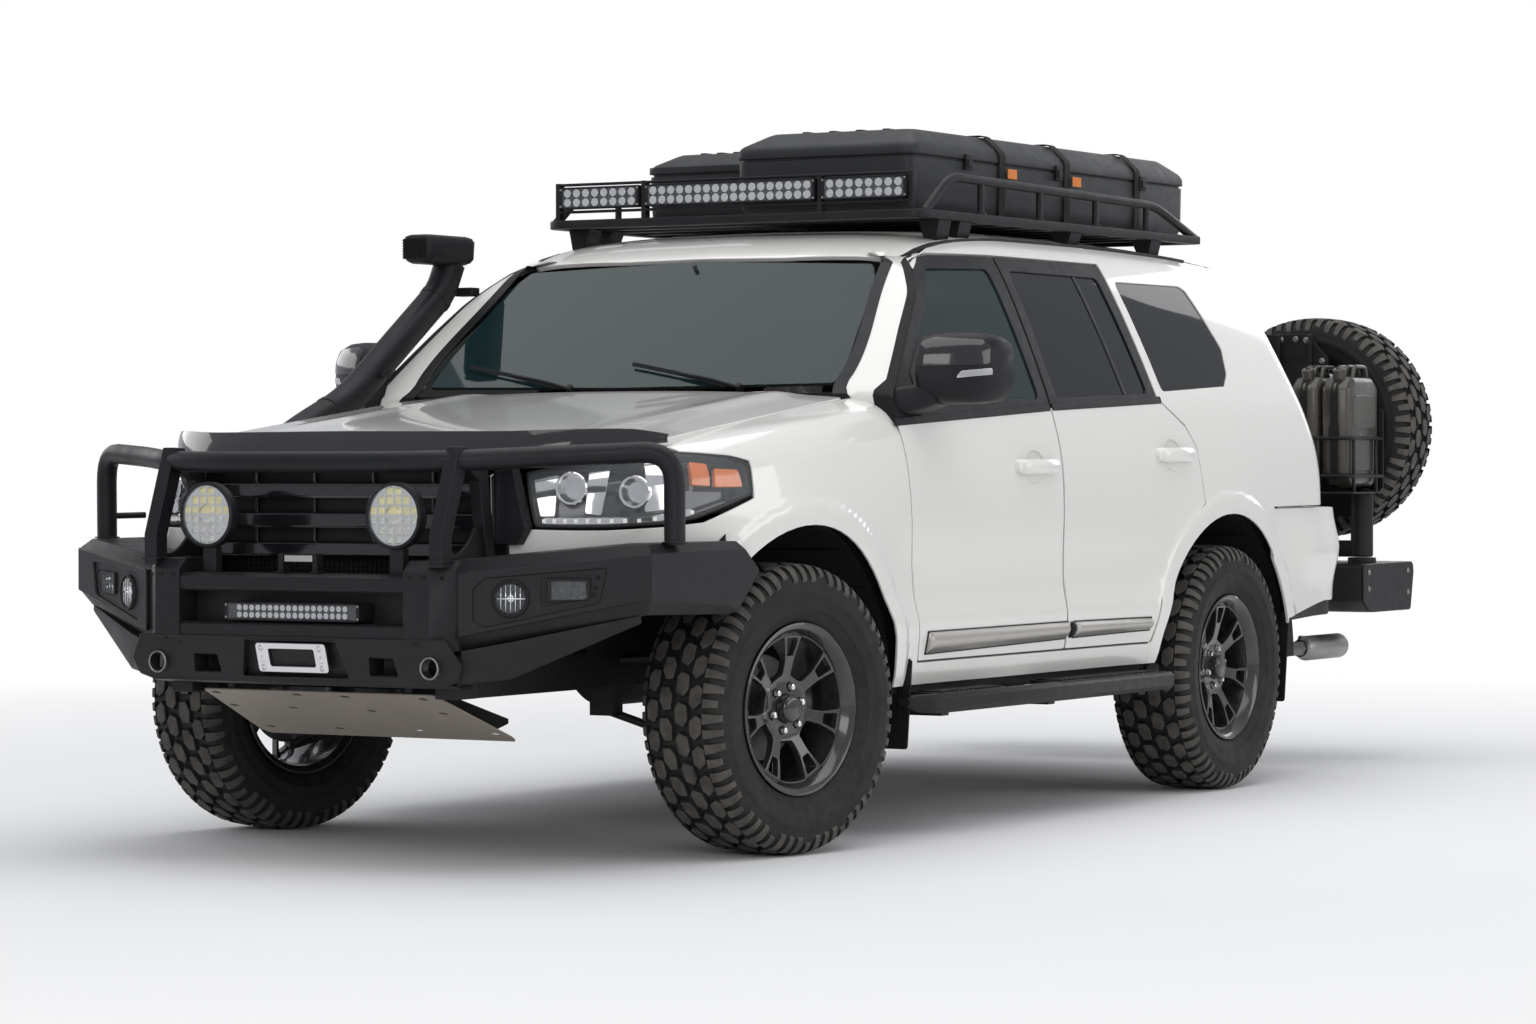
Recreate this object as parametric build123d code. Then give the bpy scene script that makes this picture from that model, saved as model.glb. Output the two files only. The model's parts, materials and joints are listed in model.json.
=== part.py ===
from build123d import *
from math import cos, pi, sin
import os

# Lifted off-road 4x4. Millimetres. Front faces -Y, the vehicle's left is +X, +Z is up.
# The origin is on the ground under the middle of the whole outline.

# Wheels and axles
WHEELBASE = 2850.0
FRONT_AXLE_Y = -1816.0
TYRE_RADIUS = 412.0
TYRE_WIDTH = 285.0
WHEEL_CENTRE_X = 872.0
RIM_SEAT_RADIUS = 226.0
RIM_FLANGE_RADIUS = 243.0
RIM_WIDTH = 240.0
BARREL_WALL = 9.0
HUB_RADIUS = 82.0
SPOKE_COUNT = 7
SPOKE_WIDTH = 44.0
KINGPIN_OFFSET = 70.0
STEER_REST_DEG = -10.0
HUB_CLEARANCE = 0.3

# Body heights are measured from a datum that is on the ground with the real tyres
HUB_HEIGHT_IN_BODY = 412.0
ARCH_CENTRE_HEIGHT = 402.0
ARCH_RADIUS = 527.0
FRONT_ARCH_SHIFT = 30.0
REAR_ARCH_SHIFT = 10.0

# Body widths, from the centre plane
SILL_HALF = 950.0
WAIST_HALF = 985.0
BELT_HALF = 950.0
WINDOW_TOP_HALF = 768.0
ROOF_HALF = 700.0
TAILGATE_HALF = 650.0

# Body heights above the datum
SILL_LOW = 448.0
FLOOR_LOW = 578.0
FLOOR_TOP = 604.0
BELT_HEIGHT = 1290.0
WINDOW_TOP = 1735.0
ROOF_TOP = 1850.0
GATE_SPLIT_HEIGHT = 1130.0
GATE_LOW_HEIGHT = 800.0

# Panels
SIDE_WALL = 70.0
DOOR_SKIN = 18.0
REBATE_DEPTH = 24.0
PANEL_GAP = 8.0
REBATE_LIP = 8.0
SEAT_GAP = 0.3
GATE_WALL = 55.0
GATE_SEAT = 20.0
DOOR_INSET = 30.0
GLASS = 5.0
GLASS_INSET = 8.0
BONNET_THICK = 32.0
WING_WALL = 40.0

# Bars, rack and carrier
TUBE_RADIUS = 29.0
LAMP_RADIUS = 90.0
RACK_HALF = 700.0
RACK_LOW = 1862.0
RACK_TOP = 1890.0
RACK_TUBE = 15.0
STEP_OUTER = 1050.0
REAR_BAR_HALF = 930.0
REAR_BAR_LOW = 553.0
REAR_BAR_TOP = 733.0
CARRIER_PIVOT_X = 850.0
SPARE_X = 570.0
SPARE_CLEARANCE = 87.0
SNORKEL_RADIUS = 49.0
MIRROR_OUTER = 1195.0

REAR_AXLE_Y = FRONT_AXLE_Y + WHEELBASE
DATUM_Z = TYRE_RADIUS - HUB_HEIGHT_IN_BODY
AXLE_Z = TYRE_RADIUS
KINGPIN_X = WHEEL_CENTRE_X - KINGPIN_OFFSET
SPARE_HEIGHT = REAR_BAR_TOP + SPARE_CLEARANCE + TYRE_RADIUS

parts = {}


def fa(distance):
    return FRONT_AXLE_Y + distance


def ra(distance):
    return REAR_AXLE_Y + distance


def up(height):
    return DATUM_Z + height


def front_points(pairs):
    return [(fa(y), up(z)) for y, z in pairs]


def rear_points(pairs):
    return [(ra(y), up(z)) for y, z in pairs]


def outline(points, grow=0.0):
    face = make_face(Polyline(*points, close=True))
    if grow:
        face = offset(face, amount=grow, kind=Kind.INTERSECTION)
    return face


def across(points, x_low, x_high, grow=0.0):
    face = Plane.YZ.offset(x_low) * outline(points, grow)
    return extrude(face, amount=x_high - x_low)


def along(points, y_low, y_high, grow=0.0):
    face = Plane.XZ.offset(-y_high) * outline(points, grow)
    return extrude(face, amount=y_high - y_low)


def raised(points, z_low, z_high, grow=0.0):
    face = Plane.XY.offset(z_low) * outline(points, grow)
    return extrude(face, amount=z_high - z_low)


def block(x_low, x_high, y_low, y_high, z_low, z_high):
    size = Box(x_high - x_low, y_high - y_low, z_high - z_low)
    return Pos((x_low + x_high) / 2, (y_low + y_high) / 2, (z_low + z_high) / 2) * size


def both(shape):
    return shape + mirror(shape, about=Plane.YZ)


def symmetric(half):
    return half + [(-x, other) for x, other in reversed(half) if x]


def tube(points, radius, bend):
    path = FilletPolyline(*points, radius=bend)
    section = Plane(origin=path @ 0, z_dir=path % 0) * Circle(radius)
    return sweep(section, path=path)


def rod(start, end, radius):
    start = Vector(*start)
    end = Vector(*end)
    axis = end - start
    plane = Plane(origin=start, z_dir=axis)
    return extrude(plane * Circle(radius), amount=axis.length)


def disc(centre, direction, radius, thick):
    return extrude(Plane(origin=centre, z_dir=direction) * Circle(radius), amount=thick)


# Outer form of the cabin: side view and cross-section, pulled in by a wall where asked
CABIN_SIDE_FRONT = front_points([(640, 443), (640, 1330), (575, 1322), (1074, 1757), (1282, 1818),
    (1752, 1856)])
CABIN_SIDE_REAR = rear_points(
    [(-526, 1862), (10, 1852), (496, 1822), (626, 1765), (710, 1610), (770, 1458), (818, 1323)]
    + [(885, 1120), (910, 900), (910, 640), (450, 520), (-461, 443)]
)
CABIN_SECTION = symmetric(
    [
        (0, up(ROOF_TOP)),
        (ROOF_HALF * 0.6, up(ROOF_TOP - 8)),
        (ROOF_HALF, up(ROOF_TOP - 35)),
        (WINDOW_TOP_HALF, up(WINDOW_TOP)),
        (BELT_HALF, up(BELT_HEIGHT)),
        (WAIST_HALF, up(1080)),
        (WAIST_HALF, up(860)),
        (SILL_HALF + 22, up(560)),
        (SILL_HALF, up(SILL_LOW - 5)),
    ]
)


def sides(inset=0.0):
    return along(CABIN_SECTION, fa(400), ra(1300), -inset)


def cabin(inset=0.0):
    return across(CABIN_SIDE_FRONT + CABIN_SIDE_REAR, -1100, 1100, -inset) & sides(inset)


# Outer form ahead of the screen: two cross-sections joined by ruled faces, cut to the nose's plan
COWL_SECTION = symmetric(
    [
        (0, up(1330)),
        (400, up(1321)),
        (760, up(1300)),
        (900, up(1274)),
        (WAIST_HALF - 28, up(1240)),
        (WAIST_HALF, up(1080)),
        (WAIST_HALF, up(860)),
        (SILL_HALF + 22, up(560)),
        (SILL_HALF, up(SILL_LOW - 5)),
    ]
)
NOSE_SECTION = symmetric(
    [
        (0, up(1192)),
        (400, up(1184)),
        (600, up(1165)),
        (820, up(1105)),
        (900, up(1060)),
        (935, up(1000)),
        (950, up(860)),
        (950, up(700)),
        (940, up(620)),
    ]
)
NOSE_PLAN = symmetric(
    [
        (0, fa(-835)),
        (480, fa(-820)),
        (560, fa(-797)),
        (660, fa(-755)),
        (760, fa(-685)),
        (850, fa(-575)),
        (915, fa(-430)),
        (955, fa(-240)),
        (980, fa(0)),
        (WAIST_HALF, fa(200)),
        (WAIST_HALF, fa(700)),
    ]
)


def nose(inset=0.0):
    front = Plane.XZ.offset(-fa(-860)) * outline(NOSE_SECTION, -inset)
    back = Plane.XZ.offset(-fa(640)) * outline(COWL_SECTION, -inset)
    form = loft([front, back], ruled=True)
    return form & raised(NOSE_PLAN, up(300), up(1500), -inset)


def arch(axle_y, shift, x_low, x_high, grow=0.0):
    centre = (x_low, axle_y + shift, up(ARCH_CENTRE_HEIGHT))
    return disc(centre, (1, 0, 0), ARCH_RADIUS + grow, x_high - x_low)


# Side outlines of doors and windows
FRONT_DOOR = front_points(
    [(700, 515), (640, 800), (625, 936), (596, 1112), (572, 1235), (572, 1300), (815, 1506), (1083, 1722)]
    + [(1200, 1745), (1578, 1752), (1588, 1277), (1603, 1158), (1626, 860), (1672, 515)]
)
REAR_DOOR_FRONT = front_points([(1680, 515), (1634, 860), (1611, 1158), (1596, 1277), (1586, 1752)])
REAR_DOOR_BACK = rear_points(
    [(-522, 1752), (-460, 1310), (-290, 1222), (-228, 1150), (-193, 968), (-330, 893), (-440, 790),
        (-530, 650), (-576, 515)]
)
REAR_DOOR = REAR_DOOR_FRONT + REAR_DOOR_BACK
FRONT_WINDOW = front_points([(735, 1298), (735, 1372), (1128, 1700), (1505, 1708), (1530, 1298)])
REAR_WINDOW = front_points([(1655, 1300), (1645, 1708)]) + rear_points([(-580, 1708), (-515, 1322)])
QUARTER_WINDOW = rear_points([(-400, 1330), (-460, 1705), (50, 1705), (85, 1690), (195, 1488),
    (160, 1400), (110, 1360)])
SCREEN = symmetric([(0, up(1700)), (610, up(1690)), (655, up(1655)), (728, up(1378)), (700, up(1352)),
    (0, up(1346))])
SCREEN_Y = (fa(500), fa(1250))
HATCH_WINDOW = symmetric([(0, up(1690)), (540, up(1685)), (600, up(1300)), (0, up(1290))])
HATCH = symmetric([(0, up(1802)), (TAILGATE_HALF - 35, up(1798)), (TAILGATE_HALF - 35, up(1700)),
    (TAILGATE_HALF, up(1380)), (TAILGATE_HALF, up(GATE_SPLIT_HEIGHT)), (0, up(GATE_SPLIT_HEIGHT))])
GATE = symmetric([(0, up(GATE_SPLIT_HEIGHT - PANEL_GAP)),
    (TAILGATE_HALF, up(GATE_SPLIT_HEIGHT - PANEL_GAP)), (TAILGATE_HALF, up(GATE_LOW_HEIGHT)),
    (0, up(GATE_LOW_HEIGHT))])
TAIL_LAMP = [(688, up(930)), (900, up(930)), (900, up(1180)), (760, up(1210)), (688, up(1180))]

cabin_outer = cabin()
side_rebate = sides(REBATE_DEPTH)
side_skin = sides(DOOR_SKIN)
cabin_inner = cabin(SIDE_WALL) & block(-900, 900, fa(700), ra(860), up(FLOOR_TOP), up(ROOF_TOP))
cabin_inner = cabin_inner + (cabin(45) & block(-560, 560, fa(1330), ra(480), up(1600), up(ROOF_TOP)))
glass_outer = cabin(GLASS_INSET)
glass_inner = cabin(GLASS_INSET + GLASS)

# Body shell: roof, pillars, sills, floor, quarters and wheel houses
shell = cabin_outer - cabin_inner
shell = shell - block(-860, 860, fa(600), ra(-480), up(300), up(FLOOR_LOW))
shell = shell - block(-640, 640, ra(-640), ra(1000), up(300), up(FLOOR_LOW))
shell = shell - block(-880, 880, ra(0), ra(1000), up(300), up(FLOOR_LOW))
side_core = sides(SIDE_WALL + 6)
door_seal = (sides(DOOR_SKIN + SEAT_GAP) - side_rebate) & block(-1100, 1100, fa(760), ra(0), up(300),
    up(1900))
for door in (FRONT_DOOR, REAR_DOOR):
    for x_low, x_high in ((500, 1100), (-1100, -500)):
        shell = shell - (across(door, x_low, x_high, PANEL_GAP) - side_rebate)
        shell = shell - (across(door, x_low, x_high, -REBATE_LIP) - side_core)
        lip = across(door, x_low, x_high) - across(door, x_low, x_high, -REBATE_LIP)
        shell = shell + (lip & door_seal)
rear_house = both(arch(REAR_AXLE_Y, REAR_ARCH_SHIFT, 600, 1100))
house_cut = both(arch(REAR_AXLE_Y, REAR_ARCH_SHIFT, 580, WAIST_HALF - SIDE_WALL - 15, 25) & block(0,
    1100, ra(-700), ra(700), up(FLOOR_LOW - 10), up(1100)))
shell = (shell + (house_cut & cabin_outer)) - rear_house
shell = shell - both(across(QUARTER_WINDOW, 500, 1100))
shell = shell - along(SCREEN, *SCREEN_Y)
gate_seat = cabin(GATE_WALL + SEAT_GAP)
shell = shell - (along(HATCH, ra(400), ra(1200), PANEL_GAP) - gate_seat)
shell = shell - (along(GATE, ra(700), ra(1200), PANEL_GAP) - gate_seat)
shell = shell - along(HATCH, ra(400), ra(1200), -GATE_SEAT)
shell = shell - along(GATE, ra(700), ra(1200), -GATE_SEAT)
shell = shell - block(-TAILGATE_HALF + GATE_SEAT, TAILGATE_HALF - GATE_SEAT, ra(700), ra(1200), up(1080),
    up(1180))
shell = shell - both(along(TAIL_LAMP, ra(835), ra(1200)))
shell = shell - both(block(905, 1100, ra(390), ra(1200), up(300), up(948)))
shell = shell - block(-1100, 1100, ra(860), ra(1200), up(300), up(GATE_LOW_HEIGHT - PANEL_GAP))
shell = shell - both(block(880, 1100, fa(400), fa(560), up(300), up(1400)))
parts["body_shell"] = shell

# Fixed glass: screen and rear quarter windows
screen = (glass_outer - glass_inner) & along(SCREEN, *SCREEN_Y)
quarters = (glass_outer - glass_inner) & both(across(QUARTER_WINDOW, 500, 1100))
parts["fixed_glass"] = screen + quarters

# Doors with their glass
DOORS = [("front", FRONT_DOOR, FRONT_WINDOW), ("rear", REAR_DOOR, REAR_WINDOW)]
for place, door, window in DOORS:
    skin = (sides() - side_skin) & across(door, 500, 1100)
    lining = (side_skin - sides(SIDE_WALL)) & across(door, 500, 1100, -DOOR_INSET)
    lining = lining & block(500, 1100, fa(0), ra(0), up(FLOOR_TOP - 30), up(1790))
    leaf = (skin + lining) - across(window, 500, 1100)
    leaf = leaf - arch(REAR_AXLE_Y, REAR_ARCH_SHIFT, 500, 1100, 34)
    pane = (glass_outer - glass_inner) & across(window, 500, 1100)
    parts[f"door_{place}_left"] = leaf
    parts[f"door_{place}_right"] = mirror(leaf, about=Plane.YZ)
    parts[f"glass_{place}_left"] = pane
    parts[f"glass_{place}_right"] = mirror(pane, about=Plane.YZ)

# Tailgate in two halves
gate_ring = cabin_outer - cabin(GATE_WALL)
hatch = gate_ring & along(HATCH, ra(545), ra(1200))
parts["tailgate_upper"] = hatch - along(HATCH_WINDOW, ra(400), ra(1200))
parts["tailgate_glass"] = (glass_outer - glass_inner) & along(HATCH_WINDOW, ra(545), ra(1200))
parts["tailgate_lower"] = gate_ring & along(GATE, ra(700), ra(1200))
parts["tail_lamps"] = (cabin_outer - cabin(40)) & both(along(TAIL_LAMP, ra(835), ra(1200)))
parts["tail_lamps"] = parts["tail_lamps"] & both(block(600, 905, ra(800), ra(1200), up(900), up(1300)))

# Bonnet, wings and headlamps
BONNET_PLAN = symmetric([(0, fa(-900)), (560, fa(-900)), (815, fa(-900)), (815, fa(-498)),
    (795, fa(557)), (0, fa(557))])
BONNET_LOW = across(front_points([(-900, 1140), (-760, 1140), (-500, 1100), (557, 1200), (557, 1500),
    (-900, 1500)]), -1100, 1100)
nose_outer = nose()
nose_bonnet = nose(BONNET_THICK)
nose_inner = nose(WING_WALL)
bonnet = (nose_outer - nose_bonnet) & raised(BONNET_PLAN, up(1000), up(1500)) & BONNET_LOW
parts["bonnet"] = bonnet
wings = nose_outer - nose_inner - raised(BONNET_PLAN, up(1000), up(1500), PANEL_GAP)
wings = wings - block(-500, 500, fa(-900), fa(700), up(300), up(1300))
wings = wings - both(arch(FRONT_AXLE_Y, FRONT_ARCH_SHIFT, 400, 1100))
wings = wings - block(-1100, 1100, fa(-900), fa(-230), up(300), up(895))
wings = wings - both(across(FRONT_DOOR, 500, 1100, PANEL_GAP))
wings = wings - block(-1100, 1100, fa(640), fa(800), up(300), up(1500))
wings = wings - cabin_outer
LAMP_SIDE = front_points([(-900, 928), (-480, 940), (-235, 1010), (-225, 1112), (-300, 1126),
    (-470, 1135), (-900, 1135)])
lamp_zone = across(LAMP_SIDE, 500, 1100)
wings = wings - both(lamp_zone)
wings = wings - block(-1100, 1100, fa(-900), fa(-640), up(300), up(1500))
wings = wings & both(block(600, 1100, fa(-700), fa(640), up(SILL_LOW), up(1400)))
wings = wings - block(-905, 905, fa(-900), fa(700), up(300), up(560))
liner_top = arch(FRONT_AXLE_Y, FRONT_ARCH_SHIFT, 620, WAIST_HALF - WING_WALL - 12, 25)
liner = liner_top - arch(FRONT_AXLE_Y, FRONT_ARCH_SHIFT, 600, 1100, 5)
liner = liner & block(500, 1100, fa(-460), fa(560), up(560), up(1000))
parts["front_wings"] = wings
liners = both(liner & nose_inner)
lamp = (nose_outer & lamp_zone) & block(505, 1100, fa(-900), fa(-200), up(900), up(1140))
lamp = lamp - nose(90) - raised(BONNET_PLAN, up(1000), up(1500), PANEL_GAP)
parts["headlamps"] = both(lamp)

# Grille and the panel behind it
GRILLE_HALF = 480.0
grille = block(-GRILLE_HALF, GRILLE_HALF, fa(-850), fa(-838), up(846), up(1132))
for z_low, z_high in ((1100, 1132), (1012, 1050), (930, 966), (846, 880)):
    grille = grille + block(-GRILLE_HALF, GRILLE_HALF, fa(-880), fa(-850), up(z_low), up(z_high))
grille = grille + both(block(GRILLE_HALF - 22, GRILLE_HALF, fa(-880), fa(-850), up(846), up(1132)))
grille = grille + both(block(380, 410, fa(-838), fa(-690), up(960), up(1000)))
parts["grille"] = grille

KNUCKLE_HALF_HEIGHT = 140.0

# Chassis frame with cross-members, gearbox and front suspension arms
RAIL_X = (372.0, 452.0)
RAIL_Z = (up(468), up(FLOOR_LOW) - 6)
BAR_MOUNT_Y = fa(-935)
frame = both(block(*RAIL_X, BAR_MOUNT_Y, ra(1300), *RAIL_Z))
for y in (fa(-700), fa(-60), fa(900), fa(1900), ra(-620), ra(560), ra(1240)):
    frame = frame + block(-RAIL_X[0] - 5, RAIL_X[0] + 5, y - 45, y + 45, RAIL_Z[0] + 10, RAIL_Z[1] - 10)
frame = frame + rod((0, fa(480), up(500)), (0, fa(1400), up(500)), 130)
frame = frame - block(-400, 400, fa(400), fa(1500), up(FLOOR_LOW) - 6, up(900))
for sense, root_z in ((-1, up(405)), (1, up(540))):
    ball_z = AXLE_Z + sense * (KNUCKLE_HALF_HEIGHT + 18)
    for y in (fa(-150), fa(150)):
        frame = frame + both(rod((RAIL_X[0] + 20, y, root_z), (KINGPIN_X, FRONT_AXLE_Y, ball_z), 12))
        frame = frame + both(block(*RAIL_X, y - 25, y + 25, up(385), RAIL_Z[0] + 5))
    ball_near = AXLE_Z + sense * (KNUCKLE_HALF_HEIGHT + SEAT_GAP)
    frame = frame + both(rod((KINGPIN_X, FRONT_AXLE_Y, ball_near),
        (KINGPIN_X, FRONT_AXLE_Y, ball_near + sense * 26), 17))
for y in (fa(800), fa(1500), ra(-700)):
    frame = frame + both(block(RAIL_X[1] - 5, 890, y - 30, y + 30, up(395), up(440)))
    frame = frame + both(block(RAIL_X[0] + 10, RAIL_X[1], y - 30, y + 30, up(395), RAIL_Z[0] + 5))
for y in (fa(720), fa(1800), ra(-500), ra(420)):
    frame = frame + both(block(RAIL_X[0] + 20, RAIL_X[1] - 20, y - 40, y + 40, RAIL_Z[1] - 2,
        up(FLOOR_LOW)))
parts["chassis_frame"] = frame

engine = block(-280, 280, fa(-480), fa(430), up(640), up(1090)) + block(-170, 170, fa(-380), fa(300),
    RAIL_Z[1] - 10, up(640))
engine = engine + block(-420, 420, fa(-690), fa(-610), RAIL_Z[1], up(1060))
engine = engine + block(-60, 60, fa(-620), fa(-470), up(820), up(900))
bonnet_buffer = both(block(360, 400, fa(-680), fa(-640), up(1060), up(1300)))
engine = engine + (bonnet_buffer & nose(BONNET_THICK + SEAT_GAP))
parts["engine"] = engine

# Skid plate under the nose
SKID = front_points([(-990, 478), (-990, 499.7), (-955, 499.7), (-930, 462), (-500, 368), (-500, 356),
    (-930, 446)])
SKID_HALF = RAIL_X[0] - 2
skid = across(SKID, -SKID_HALF, SKID_HALF) & raised(symmetric([(0, fa(-1000)), (SKID_HALF, fa(-1000)),
    (SKID_HALF - 50, fa(-480)), (0, fa(-480))]), up(300), up(600))
skid = skid + both(block(RAIL_X[0] - 60, RAIL_X[0] - 20, fa(-700) - 30, fa(-700) + 30, up(405),
    RAIL_Z[0] + 10))
parts["skid_plate"] = skid

# Bull bar: chamfered centre boxes, cross beams, lower pan, swept wings and hoops
box_plan = [(376, fa(-1103)), (462, fa(-1100)), (518, fa(-1046)), (518, fa(-940)), (376, fa(-940))]
bar = both(raised(box_plan, up(602), up(845)))
bar = bar + block(-380, 380, fa(-1098), fa(-1010), up(756), up(806))
bar = bar + block(-380, 380, fa(-1098), fa(-1010), up(626), up(672))
bar = bar + block(-380, 380, fa(-1020), fa(-1008), up(620), up(800))
pan = across(front_points([(-1103, 630), (-1070, 512), (-1000, 500), (-940, 500), (-940, 630)]), -670, 670)
pan = pan & along(symmetric([(0, up(640)), (560, up(640)), (690, up(560)), (660, up(520)),
    (480, up(498)), (0, up(498))]), fa(-1200), fa(-900))
bar = bar + pan
low_wing = [(500, fa(-1050)), (655, fa(-1014)), (942, fa(-795)), (970, fa(-330)), (885, fa(-330)),
    (862, fa(-720)), (640, fa(-895)), (500, fa(-945))]
high_wing = [(500, fa(-1026)), (670, fa(-965)), (922, fa(-600)), (982, fa(-262)), (900, fa(-262)),
    (850, fa(-575)), (640, fa(-860)), (500, fa(-930))]
wing_form = loft([Plane.XY.offset(up(600)) * outline(low_wing),
    Plane.XY.offset(up(886)) * outline(high_wing)], ruled=True)
WING_LOW = [(480, up(560)), (480, up(602)), (640, up(620)), (930, up(700)), (1100, up(700)),
    (1100, up(560))]
wing_form = wing_form - along(WING_LOW, fa(-1200), fa(-200))
wing_form = wing_form - across(front_points([(-430, 600), (-430, 690), (-255, 812), (-200, 812),
    (-200, 600)]), 400, 1100)
bar = bar + both(wing_form)
bar = bar - both(raised([(960, fa(-240)), (700, fa(-700)), (520, fa(-820)), (400, fa(-820)),
    (400, fa(-200)), (900, fa(-200))], up(500), up(1000)) & block(0, 870, fa(-900), fa(-200), up(500),
    up(1000)))
UPRIGHT_X = (468.0, 490.0)
front_leg = across(front_points([(-1100, 840), (-1100, 940), (-1000, 1140), (-935, 1140), (-1040, 935),
    (-1040, 840)]), *UPRIGHT_X)
rear_leg = across(front_points([(-985, 1140), (-930, 1140), (-900, 1060), (-950, 840), (-1010, 840)]),
    *UPRIGHT_X)
bar = bar + both(front_leg + rear_leg)
hoop = [
    (935, fa(-612), up(870)),
    (925, fa(-640), up(1040)),
    (880, fa(-730), up(1132)),
    (620, fa(-935), up(1126)),
    (479, fa(-990), up(1112)),
    (0, fa(-1030), up(1110)),
]
hoop_path = hoop + [(-x, y, z) for x, y, z in reversed(hoop[:-1])]
bar = bar + tube([hoop_path[0], *hoop_path[1:5], *hoop_path[6:]], TUBE_RADIUS, 60)
bar = bar - both(disc((457, fa(-1200), up(558)), (0, 1, 0), 28, 240))
bar = bar - both(along([(250, up(528)), (250, up(588)), (340, up(588)), (340, up(528))], fa(-1200),
    fa(-990)))
bar = bar + both(block(RAIL_X[0], RAIL_X[1], fa(-1000), BAR_MOUNT_Y, *RAIL_Z))
bar = bar - block(-140, 140, fa(-1200), fa(-1072), up(545), up(622))
parts["bull_bar"] = bar
parts["arch_liners"] = liners - bar

lamps = both(disc((315, fa(-1060), up(964)), (0, 1, 0), LAMP_RADIUS, 82))
lamps = lamps + both(block(295, 335, fa(-1045), fa(-1015), up(806), up(964 - LAMP_RADIUS + 4)))
parts["driving_lamps"] = lamps
parts["light_bar"] = block(-228, 228, fa(-1090), fa(-1020), up(678),
    up(728)) + both(block(205, 225, fa(-1070), fa(-1030), up(672), up(678)))
pods = disc((650, fa(-960), up(746)), (0.25, -1, 0), 48, 62) + disc((775, fa(-868), up(768)),
    (0.5, -1, 0), 36, 52)
parts["pod_lamps"] = both(pods) - bar

# Snorkel on the right wing and along the right screen pillar
SNORKEL_LINE = [
    (-940, fa(40), up(1165)),
    (-925, fa(230), up(1215)),
    (-905, fa(430), up(1300)),
    (-868, fa(880), up(1650)),
    (-858, fa(915), up(1745)),
]
snorkel = tube(SNORKEL_LINE, SNORKEL_RADIUS, 70)
snorkel = snorkel + block(-912, -800, fa(715), fa(985), up(1738), up(1830))
snorkel = snorkel - nose_outer - cabin_outer
snorkel = snorkel - block(-900, -812, fa(700), fa(730), up(1750), up(1818))
snorkel = snorkel.solids().sort_by(SortBy.VOLUME)[-1]
snorkel_feet = block(-860, -790, fa(955), fa(990), up(1640), up(1665))
parts["snorkel"] = Part() + snorkel + (snorkel_feet - cabin_outer)

# Roof rack, its lamps and the cases it carries
rack = both(block(RACK_HALF - 40, RACK_HALF, fa(1211), ra(417), up(RACK_LOW), up(RACK_TOP)))
rack = rack + block(-RACK_HALF, RACK_HALF, fa(1211), fa(1261), up(RACK_LOW), up(RACK_TOP))
rack = rack + block(-RACK_HALF, RACK_HALF, ra(367), ra(417), up(RACK_LOW), up(RACK_TOP))
SLAT_COUNT = 12
FIRST_SLAT_Y = fa(1336)
slat_step = (ra(367) - FIRST_SLAT_Y) / SLAT_COUNT
for index in range(SLAT_COUNT):
    y = FIRST_SLAT_Y + slat_step * index
    rack = rack + block(-RACK_HALF, RACK_HALF, y - 24, y + 24, up(RACK_LOW) + 6, up(RACK_TOP) - 4)
RAIL_LINE = [
    (RACK_HALF - 20, fa(1263), up(RACK_TOP - 8)),
    (RACK_HALF - 20, fa(1428), up(2000)),
    (RACK_HALF - 20, ra(68), up(1980)),
    (RACK_HALF - 20, ra(392), up(RACK_TOP - 8)),
]
side_rail = tube(RAIL_LINE, RACK_TUBE, 60)
for y in (fa(1640), fa(2050), fa(2460), ra(0)):
    side_rail = side_rail + rod((RACK_HALF - 20, y, up(RACK_TOP - 8)), (RACK_HALF - 20, y, up(1985)), 11)
rack = rack + both(side_rail)
FOOT_TOP = RACK_LOW + 4
for y in (fa(1390), fa(1528), fa(2304), ra(68)):
    foot = block(RACK_HALF - 92, RACK_HALF - 10, y - 45, y + 45, up(1790), up(FOOT_TOP))
    rack = rack + both(foot)
rack = rack - cabin_outer
LIGHT_FRAME_HALF = RACK_HALF - 43
LAMP_SPLIT_X = 325.0
front_frame = block(-LIGHT_FRAME_HALF, LIGHT_FRAME_HALF, fa(1228), fa(1258), up(1912), up(1922))
front_frame = front_frame + block(-LIGHT_FRAME_HALF, LIGHT_FRAME_HALF, fa(1228), fa(1258), up(2000),
    up(2010))
for x in (5 - LIGHT_FRAME_HALF, -LAMP_SPLIT_X, LAMP_SPLIT_X, LIGHT_FRAME_HALF - 5):
    front_frame = front_frame + block(x - 8, x + 8, fa(1228), fa(1258), up(RACK_TOP) - 2, up(2010))
rack = rack + front_frame
parts["roof_rack"] = rack
LAMP_INNER = LAMP_SPLIT_X + 12
LAMP_OUTER = LIGHT_FRAME_HALF - 17
RACK_LAMPS = [(-LAMP_OUTER, -LAMP_INNER), (24 - LAMP_INNER, LAMP_INNER - 24), (LAMP_INNER, LAMP_OUTER)]
rack_lamps = Part()
for x_low, x_high in RACK_LAMPS:
    rack_lamps = rack_lamps + block(x_low, x_high, fa(1218), fa(1262), up(1924), up(1998))
    rack_lamps = rack_lamps + block(x_low - 4, x_low, fa(1235), fa(1250), up(1955), up(1965))
parts["rack_lamps"] = rack_lamps - rack

CASE_LOW = RACK_TOP - 4


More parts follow.
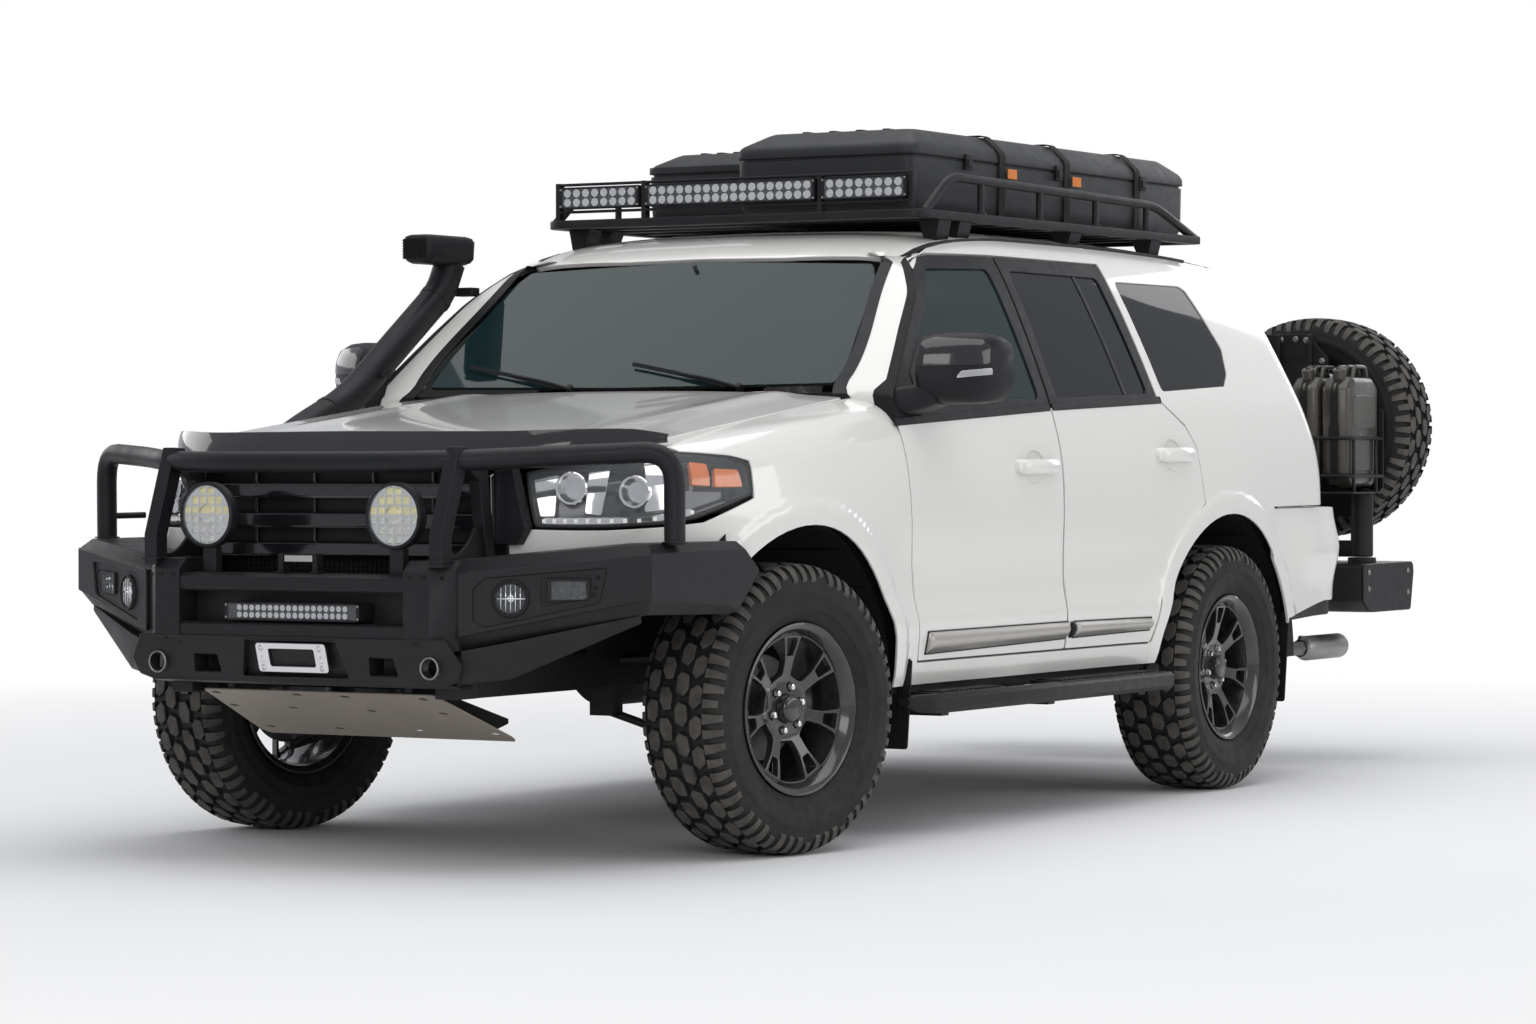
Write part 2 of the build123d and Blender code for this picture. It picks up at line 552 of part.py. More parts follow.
def case(x_low, x_high, y_low, y_high, top, edge):
    middle = (y_low + y_high) / 2
    profile = [(x_low, up(CASE_LOW + 40)), (x_low + 25, up(CASE_LOW)), (x_high - 25, up(CASE_LOW)),
        (x_high, up(CASE_LOW + 40)), (x_high, up(top - edge)), (x_high - edge, up(top)),
        (x_low + edge, up(top)), (x_low, up(top - edge))]
    body = along(profile, y_low, y_high)
    side = [(y_low + 20, up(CASE_LOW)), (y_low, up(CASE_LOW + 40)), (y_low, up(top - edge)),
        (y_low + edge * 1.6, up(top)), (y_high - edge * 1.2, up(top)), (y_high, up(top - edge)),
        (y_high, up(CASE_LOW + 40)), (y_high - 20, up(CASE_LOW))]
    return body & across(side, x_low - 10, x_high + 10)


cases = case(-610, -140, fa(1700), ra(560), 2140, 55) + case(-100, 555, fa(1420), ra(590), 2172, 60)
parts["roof_cases"] = cases - rack

# Side steps, mud flaps and exhaust
step = raised([(880, fa(665)), (1010, fa(660)), (STEP_OUTER, fa(700)), (STEP_OUTER, ra(-560)),
    (1010, ra(-500)), (880, ra(-530))], up(368), up(395))
step = step + rod((STEP_OUTER - 24, fa(690), up(392)), (STEP_OUTER - 24, ra(-530), up(392)), 24)
step = step + block(960, 1010, fa(760), ra(-700), up(395), up(412))
parts["side_steps"] = both(step)
pipe = tube([(640, fa(900), up(520)), (640, ra(470), up(520)), (760, ra(760), up(430)),
    (760, ra(1460), up(427))], 28, 90)
pipe = pipe + rod((760, ra(1150), up(427)), (760, ra(1465), up(427)), 45)
pipe = pipe + rod((640, fa(1250), up(510)), (640, ra(-760), up(510)), 60)
pipe = pipe + block(625, 655, fa(1400), fa(1440), up(540), up(FLOOR_LOW))
parts["exhaust"] = pipe

# Rear bumper, rear bar and rear axle
BUMPER_PLAN = symmetric([(0, ra(1160)), (600, ra(1150)), (830, ra(1115)), (930, ra(1020)),
    (968, ra(850)), (WAIST_HALF, ra(560)), (WAIST_HALF, ra(392)), (0, ra(392))])
bumper = raised(BUMPER_PLAN, up(530), up(945))
bumper = bumper - block(-905 - SEAT_GAP, 905 + SEAT_GAP, ra(300), ra(914), up(300), up(1100))
bumper = bumper - block(-TAILGATE_HALF - 30, TAILGATE_HALF + 30, ra(300), ra(1300),
    up(GATE_LOW_HEIGHT - 25), up(1100))
bumper = bumper - block(-870, 870, ra(300), ra(1060), up(300), up(740))
bumper = bumper - both(across(rear_points([(300, 500), (300, 535), (560, 530), (1000, 600), (1300, 610),
    (1300, 400)]), 400, 1100))
bumper = bumper - both(arch(REAR_AXLE_Y, REAR_ARCH_SHIFT, 600, 1100))
bumper = bumper - block(-RAIL_X[1] - 12, RAIL_X[1] + 12, ra(300), ra(1300), up(300), RAIL_Z[1] + 10)
parts["rear_bumper"] = bumper

# Mud flaps behind the four wheels
front_flap = across(front_points([(626, 575), (639.7, 575), (639.7, 530), (612, 262), (602, 262)]), 800,
    975)
front_flap = front_flap & along([(800, up(576)), (900, up(576)), (900, up(440)), (975, up(440)),
    (975, up(262)), (800, up(262))], fa(500), fa(700))
rear_flap = across(rear_points([(528, 560), (538, 560), (490, 272), (480, 272)]), 800, 975)
rear_flap = rear_flap & along([(800, up(561)), (906, up(561)), (906, up(524)), (975, up(524)),
    (975, up(272)), (800, up(272))], ra(400), ra(600))
parts["mud_flaps"] = both(front_flap + rear_flap) - wings - bumper - shell

bar_side = rear_points([(1310, REAR_BAR_LOW + 40), (1310, REAR_BAR_TOP - 12), (1780, REAR_BAR_TOP),
    (1790, REAR_BAR_TOP - 30), (1760, REAR_BAR_LOW), (1380, REAR_BAR_LOW)])
rear_bar = across(bar_side, -REAR_BAR_HALF, REAR_BAR_HALF)
rear_bar = rear_bar - block(-REAR_BAR_HALF + 12, REAR_BAR_HALF - 12, ra(1322), ra(1745), up(500),
    up(REAR_BAR_TOP - 24))
rear_bar = rear_bar + both(block(*RAIL_X, ra(1300), ra(1312), RAIL_Z[0], up(REAR_BAR_TOP - 12)))
ARM_LOW = up(REAR_BAR_TOP) + 20
rear_bar = rear_bar + rod((CARRIER_PIVOT_X, ra(1480), up(REAR_BAR_TOP) - 30),
    (CARRIER_PIVOT_X, ra(1480), ARM_LOW - SEAT_GAP), 52)
rear_bar = rear_bar + block(-560, -500, ra(1450), ra(1510), up(REAR_BAR_TOP) - 30, ARM_LOW - SEAT_GAP)
parts["rear_bar"] = rear_bar

REAR_HUB_X = WHEEL_CENTRE_X + 20 - HUB_CLEARANCE
axle = rod((-REAR_HUB_X, REAR_AXLE_Y, AXLE_Z), (REAR_HUB_X, REAR_AXLE_Y, AXLE_Z), 42)
axle = axle + rod((0, REAR_AXLE_Y - 120, AXLE_Z), (0, REAR_AXLE_Y + 110, AXLE_Z), 128)
for x in (-560, 560):
    axle = axle + rod((x, REAR_AXLE_Y, AXLE_Z), (x, ra(-600), up(430)), 22)
    axle = axle + rod((x * 0.9, REAR_AXLE_Y, AXLE_Z), (x * 0.9, REAR_AXLE_Y, up(FLOOR_LOW)), 46)
axle = axle + both(disc((760, REAR_AXLE_Y, AXLE_Z), (1, 0, 0), 150, 14))
parts["rear_axle"] = axle

# Wheels, modelled about their own axis pointing out along +X, then placed
LUG_COUNT = 28
LUG_SHARE = 0.3
LUG_DEPTH = 14.0
SHOULDER_DROP = 12.0
TREAD_HALF = TYRE_WIDTH / 2 - 30
LUG_FLAT_HALF = TREAD_HALF - 28
BEAD_HALF = RIM_WIDTH / 2 - 11
# Each row of the tyre's side: distance from the middle plane and corner radius
SIDE_ROWS = [(TREAD_HALF, TYRE_RADIUS - 24), (TYRE_WIDTH / 2, 335.0), (BEAD_HALF, RIM_FLANGE_RADIUS + 2)]
RIM_PROFILE = [
    (-RIM_WIDTH / 2, RIM_FLANGE_RADIUS),
    (-RIM_WIDTH / 2 + 10.7, RIM_FLANGE_RADIUS),
    (-RIM_WIDTH / 2 + 10.7, RIM_SEAT_RADIUS - 0.3),
    (-RIM_WIDTH / 2 + 45, RIM_SEAT_RADIUS - 0.3),
    (-RIM_WIDTH / 2 + 60, RIM_SEAT_RADIUS - 14),
]
RIM_INNER = [
    (-RIM_WIDTH / 2 + 60, RIM_SEAT_RADIUS - 14 - BARREL_WALL),
    (-RIM_WIDTH / 2 + 42, RIM_SEAT_RADIUS - BARREL_WALL),
    (-RIM_WIDTH / 2, RIM_SEAT_RADIUS - BARREL_WALL),
]


def about_axle(x, radius, turn):
    return (x, radius * sin(turn), -radius * cos(turn))


def polygon(*points):
    return Face(Wire.make_polygon([Vector(*point) for point in points], close=True))


def ring_face(outer, inner):
    hole = Wire.make_polygon([Vector(*point) for point in inner], close=True)
    edge = Wire.make_polygon([Vector(*point) for point in outer], close=True)
    return Face(edge, [hole])


def lugged_tyre():
    pitch = 2 * pi / LUG_COUNT
    half = LUG_SHARE * pitch
    root = TYRE_RADIUS - LUG_DEPTH
    top = TYRE_RADIUS / cos(half)
    shoulder = (TYRE_RADIUS - SHOULDER_DROP) / cos(half)
    bore = RIM_SEAT_RADIUS / cos(pitch / 2)
    faces = []
    gear = []
    for index in range(LUG_COUNT):
        early = index * pitch - half
        late = index * pitch + half
        after = (index + 1) * pitch - half
        profile = [(-TREAD_HALF, root), (-TREAD_HALF, shoulder), (-LUG_FLAT_HALF, top)]
        profile = profile + [(-x, radius) for x, radius in reversed(profile)]
        for turn in (early, late):
            faces.append(polygon(*[about_axle(x, radius, turn) for x, radius in profile]))
        for (x_a, r_a), (x_b, r_b) in zip(profile[1:-1], profile[2:-1]):
            ends = [about_axle(x_a, r_a, early), about_axle(x_b, r_b, early)]
            faces.append(polygon(*ends, about_axle(x_b, r_b, late), about_axle(x_a, r_a, late)))
        ends = [about_axle(-TREAD_HALF, root, late), about_axle(TREAD_HALF, root, late)]
        faces.append(polygon(*ends, about_axle(TREAD_HALF, root, after),
            about_axle(-TREAD_HALF, root, after)))
        gear = gear + [(root, early), (shoulder, early), (shoulder, late), (root, late)]
        turn = index * pitch
        rows = [(-x, radius) for x, radius in SIDE_ROWS]
        for line in (SIDE_ROWS, rows, [(BEAD_HALF, bore), (-BEAD_HALF, bore)]):
            for (x_a, r_a), (x_b, r_b) in zip(line, line[1:]):
                ends = [about_axle(x_a, r_a, turn), about_axle(x_b, r_b, turn)]
                faces.append(polygon(*ends, about_axle(x_b, r_b, turn + pitch),
                    about_axle(x_a, r_a, turn + pitch)))
    for sign in (-1, 1):
        tread = [about_axle(sign * TREAD_HALF, radius, turn) for radius, turn in gear]
        side, bead, seat = (
            [about_axle(sign * x, radius, index * pitch) for index in range(LUG_COUNT)]
            for x, radius in (SIDE_ROWS[0], SIDE_ROWS[-1], (BEAD_HALF, bore))
        )
        faces.append(ring_face(tread, side))
        faces.append(ring_face(bead, seat))
    return Solid(Shell(faces))


def barrel():
    whole = RIM_PROFILE + [(-x, r) for x, r in reversed(RIM_PROFILE)]
    inner = [(-x, r) for x, r in reversed(RIM_INNER)] + RIM_INNER
    return revolve(Plane.XY * outline(whole + inner), axis=Axis.X)


SPOKE_IN = 62.0
SPOKE_OUT = 94.0


def rim():
    wheel = barrel() + disc((20, 0, 0), (1, 0, 0), HUB_RADIUS, 52)
    wheel = wheel + disc((60, 0, 0), (1, 0, 0), 38, 34)
    reach = RIM_SEAT_RADIUS - BARREL_WALL - 6
    arm = [(-SPOKE_WIDTH / 2, 50), (-SPOKE_WIDTH / 2, 130), (-SPOKE_WIDTH * 0.95, reach),
        (SPOKE_WIDTH * 0.95, reach), (SPOKE_WIDTH / 2, 130), (SPOKE_WIDTH / 2, 50)]
    spoke = across(arm, SPOKE_IN - 12, SPOKE_OUT - 10)
    slot = across([(-15, 152), (-24, 202), (24, 202), (15, 152)], 0, 200)
    spoke = spoke - slot
    for index in range(SPOKE_COUNT):
        wheel = wheel + Rot(360.0 / SPOKE_COUNT * index, 0, 0) * spoke
    return wheel


tyre = lugged_tyre()
wheel_rim = rim()
knuckle_reach = WHEEL_CENTRE_X + 20 - HUB_CLEARANCE - KINGPIN_X
knuckle = block(-26, 26, -38, 38, -122, 122)
knuckle = knuckle + rod((20, 0, 0), (knuckle_reach, 0, 0), 36) + disc((24, 0, 0), (1, 0, 0), 150, 14)
knuckle = knuckle + block(-10, 60, 60, 150, -50, 60) + rod((0, 0, -KNUCKLE_HALF_HEIGHT),
    (0, 0, KNUCKLE_HALF_HEIGHT), 12)
PLACES = [("left", 1), ("right", -1)]
for side, sign in PLACES:
    turn = 0 if sign > 0 else 180
    steer_axis = Axis((sign * KINGPIN_X, FRONT_AXLE_Y, AXLE_Z), (0, 0, 1))
    front = Pos(sign * WHEEL_CENTRE_X, FRONT_AXLE_Y, AXLE_Z) * Rot(0, 0, turn)
    rear = Pos(sign * WHEEL_CENTRE_X, REAR_AXLE_Y, AXLE_Z) * Rot(0, 0, turn)
    hub = Pos(sign * KINGPIN_X, FRONT_AXLE_Y, AXLE_Z) * Rot(0, 0, turn)
    parts[f"tyre_front_{side}"] = (front * tyre).rotate(steer_axis, STEER_REST_DEG)
    parts[f"rim_front_{side}"] = (front * wheel_rim).rotate(steer_axis, STEER_REST_DEG)
    parts[f"knuckle_{side}"] = (hub * knuckle).rotate(steer_axis, STEER_REST_DEG)
    parts[f"tyre_rear_{side}"] = rear * tyre
    parts[f"rim_rear_{side}"] = rear * wheel_rim

# Swing-out carrier with the spare wheel and the fuel cans
SPARE_Y = ra(1600) + TYRE_WIDTH / 2
PIVOT_Y = ra(1480)
ARM_TOP = ARM_LOW + 62
carrier = block(-560, CARRIER_PIVOT_X, PIVOT_Y - 32, PIVOT_Y + 32, ARM_LOW, ARM_TOP)
carrier = carrier + rod((CARRIER_PIVOT_X, PIVOT_Y, ARM_LOW), (CARRIER_PIVOT_X, PIVOT_Y, up(1000)), 42)
post = across([(PIVOT_Y - 60, ARM_LOW), (PIVOT_Y + 50, ARM_LOW), (ra(1560), up(1000)),
    (ra(1560), up(1560)), (ra(1520), up(1580)), (ra(1500), up(1580)), (ra(1500), up(1000))],
    SPARE_X - 70, SPARE_X + 70)
board = block(330, 690, ra(1520), ra(1532), up(1000), up(1560))
carrier = carrier + post + board + disc((SPARE_X, ra(1550), up(SPARE_HEIGHT)), (0, 1, 0), 78,
    SPARE_Y + 20 - ra(1550))
CAN_X = [(672, 787), (793, 908)]
CAN_Y = (ra(1220), ra(1590) - 80)
CAN_Z = (up(1012), up(1455))
carrier = carrier + block(662, 925, CAN_Y[0] - 6, CAN_Y[1] + 6, CAN_Z[0] - 28, CAN_Z[0])
carrier = carrier + block(662, 925, CAN_Y[0] - 16, CAN_Y[0] - 4, CAN_Z[0] - 28, up(1210)) + block(915,
    925, CAN_Y[0] - 16, CAN_Y[0] + 90, CAN_Z[0] - 28, up(1210))
carrier = carrier + block(600, 925, ra(1514), ra(1524), up(1000), up(1300)) + block(800, 880, CAN_Y[1],
    ra(1520), up(984), up(1000))
parts["wheel_carrier"] = carrier
cans = Part()
for x_low, x_high in CAN_X:
    can_side = [(CAN_Y[0] + 45, CAN_Z[0]), (CAN_Y[1] - 45, CAN_Z[0]), (CAN_Y[1], CAN_Z[0] + 45),
        (CAN_Y[1], CAN_Z[1] - 50), (CAN_Y[1] - 60, CAN_Z[1]), (CAN_Y[0] + 50, CAN_Z[1]),
        (CAN_Y[0], CAN_Z[1] - 50), (CAN_Y[0], CAN_Z[0] + 45)]
    can = across(can_side, x_low, x_high)
    can = can - across([(CAN_Y[0] + 130, CAN_Z[1] - 75), (CAN_Y[0] + 130, CAN_Z[1] - 32),
        (CAN_Y[0] + 250, CAN_Z[1] - 32), (CAN_Y[0] + 250, CAN_Z[1] - 75)], x_low - 5, x_high + 5)
    cans = cans + can
parts["fuel_cans"] = cans - carrier
spare = Pos(SPARE_X, SPARE_Y, up(SPARE_HEIGHT)) * Rot(0, 0, 90)
parts["spare_tyre"] = spare * tyre
parts["spare_rim"] = spare * wheel_rim

# Door mirrors
head = along([(1012, up(1300)), (1030, up(1282)), (1180, up(1296)), (MIRROR_OUTER, up(1330)),
    (MIRROR_OUTER - 8, up(1440)), (1150, up(1485)), (1040, up(1488)), (1012, up(1440))], fa(640),
    fa(830))
head = head & raised([(1012, fa(700)), (1060, fa(640)), (MIRROR_OUTER, fa(700)), (MIRROR_OUTER, fa(815)),
    (1012, fa(830))], up(1200), up(1600))
arm = raised([(900, fa(650)), (900, fa(740)), (1030, fa(780)), (1030, fa(700))], up(1276), up(1318))
mirror_left = (head + arm) - cabin_outer
parts["mirror_left"] = mirror_left
parts["mirror_right"] = mirror(mirror_left, about=Plane.YZ)

# Dashboard with steering wheel, and seats
dash = across(front_points([(700, 900), (700, 1180), (800, 1230), (930, 1200), (960, 1080), (900, 900)]),
    -830, 830)
dash = dash & cabin_inner
WHEEL_AXIS = Vector(0, 1, 0.35)
dash = dash + rod((370, fa(880), up(1050)), (370, fa(1040), up(1106)), 30)
rim_plane = Plane(origin=(370, fa(1040), up(1106)), z_dir=WHEEL_AXIS)
dash = dash + (rim_plane * Torus(175, 15)) + (rim_plane * Box(340, 40,
    16)) + extrude(rim_plane * Circle(50), amount=12)
dash = dash + block(-120, 120, fa(760), fa(1500), up(FLOOR_TOP), up(860)) + block(-60, 60, fa(760),
    fa(880), up(860), up(1000))
parts["dashboard"] = dash
seats = Part()
SEATS = [(375, 1130, 250), (-375, 1130, 250)]
for x, y, half in SEATS:
    seat = block(x - half, x + half, fa(y), fa(y + 520), up(700), up(860)) + block(x - 200, x + 200,
        fa(y + 60), fa(y + 460), up(FLOOR_TOP), up(700))
    back = across(front_points([(y + 440, 780), (y + 560, 780), (y + 720, 1380), (y + 620, 1380)]),
        x - half + 10, x + half - 10)
    rest = across(front_points([(y + 630, 1370), (y + 700, 1370), (y + 735, 1560), (y + 670, 1560)]),
        x - 130, x + 130)
    seats = seats + (seat + back + rest)
bench = block(-570, 570, ra(-800), ra(-300), up(FLOOR_TOP),
    up(850)) + across(rear_points([(-380, 780), (-260, 780), (-110, 1340), (-210, 1340)]), -570, 570)
seats = seats + bench
parts["seats"] = seats

os.makedirs("parts", exist_ok=True)
for name, shape in parts.items():
    export_step(shape, f"parts/{name}.step")
    box = shape.bounding_box()
    print(name, len(shape.solids()), [round(v) for v in (*box.min, *box.max)])
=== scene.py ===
import json
import math

import bpy
import numpy as np
from mathutils import Matrix, Vector, geometry

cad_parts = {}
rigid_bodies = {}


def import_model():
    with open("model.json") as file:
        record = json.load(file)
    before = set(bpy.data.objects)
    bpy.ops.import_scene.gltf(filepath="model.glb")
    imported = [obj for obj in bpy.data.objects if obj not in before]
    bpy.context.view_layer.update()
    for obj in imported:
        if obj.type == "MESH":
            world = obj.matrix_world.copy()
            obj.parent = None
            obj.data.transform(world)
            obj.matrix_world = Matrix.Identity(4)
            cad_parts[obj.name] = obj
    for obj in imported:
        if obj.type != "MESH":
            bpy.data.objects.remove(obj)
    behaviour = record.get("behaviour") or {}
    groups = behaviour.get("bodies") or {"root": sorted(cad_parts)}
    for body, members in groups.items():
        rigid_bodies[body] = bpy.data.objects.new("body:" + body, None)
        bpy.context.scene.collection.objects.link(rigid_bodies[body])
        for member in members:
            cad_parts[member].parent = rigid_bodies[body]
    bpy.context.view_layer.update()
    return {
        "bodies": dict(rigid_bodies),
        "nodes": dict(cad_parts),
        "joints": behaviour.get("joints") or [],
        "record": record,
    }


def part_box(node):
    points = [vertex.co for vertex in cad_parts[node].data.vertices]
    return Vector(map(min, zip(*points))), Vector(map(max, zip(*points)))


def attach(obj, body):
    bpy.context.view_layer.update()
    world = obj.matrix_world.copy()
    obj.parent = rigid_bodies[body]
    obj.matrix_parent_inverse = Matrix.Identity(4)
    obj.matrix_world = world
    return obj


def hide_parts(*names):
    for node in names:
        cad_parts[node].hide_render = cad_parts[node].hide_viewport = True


# Lifted off-road 4x4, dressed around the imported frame.
# Lengths are millimetres in the vehicle's own terms: across (left is positive),
# behind the front axle, up.
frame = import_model()
JOINTS = {joint["name"]: joint for joint in frame["joints"]}
FRONT_AXLE = JOINTS["steering_left"]["pos_m"][1] * 1000
REAR_AXLE = JOINTS["rear_spin_left"]["pos_m"][1] * 1000 - FRONT_AXLE
HUB_HEIGHT = JOINTS["rear_spin_left"]["pos_m"][2] * 1000
WHEEL_X = JOINTS["rear_spin_left"]["pos_m"][0] * 1000
KINGPIN_X = JOINTS["steering_left"]["pos_m"][0] * 1000
STEER_AXIS = JOINTS["front_spin_left"]["axis"]
STEER_REST = math.atan2(STEER_AXIS[1], STEER_AXIS[0])
SIDES = [("left", 1), ("right", -1)]


def ra(distance):
    return REAR_AXLE + distance


# Shapes


class Shape:
    """Points and faces gathered from primitives, with a normal per face corner where one is given."""

    def __init__(self):
        self.points = []
        self.faces = []
        self.corners = []
        self.tags = []

    def add(self, points, faces):
        start = len(self.points)
        self.points += [tuple(map(float, p)) for p in points]
        self.faces += [[start + i for i in face] for face in faces]
        self.corners += [None] * len(faces)
        self.tags += [0] * len(faces)
        return self

    def join(self, other):
        start = len(self.points)
        self.points += other.points
        self.faces += [[start + i for i in face] for face in other.faces]
        self.corners += other.corners
        self.tags += other.tags
        return self

    def mirrored(self):
        turned = Shape()
        turned.points = [(-x, y, z) for x, y, z in self.points]
        turned.faces = [face[::-1] for face in self.faces]
        for corner in self.corners:
            flipped = None if corner is None else [(-n[0], n[1], n[2]) for n in corner[::-1]]
            turned.corners.append(flipped)
        turned.tags = list(self.tags)
        return turned

    def both(self):
        return Shape().join(self).join(self.mirrored())

    def moved(self, matrix):
        turned = Shape()
        turned.points = [tuple(matrix @ Vector(p)) for p in self.points]
        turned.faces = self.faces
        turn = matrix.to_3x3()
        for corner in self.corners:
            turned.corners.append(None if corner is None else [tuple(turn @ Vector(n)) for n in corner])
        turned.tags = self.tags
        return turned


def show(shape, name, body, materials, replaces=(), bevel=0.0, smooth=38.0):
    """Makes the object from a shape, rounds its edges, and ties it to its body."""
    mesh = bpy.data.meshes.new(name)
    points = [(x / 1000, (y + FRONT_AXLE) / 1000, z / 1000) for x, y, z in shape.points]
    mesh.from_pydata(points, [], shape.faces)
    for item in materials if isinstance(materials, (list, tuple)) else [materials]:
        mesh.materials.append(item)
    mesh.polygons.foreach_set("material_index", shape.tags)
    mesh.shade_smooth()
    if any(corner is not None for corner in shape.corners):
        normals = []
        for face, corner in zip(shape.faces, shape.corners):
            normals += corner if corner is not None else [(0, 0, 0)] * len(face)
        mesh.normals_split_custom_set([tuple(n) for n in normals])
    else:
        mesh.set_sharp_from_angle(angle=math.radians(smooth))
    thing = bpy.data.objects.new(name, mesh)
    bpy.context.scene.collection.objects.link(thing)
    if bevel:
        mesh.shade_smooth()
        edge = thing.modifiers.new("edge", "BEVEL")
        edge.width = bevel / 1000
        edge.segments = 2
        edge.limit_method = "ANGLE"
        edge.angle_limit = math.radians(smooth)
        edge.harden_normals = True
    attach(thing, body)
    if replaces:
        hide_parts(*replaces)
    return thing


def area(outline):
    pairs = zip(outline, outline[1:] + outline[:1])
    return sum(a[0] * b[1] - b[0] * a[1] for a, b in pairs) / 2


def prism(outline, axis, low, high):
    """A straight solid: axis X takes (behind, up), Y takes (across, up), Z takes (across, behind)."""
    flat = list(outline)
    if (area(flat) > 0) == (axis == "Y"):
        flat = flat[::-1]
    place = {"X": lambda p, q: (q, p[0], p[1]), "Y": lambda p, q: (p[0], q, p[1]),
             "Z": lambda p, q: (p[0], p[1], q)}
    count = len(flat)
    points = [place[axis](p, low) for p in flat] + [place[axis](p, high) for p in flat]
    faces = [list(range(count))[::-1], list(range(count, 2 * count))]
    for i in range(count):
        j = (i + 1) % count
        faces.append([i, j, count + j, count + i])
    return Shape().add(points, faces)


def box(x_low, x_high, y_low, y_high, z_low, z_high):
    return prism([(x_low, y_low), (x_high, y_low), (x_high, y_high), (x_low, y_high)], "Z", z_low,
                 z_high)


def rounded(outline, radius, steps=4):
    """An outline with its corners turned into arcs; a point may carry its own radius."""
    made = []
    outline = [p for p, before in zip(outline, outline[-1:] + outline[:-1])
               if math.dist(p[:2], before[:2]) > 0.5]
    count = len(outline)
    for i, point in enumerate(outline):
        here = np.array(point[:2], float)
        before = np.array(outline[i - 1][:2], float) - here
        after = np.array(outline[(i + 1) % count][:2], float) - here
        size = point[2] if len(point) > 2 else radius
        reach_before, reach_after = np.linalg.norm(before), np.linalg.norm(after)
        before, after = before / reach_before, after / reach_after
        half = math.acos(max(-1.0, min(1.0, float(before @ after)))) / 2
        if size < 0.01 or half > 1.55 or half < 0.02:
            made.append(tuple(here))
            continue
        cut = min(size / math.tan(half), 0.45 * reach_before, 0.45 * reach_after)
        start, end = here + before * cut, here + after * cut
        for k in range(steps + 1):
            t = k / steps
            made.append(tuple((1 - t) ** 2 * start + 2 * t * (1 - t) * here + t * t * end))
    return made


def dense(outline, step):
    made = []
    for a, b in zip(outline, outline[1:] + outline[:1]):
        length = math.dist(a, b)
        count = max(1, math.ceil(length / step))
        made += [(a[0] + (b[0] - a[0]) * k / count, a[1] + (b[1] - a[1]) * k / count)
                 for k in range(count)]
    return made


def arc(centre, radius, start, end, steps):
    """Points on a circle, with angles in degrees from the first axis towards the second."""
    turns = np.radians(np.linspace(start, end, steps + 1))
    return [(centre[0] + radius * math.cos(t), centre[1] + radius * math.sin(t)) for t in turns]


def circle(centre, radius, steps=32):
    return arc(centre, radius, 0, 360, steps)[:-1]


def inset(outline, amount):
    """The outline moved inwards along its corners' half-angle lines."""
    pts = np.array(outline, float)
    sign = 1.0 if area(outline) > 0 else -1.0
    ahead = np.roll(pts, -1, 0) - pts
    ahead /= np.linalg.norm(ahead, axis=1)[:, None] + 1e-12
    normal = np.stack([-ahead[:, 1], ahead[:, 0]], 1) * sign
    both = normal + np.roll(normal, 1, 0)
    both /= np.maximum(np.linalg.norm(both, axis=1)[:, None], 0.2)
    lean = np.maximum(np.sum(both * normal, axis=1)[:, None], 0.5)
    return [tuple(p) for p in pts + both / lean * amount]


def inside(points, outline):
    """Which points lie in the outline."""
    poly = np.array(outline, float)
    x, y = points[:, 0][:, None], points[:, 1][:, None]
    x0, y0 = poly[:, 0], poly[:, 1]
    x1, y1 = np.roll(x0, -1), np.roll(y0, -1)
    crosses = (y0 > y) != (y1 > y)
    at = (x1 - x0) * (y - y0) / np.where(y1 == y0, 1e-9, y1 - y0) + x0
    return np.sum(crosses & (x < at), axis=1) % 2 == 1


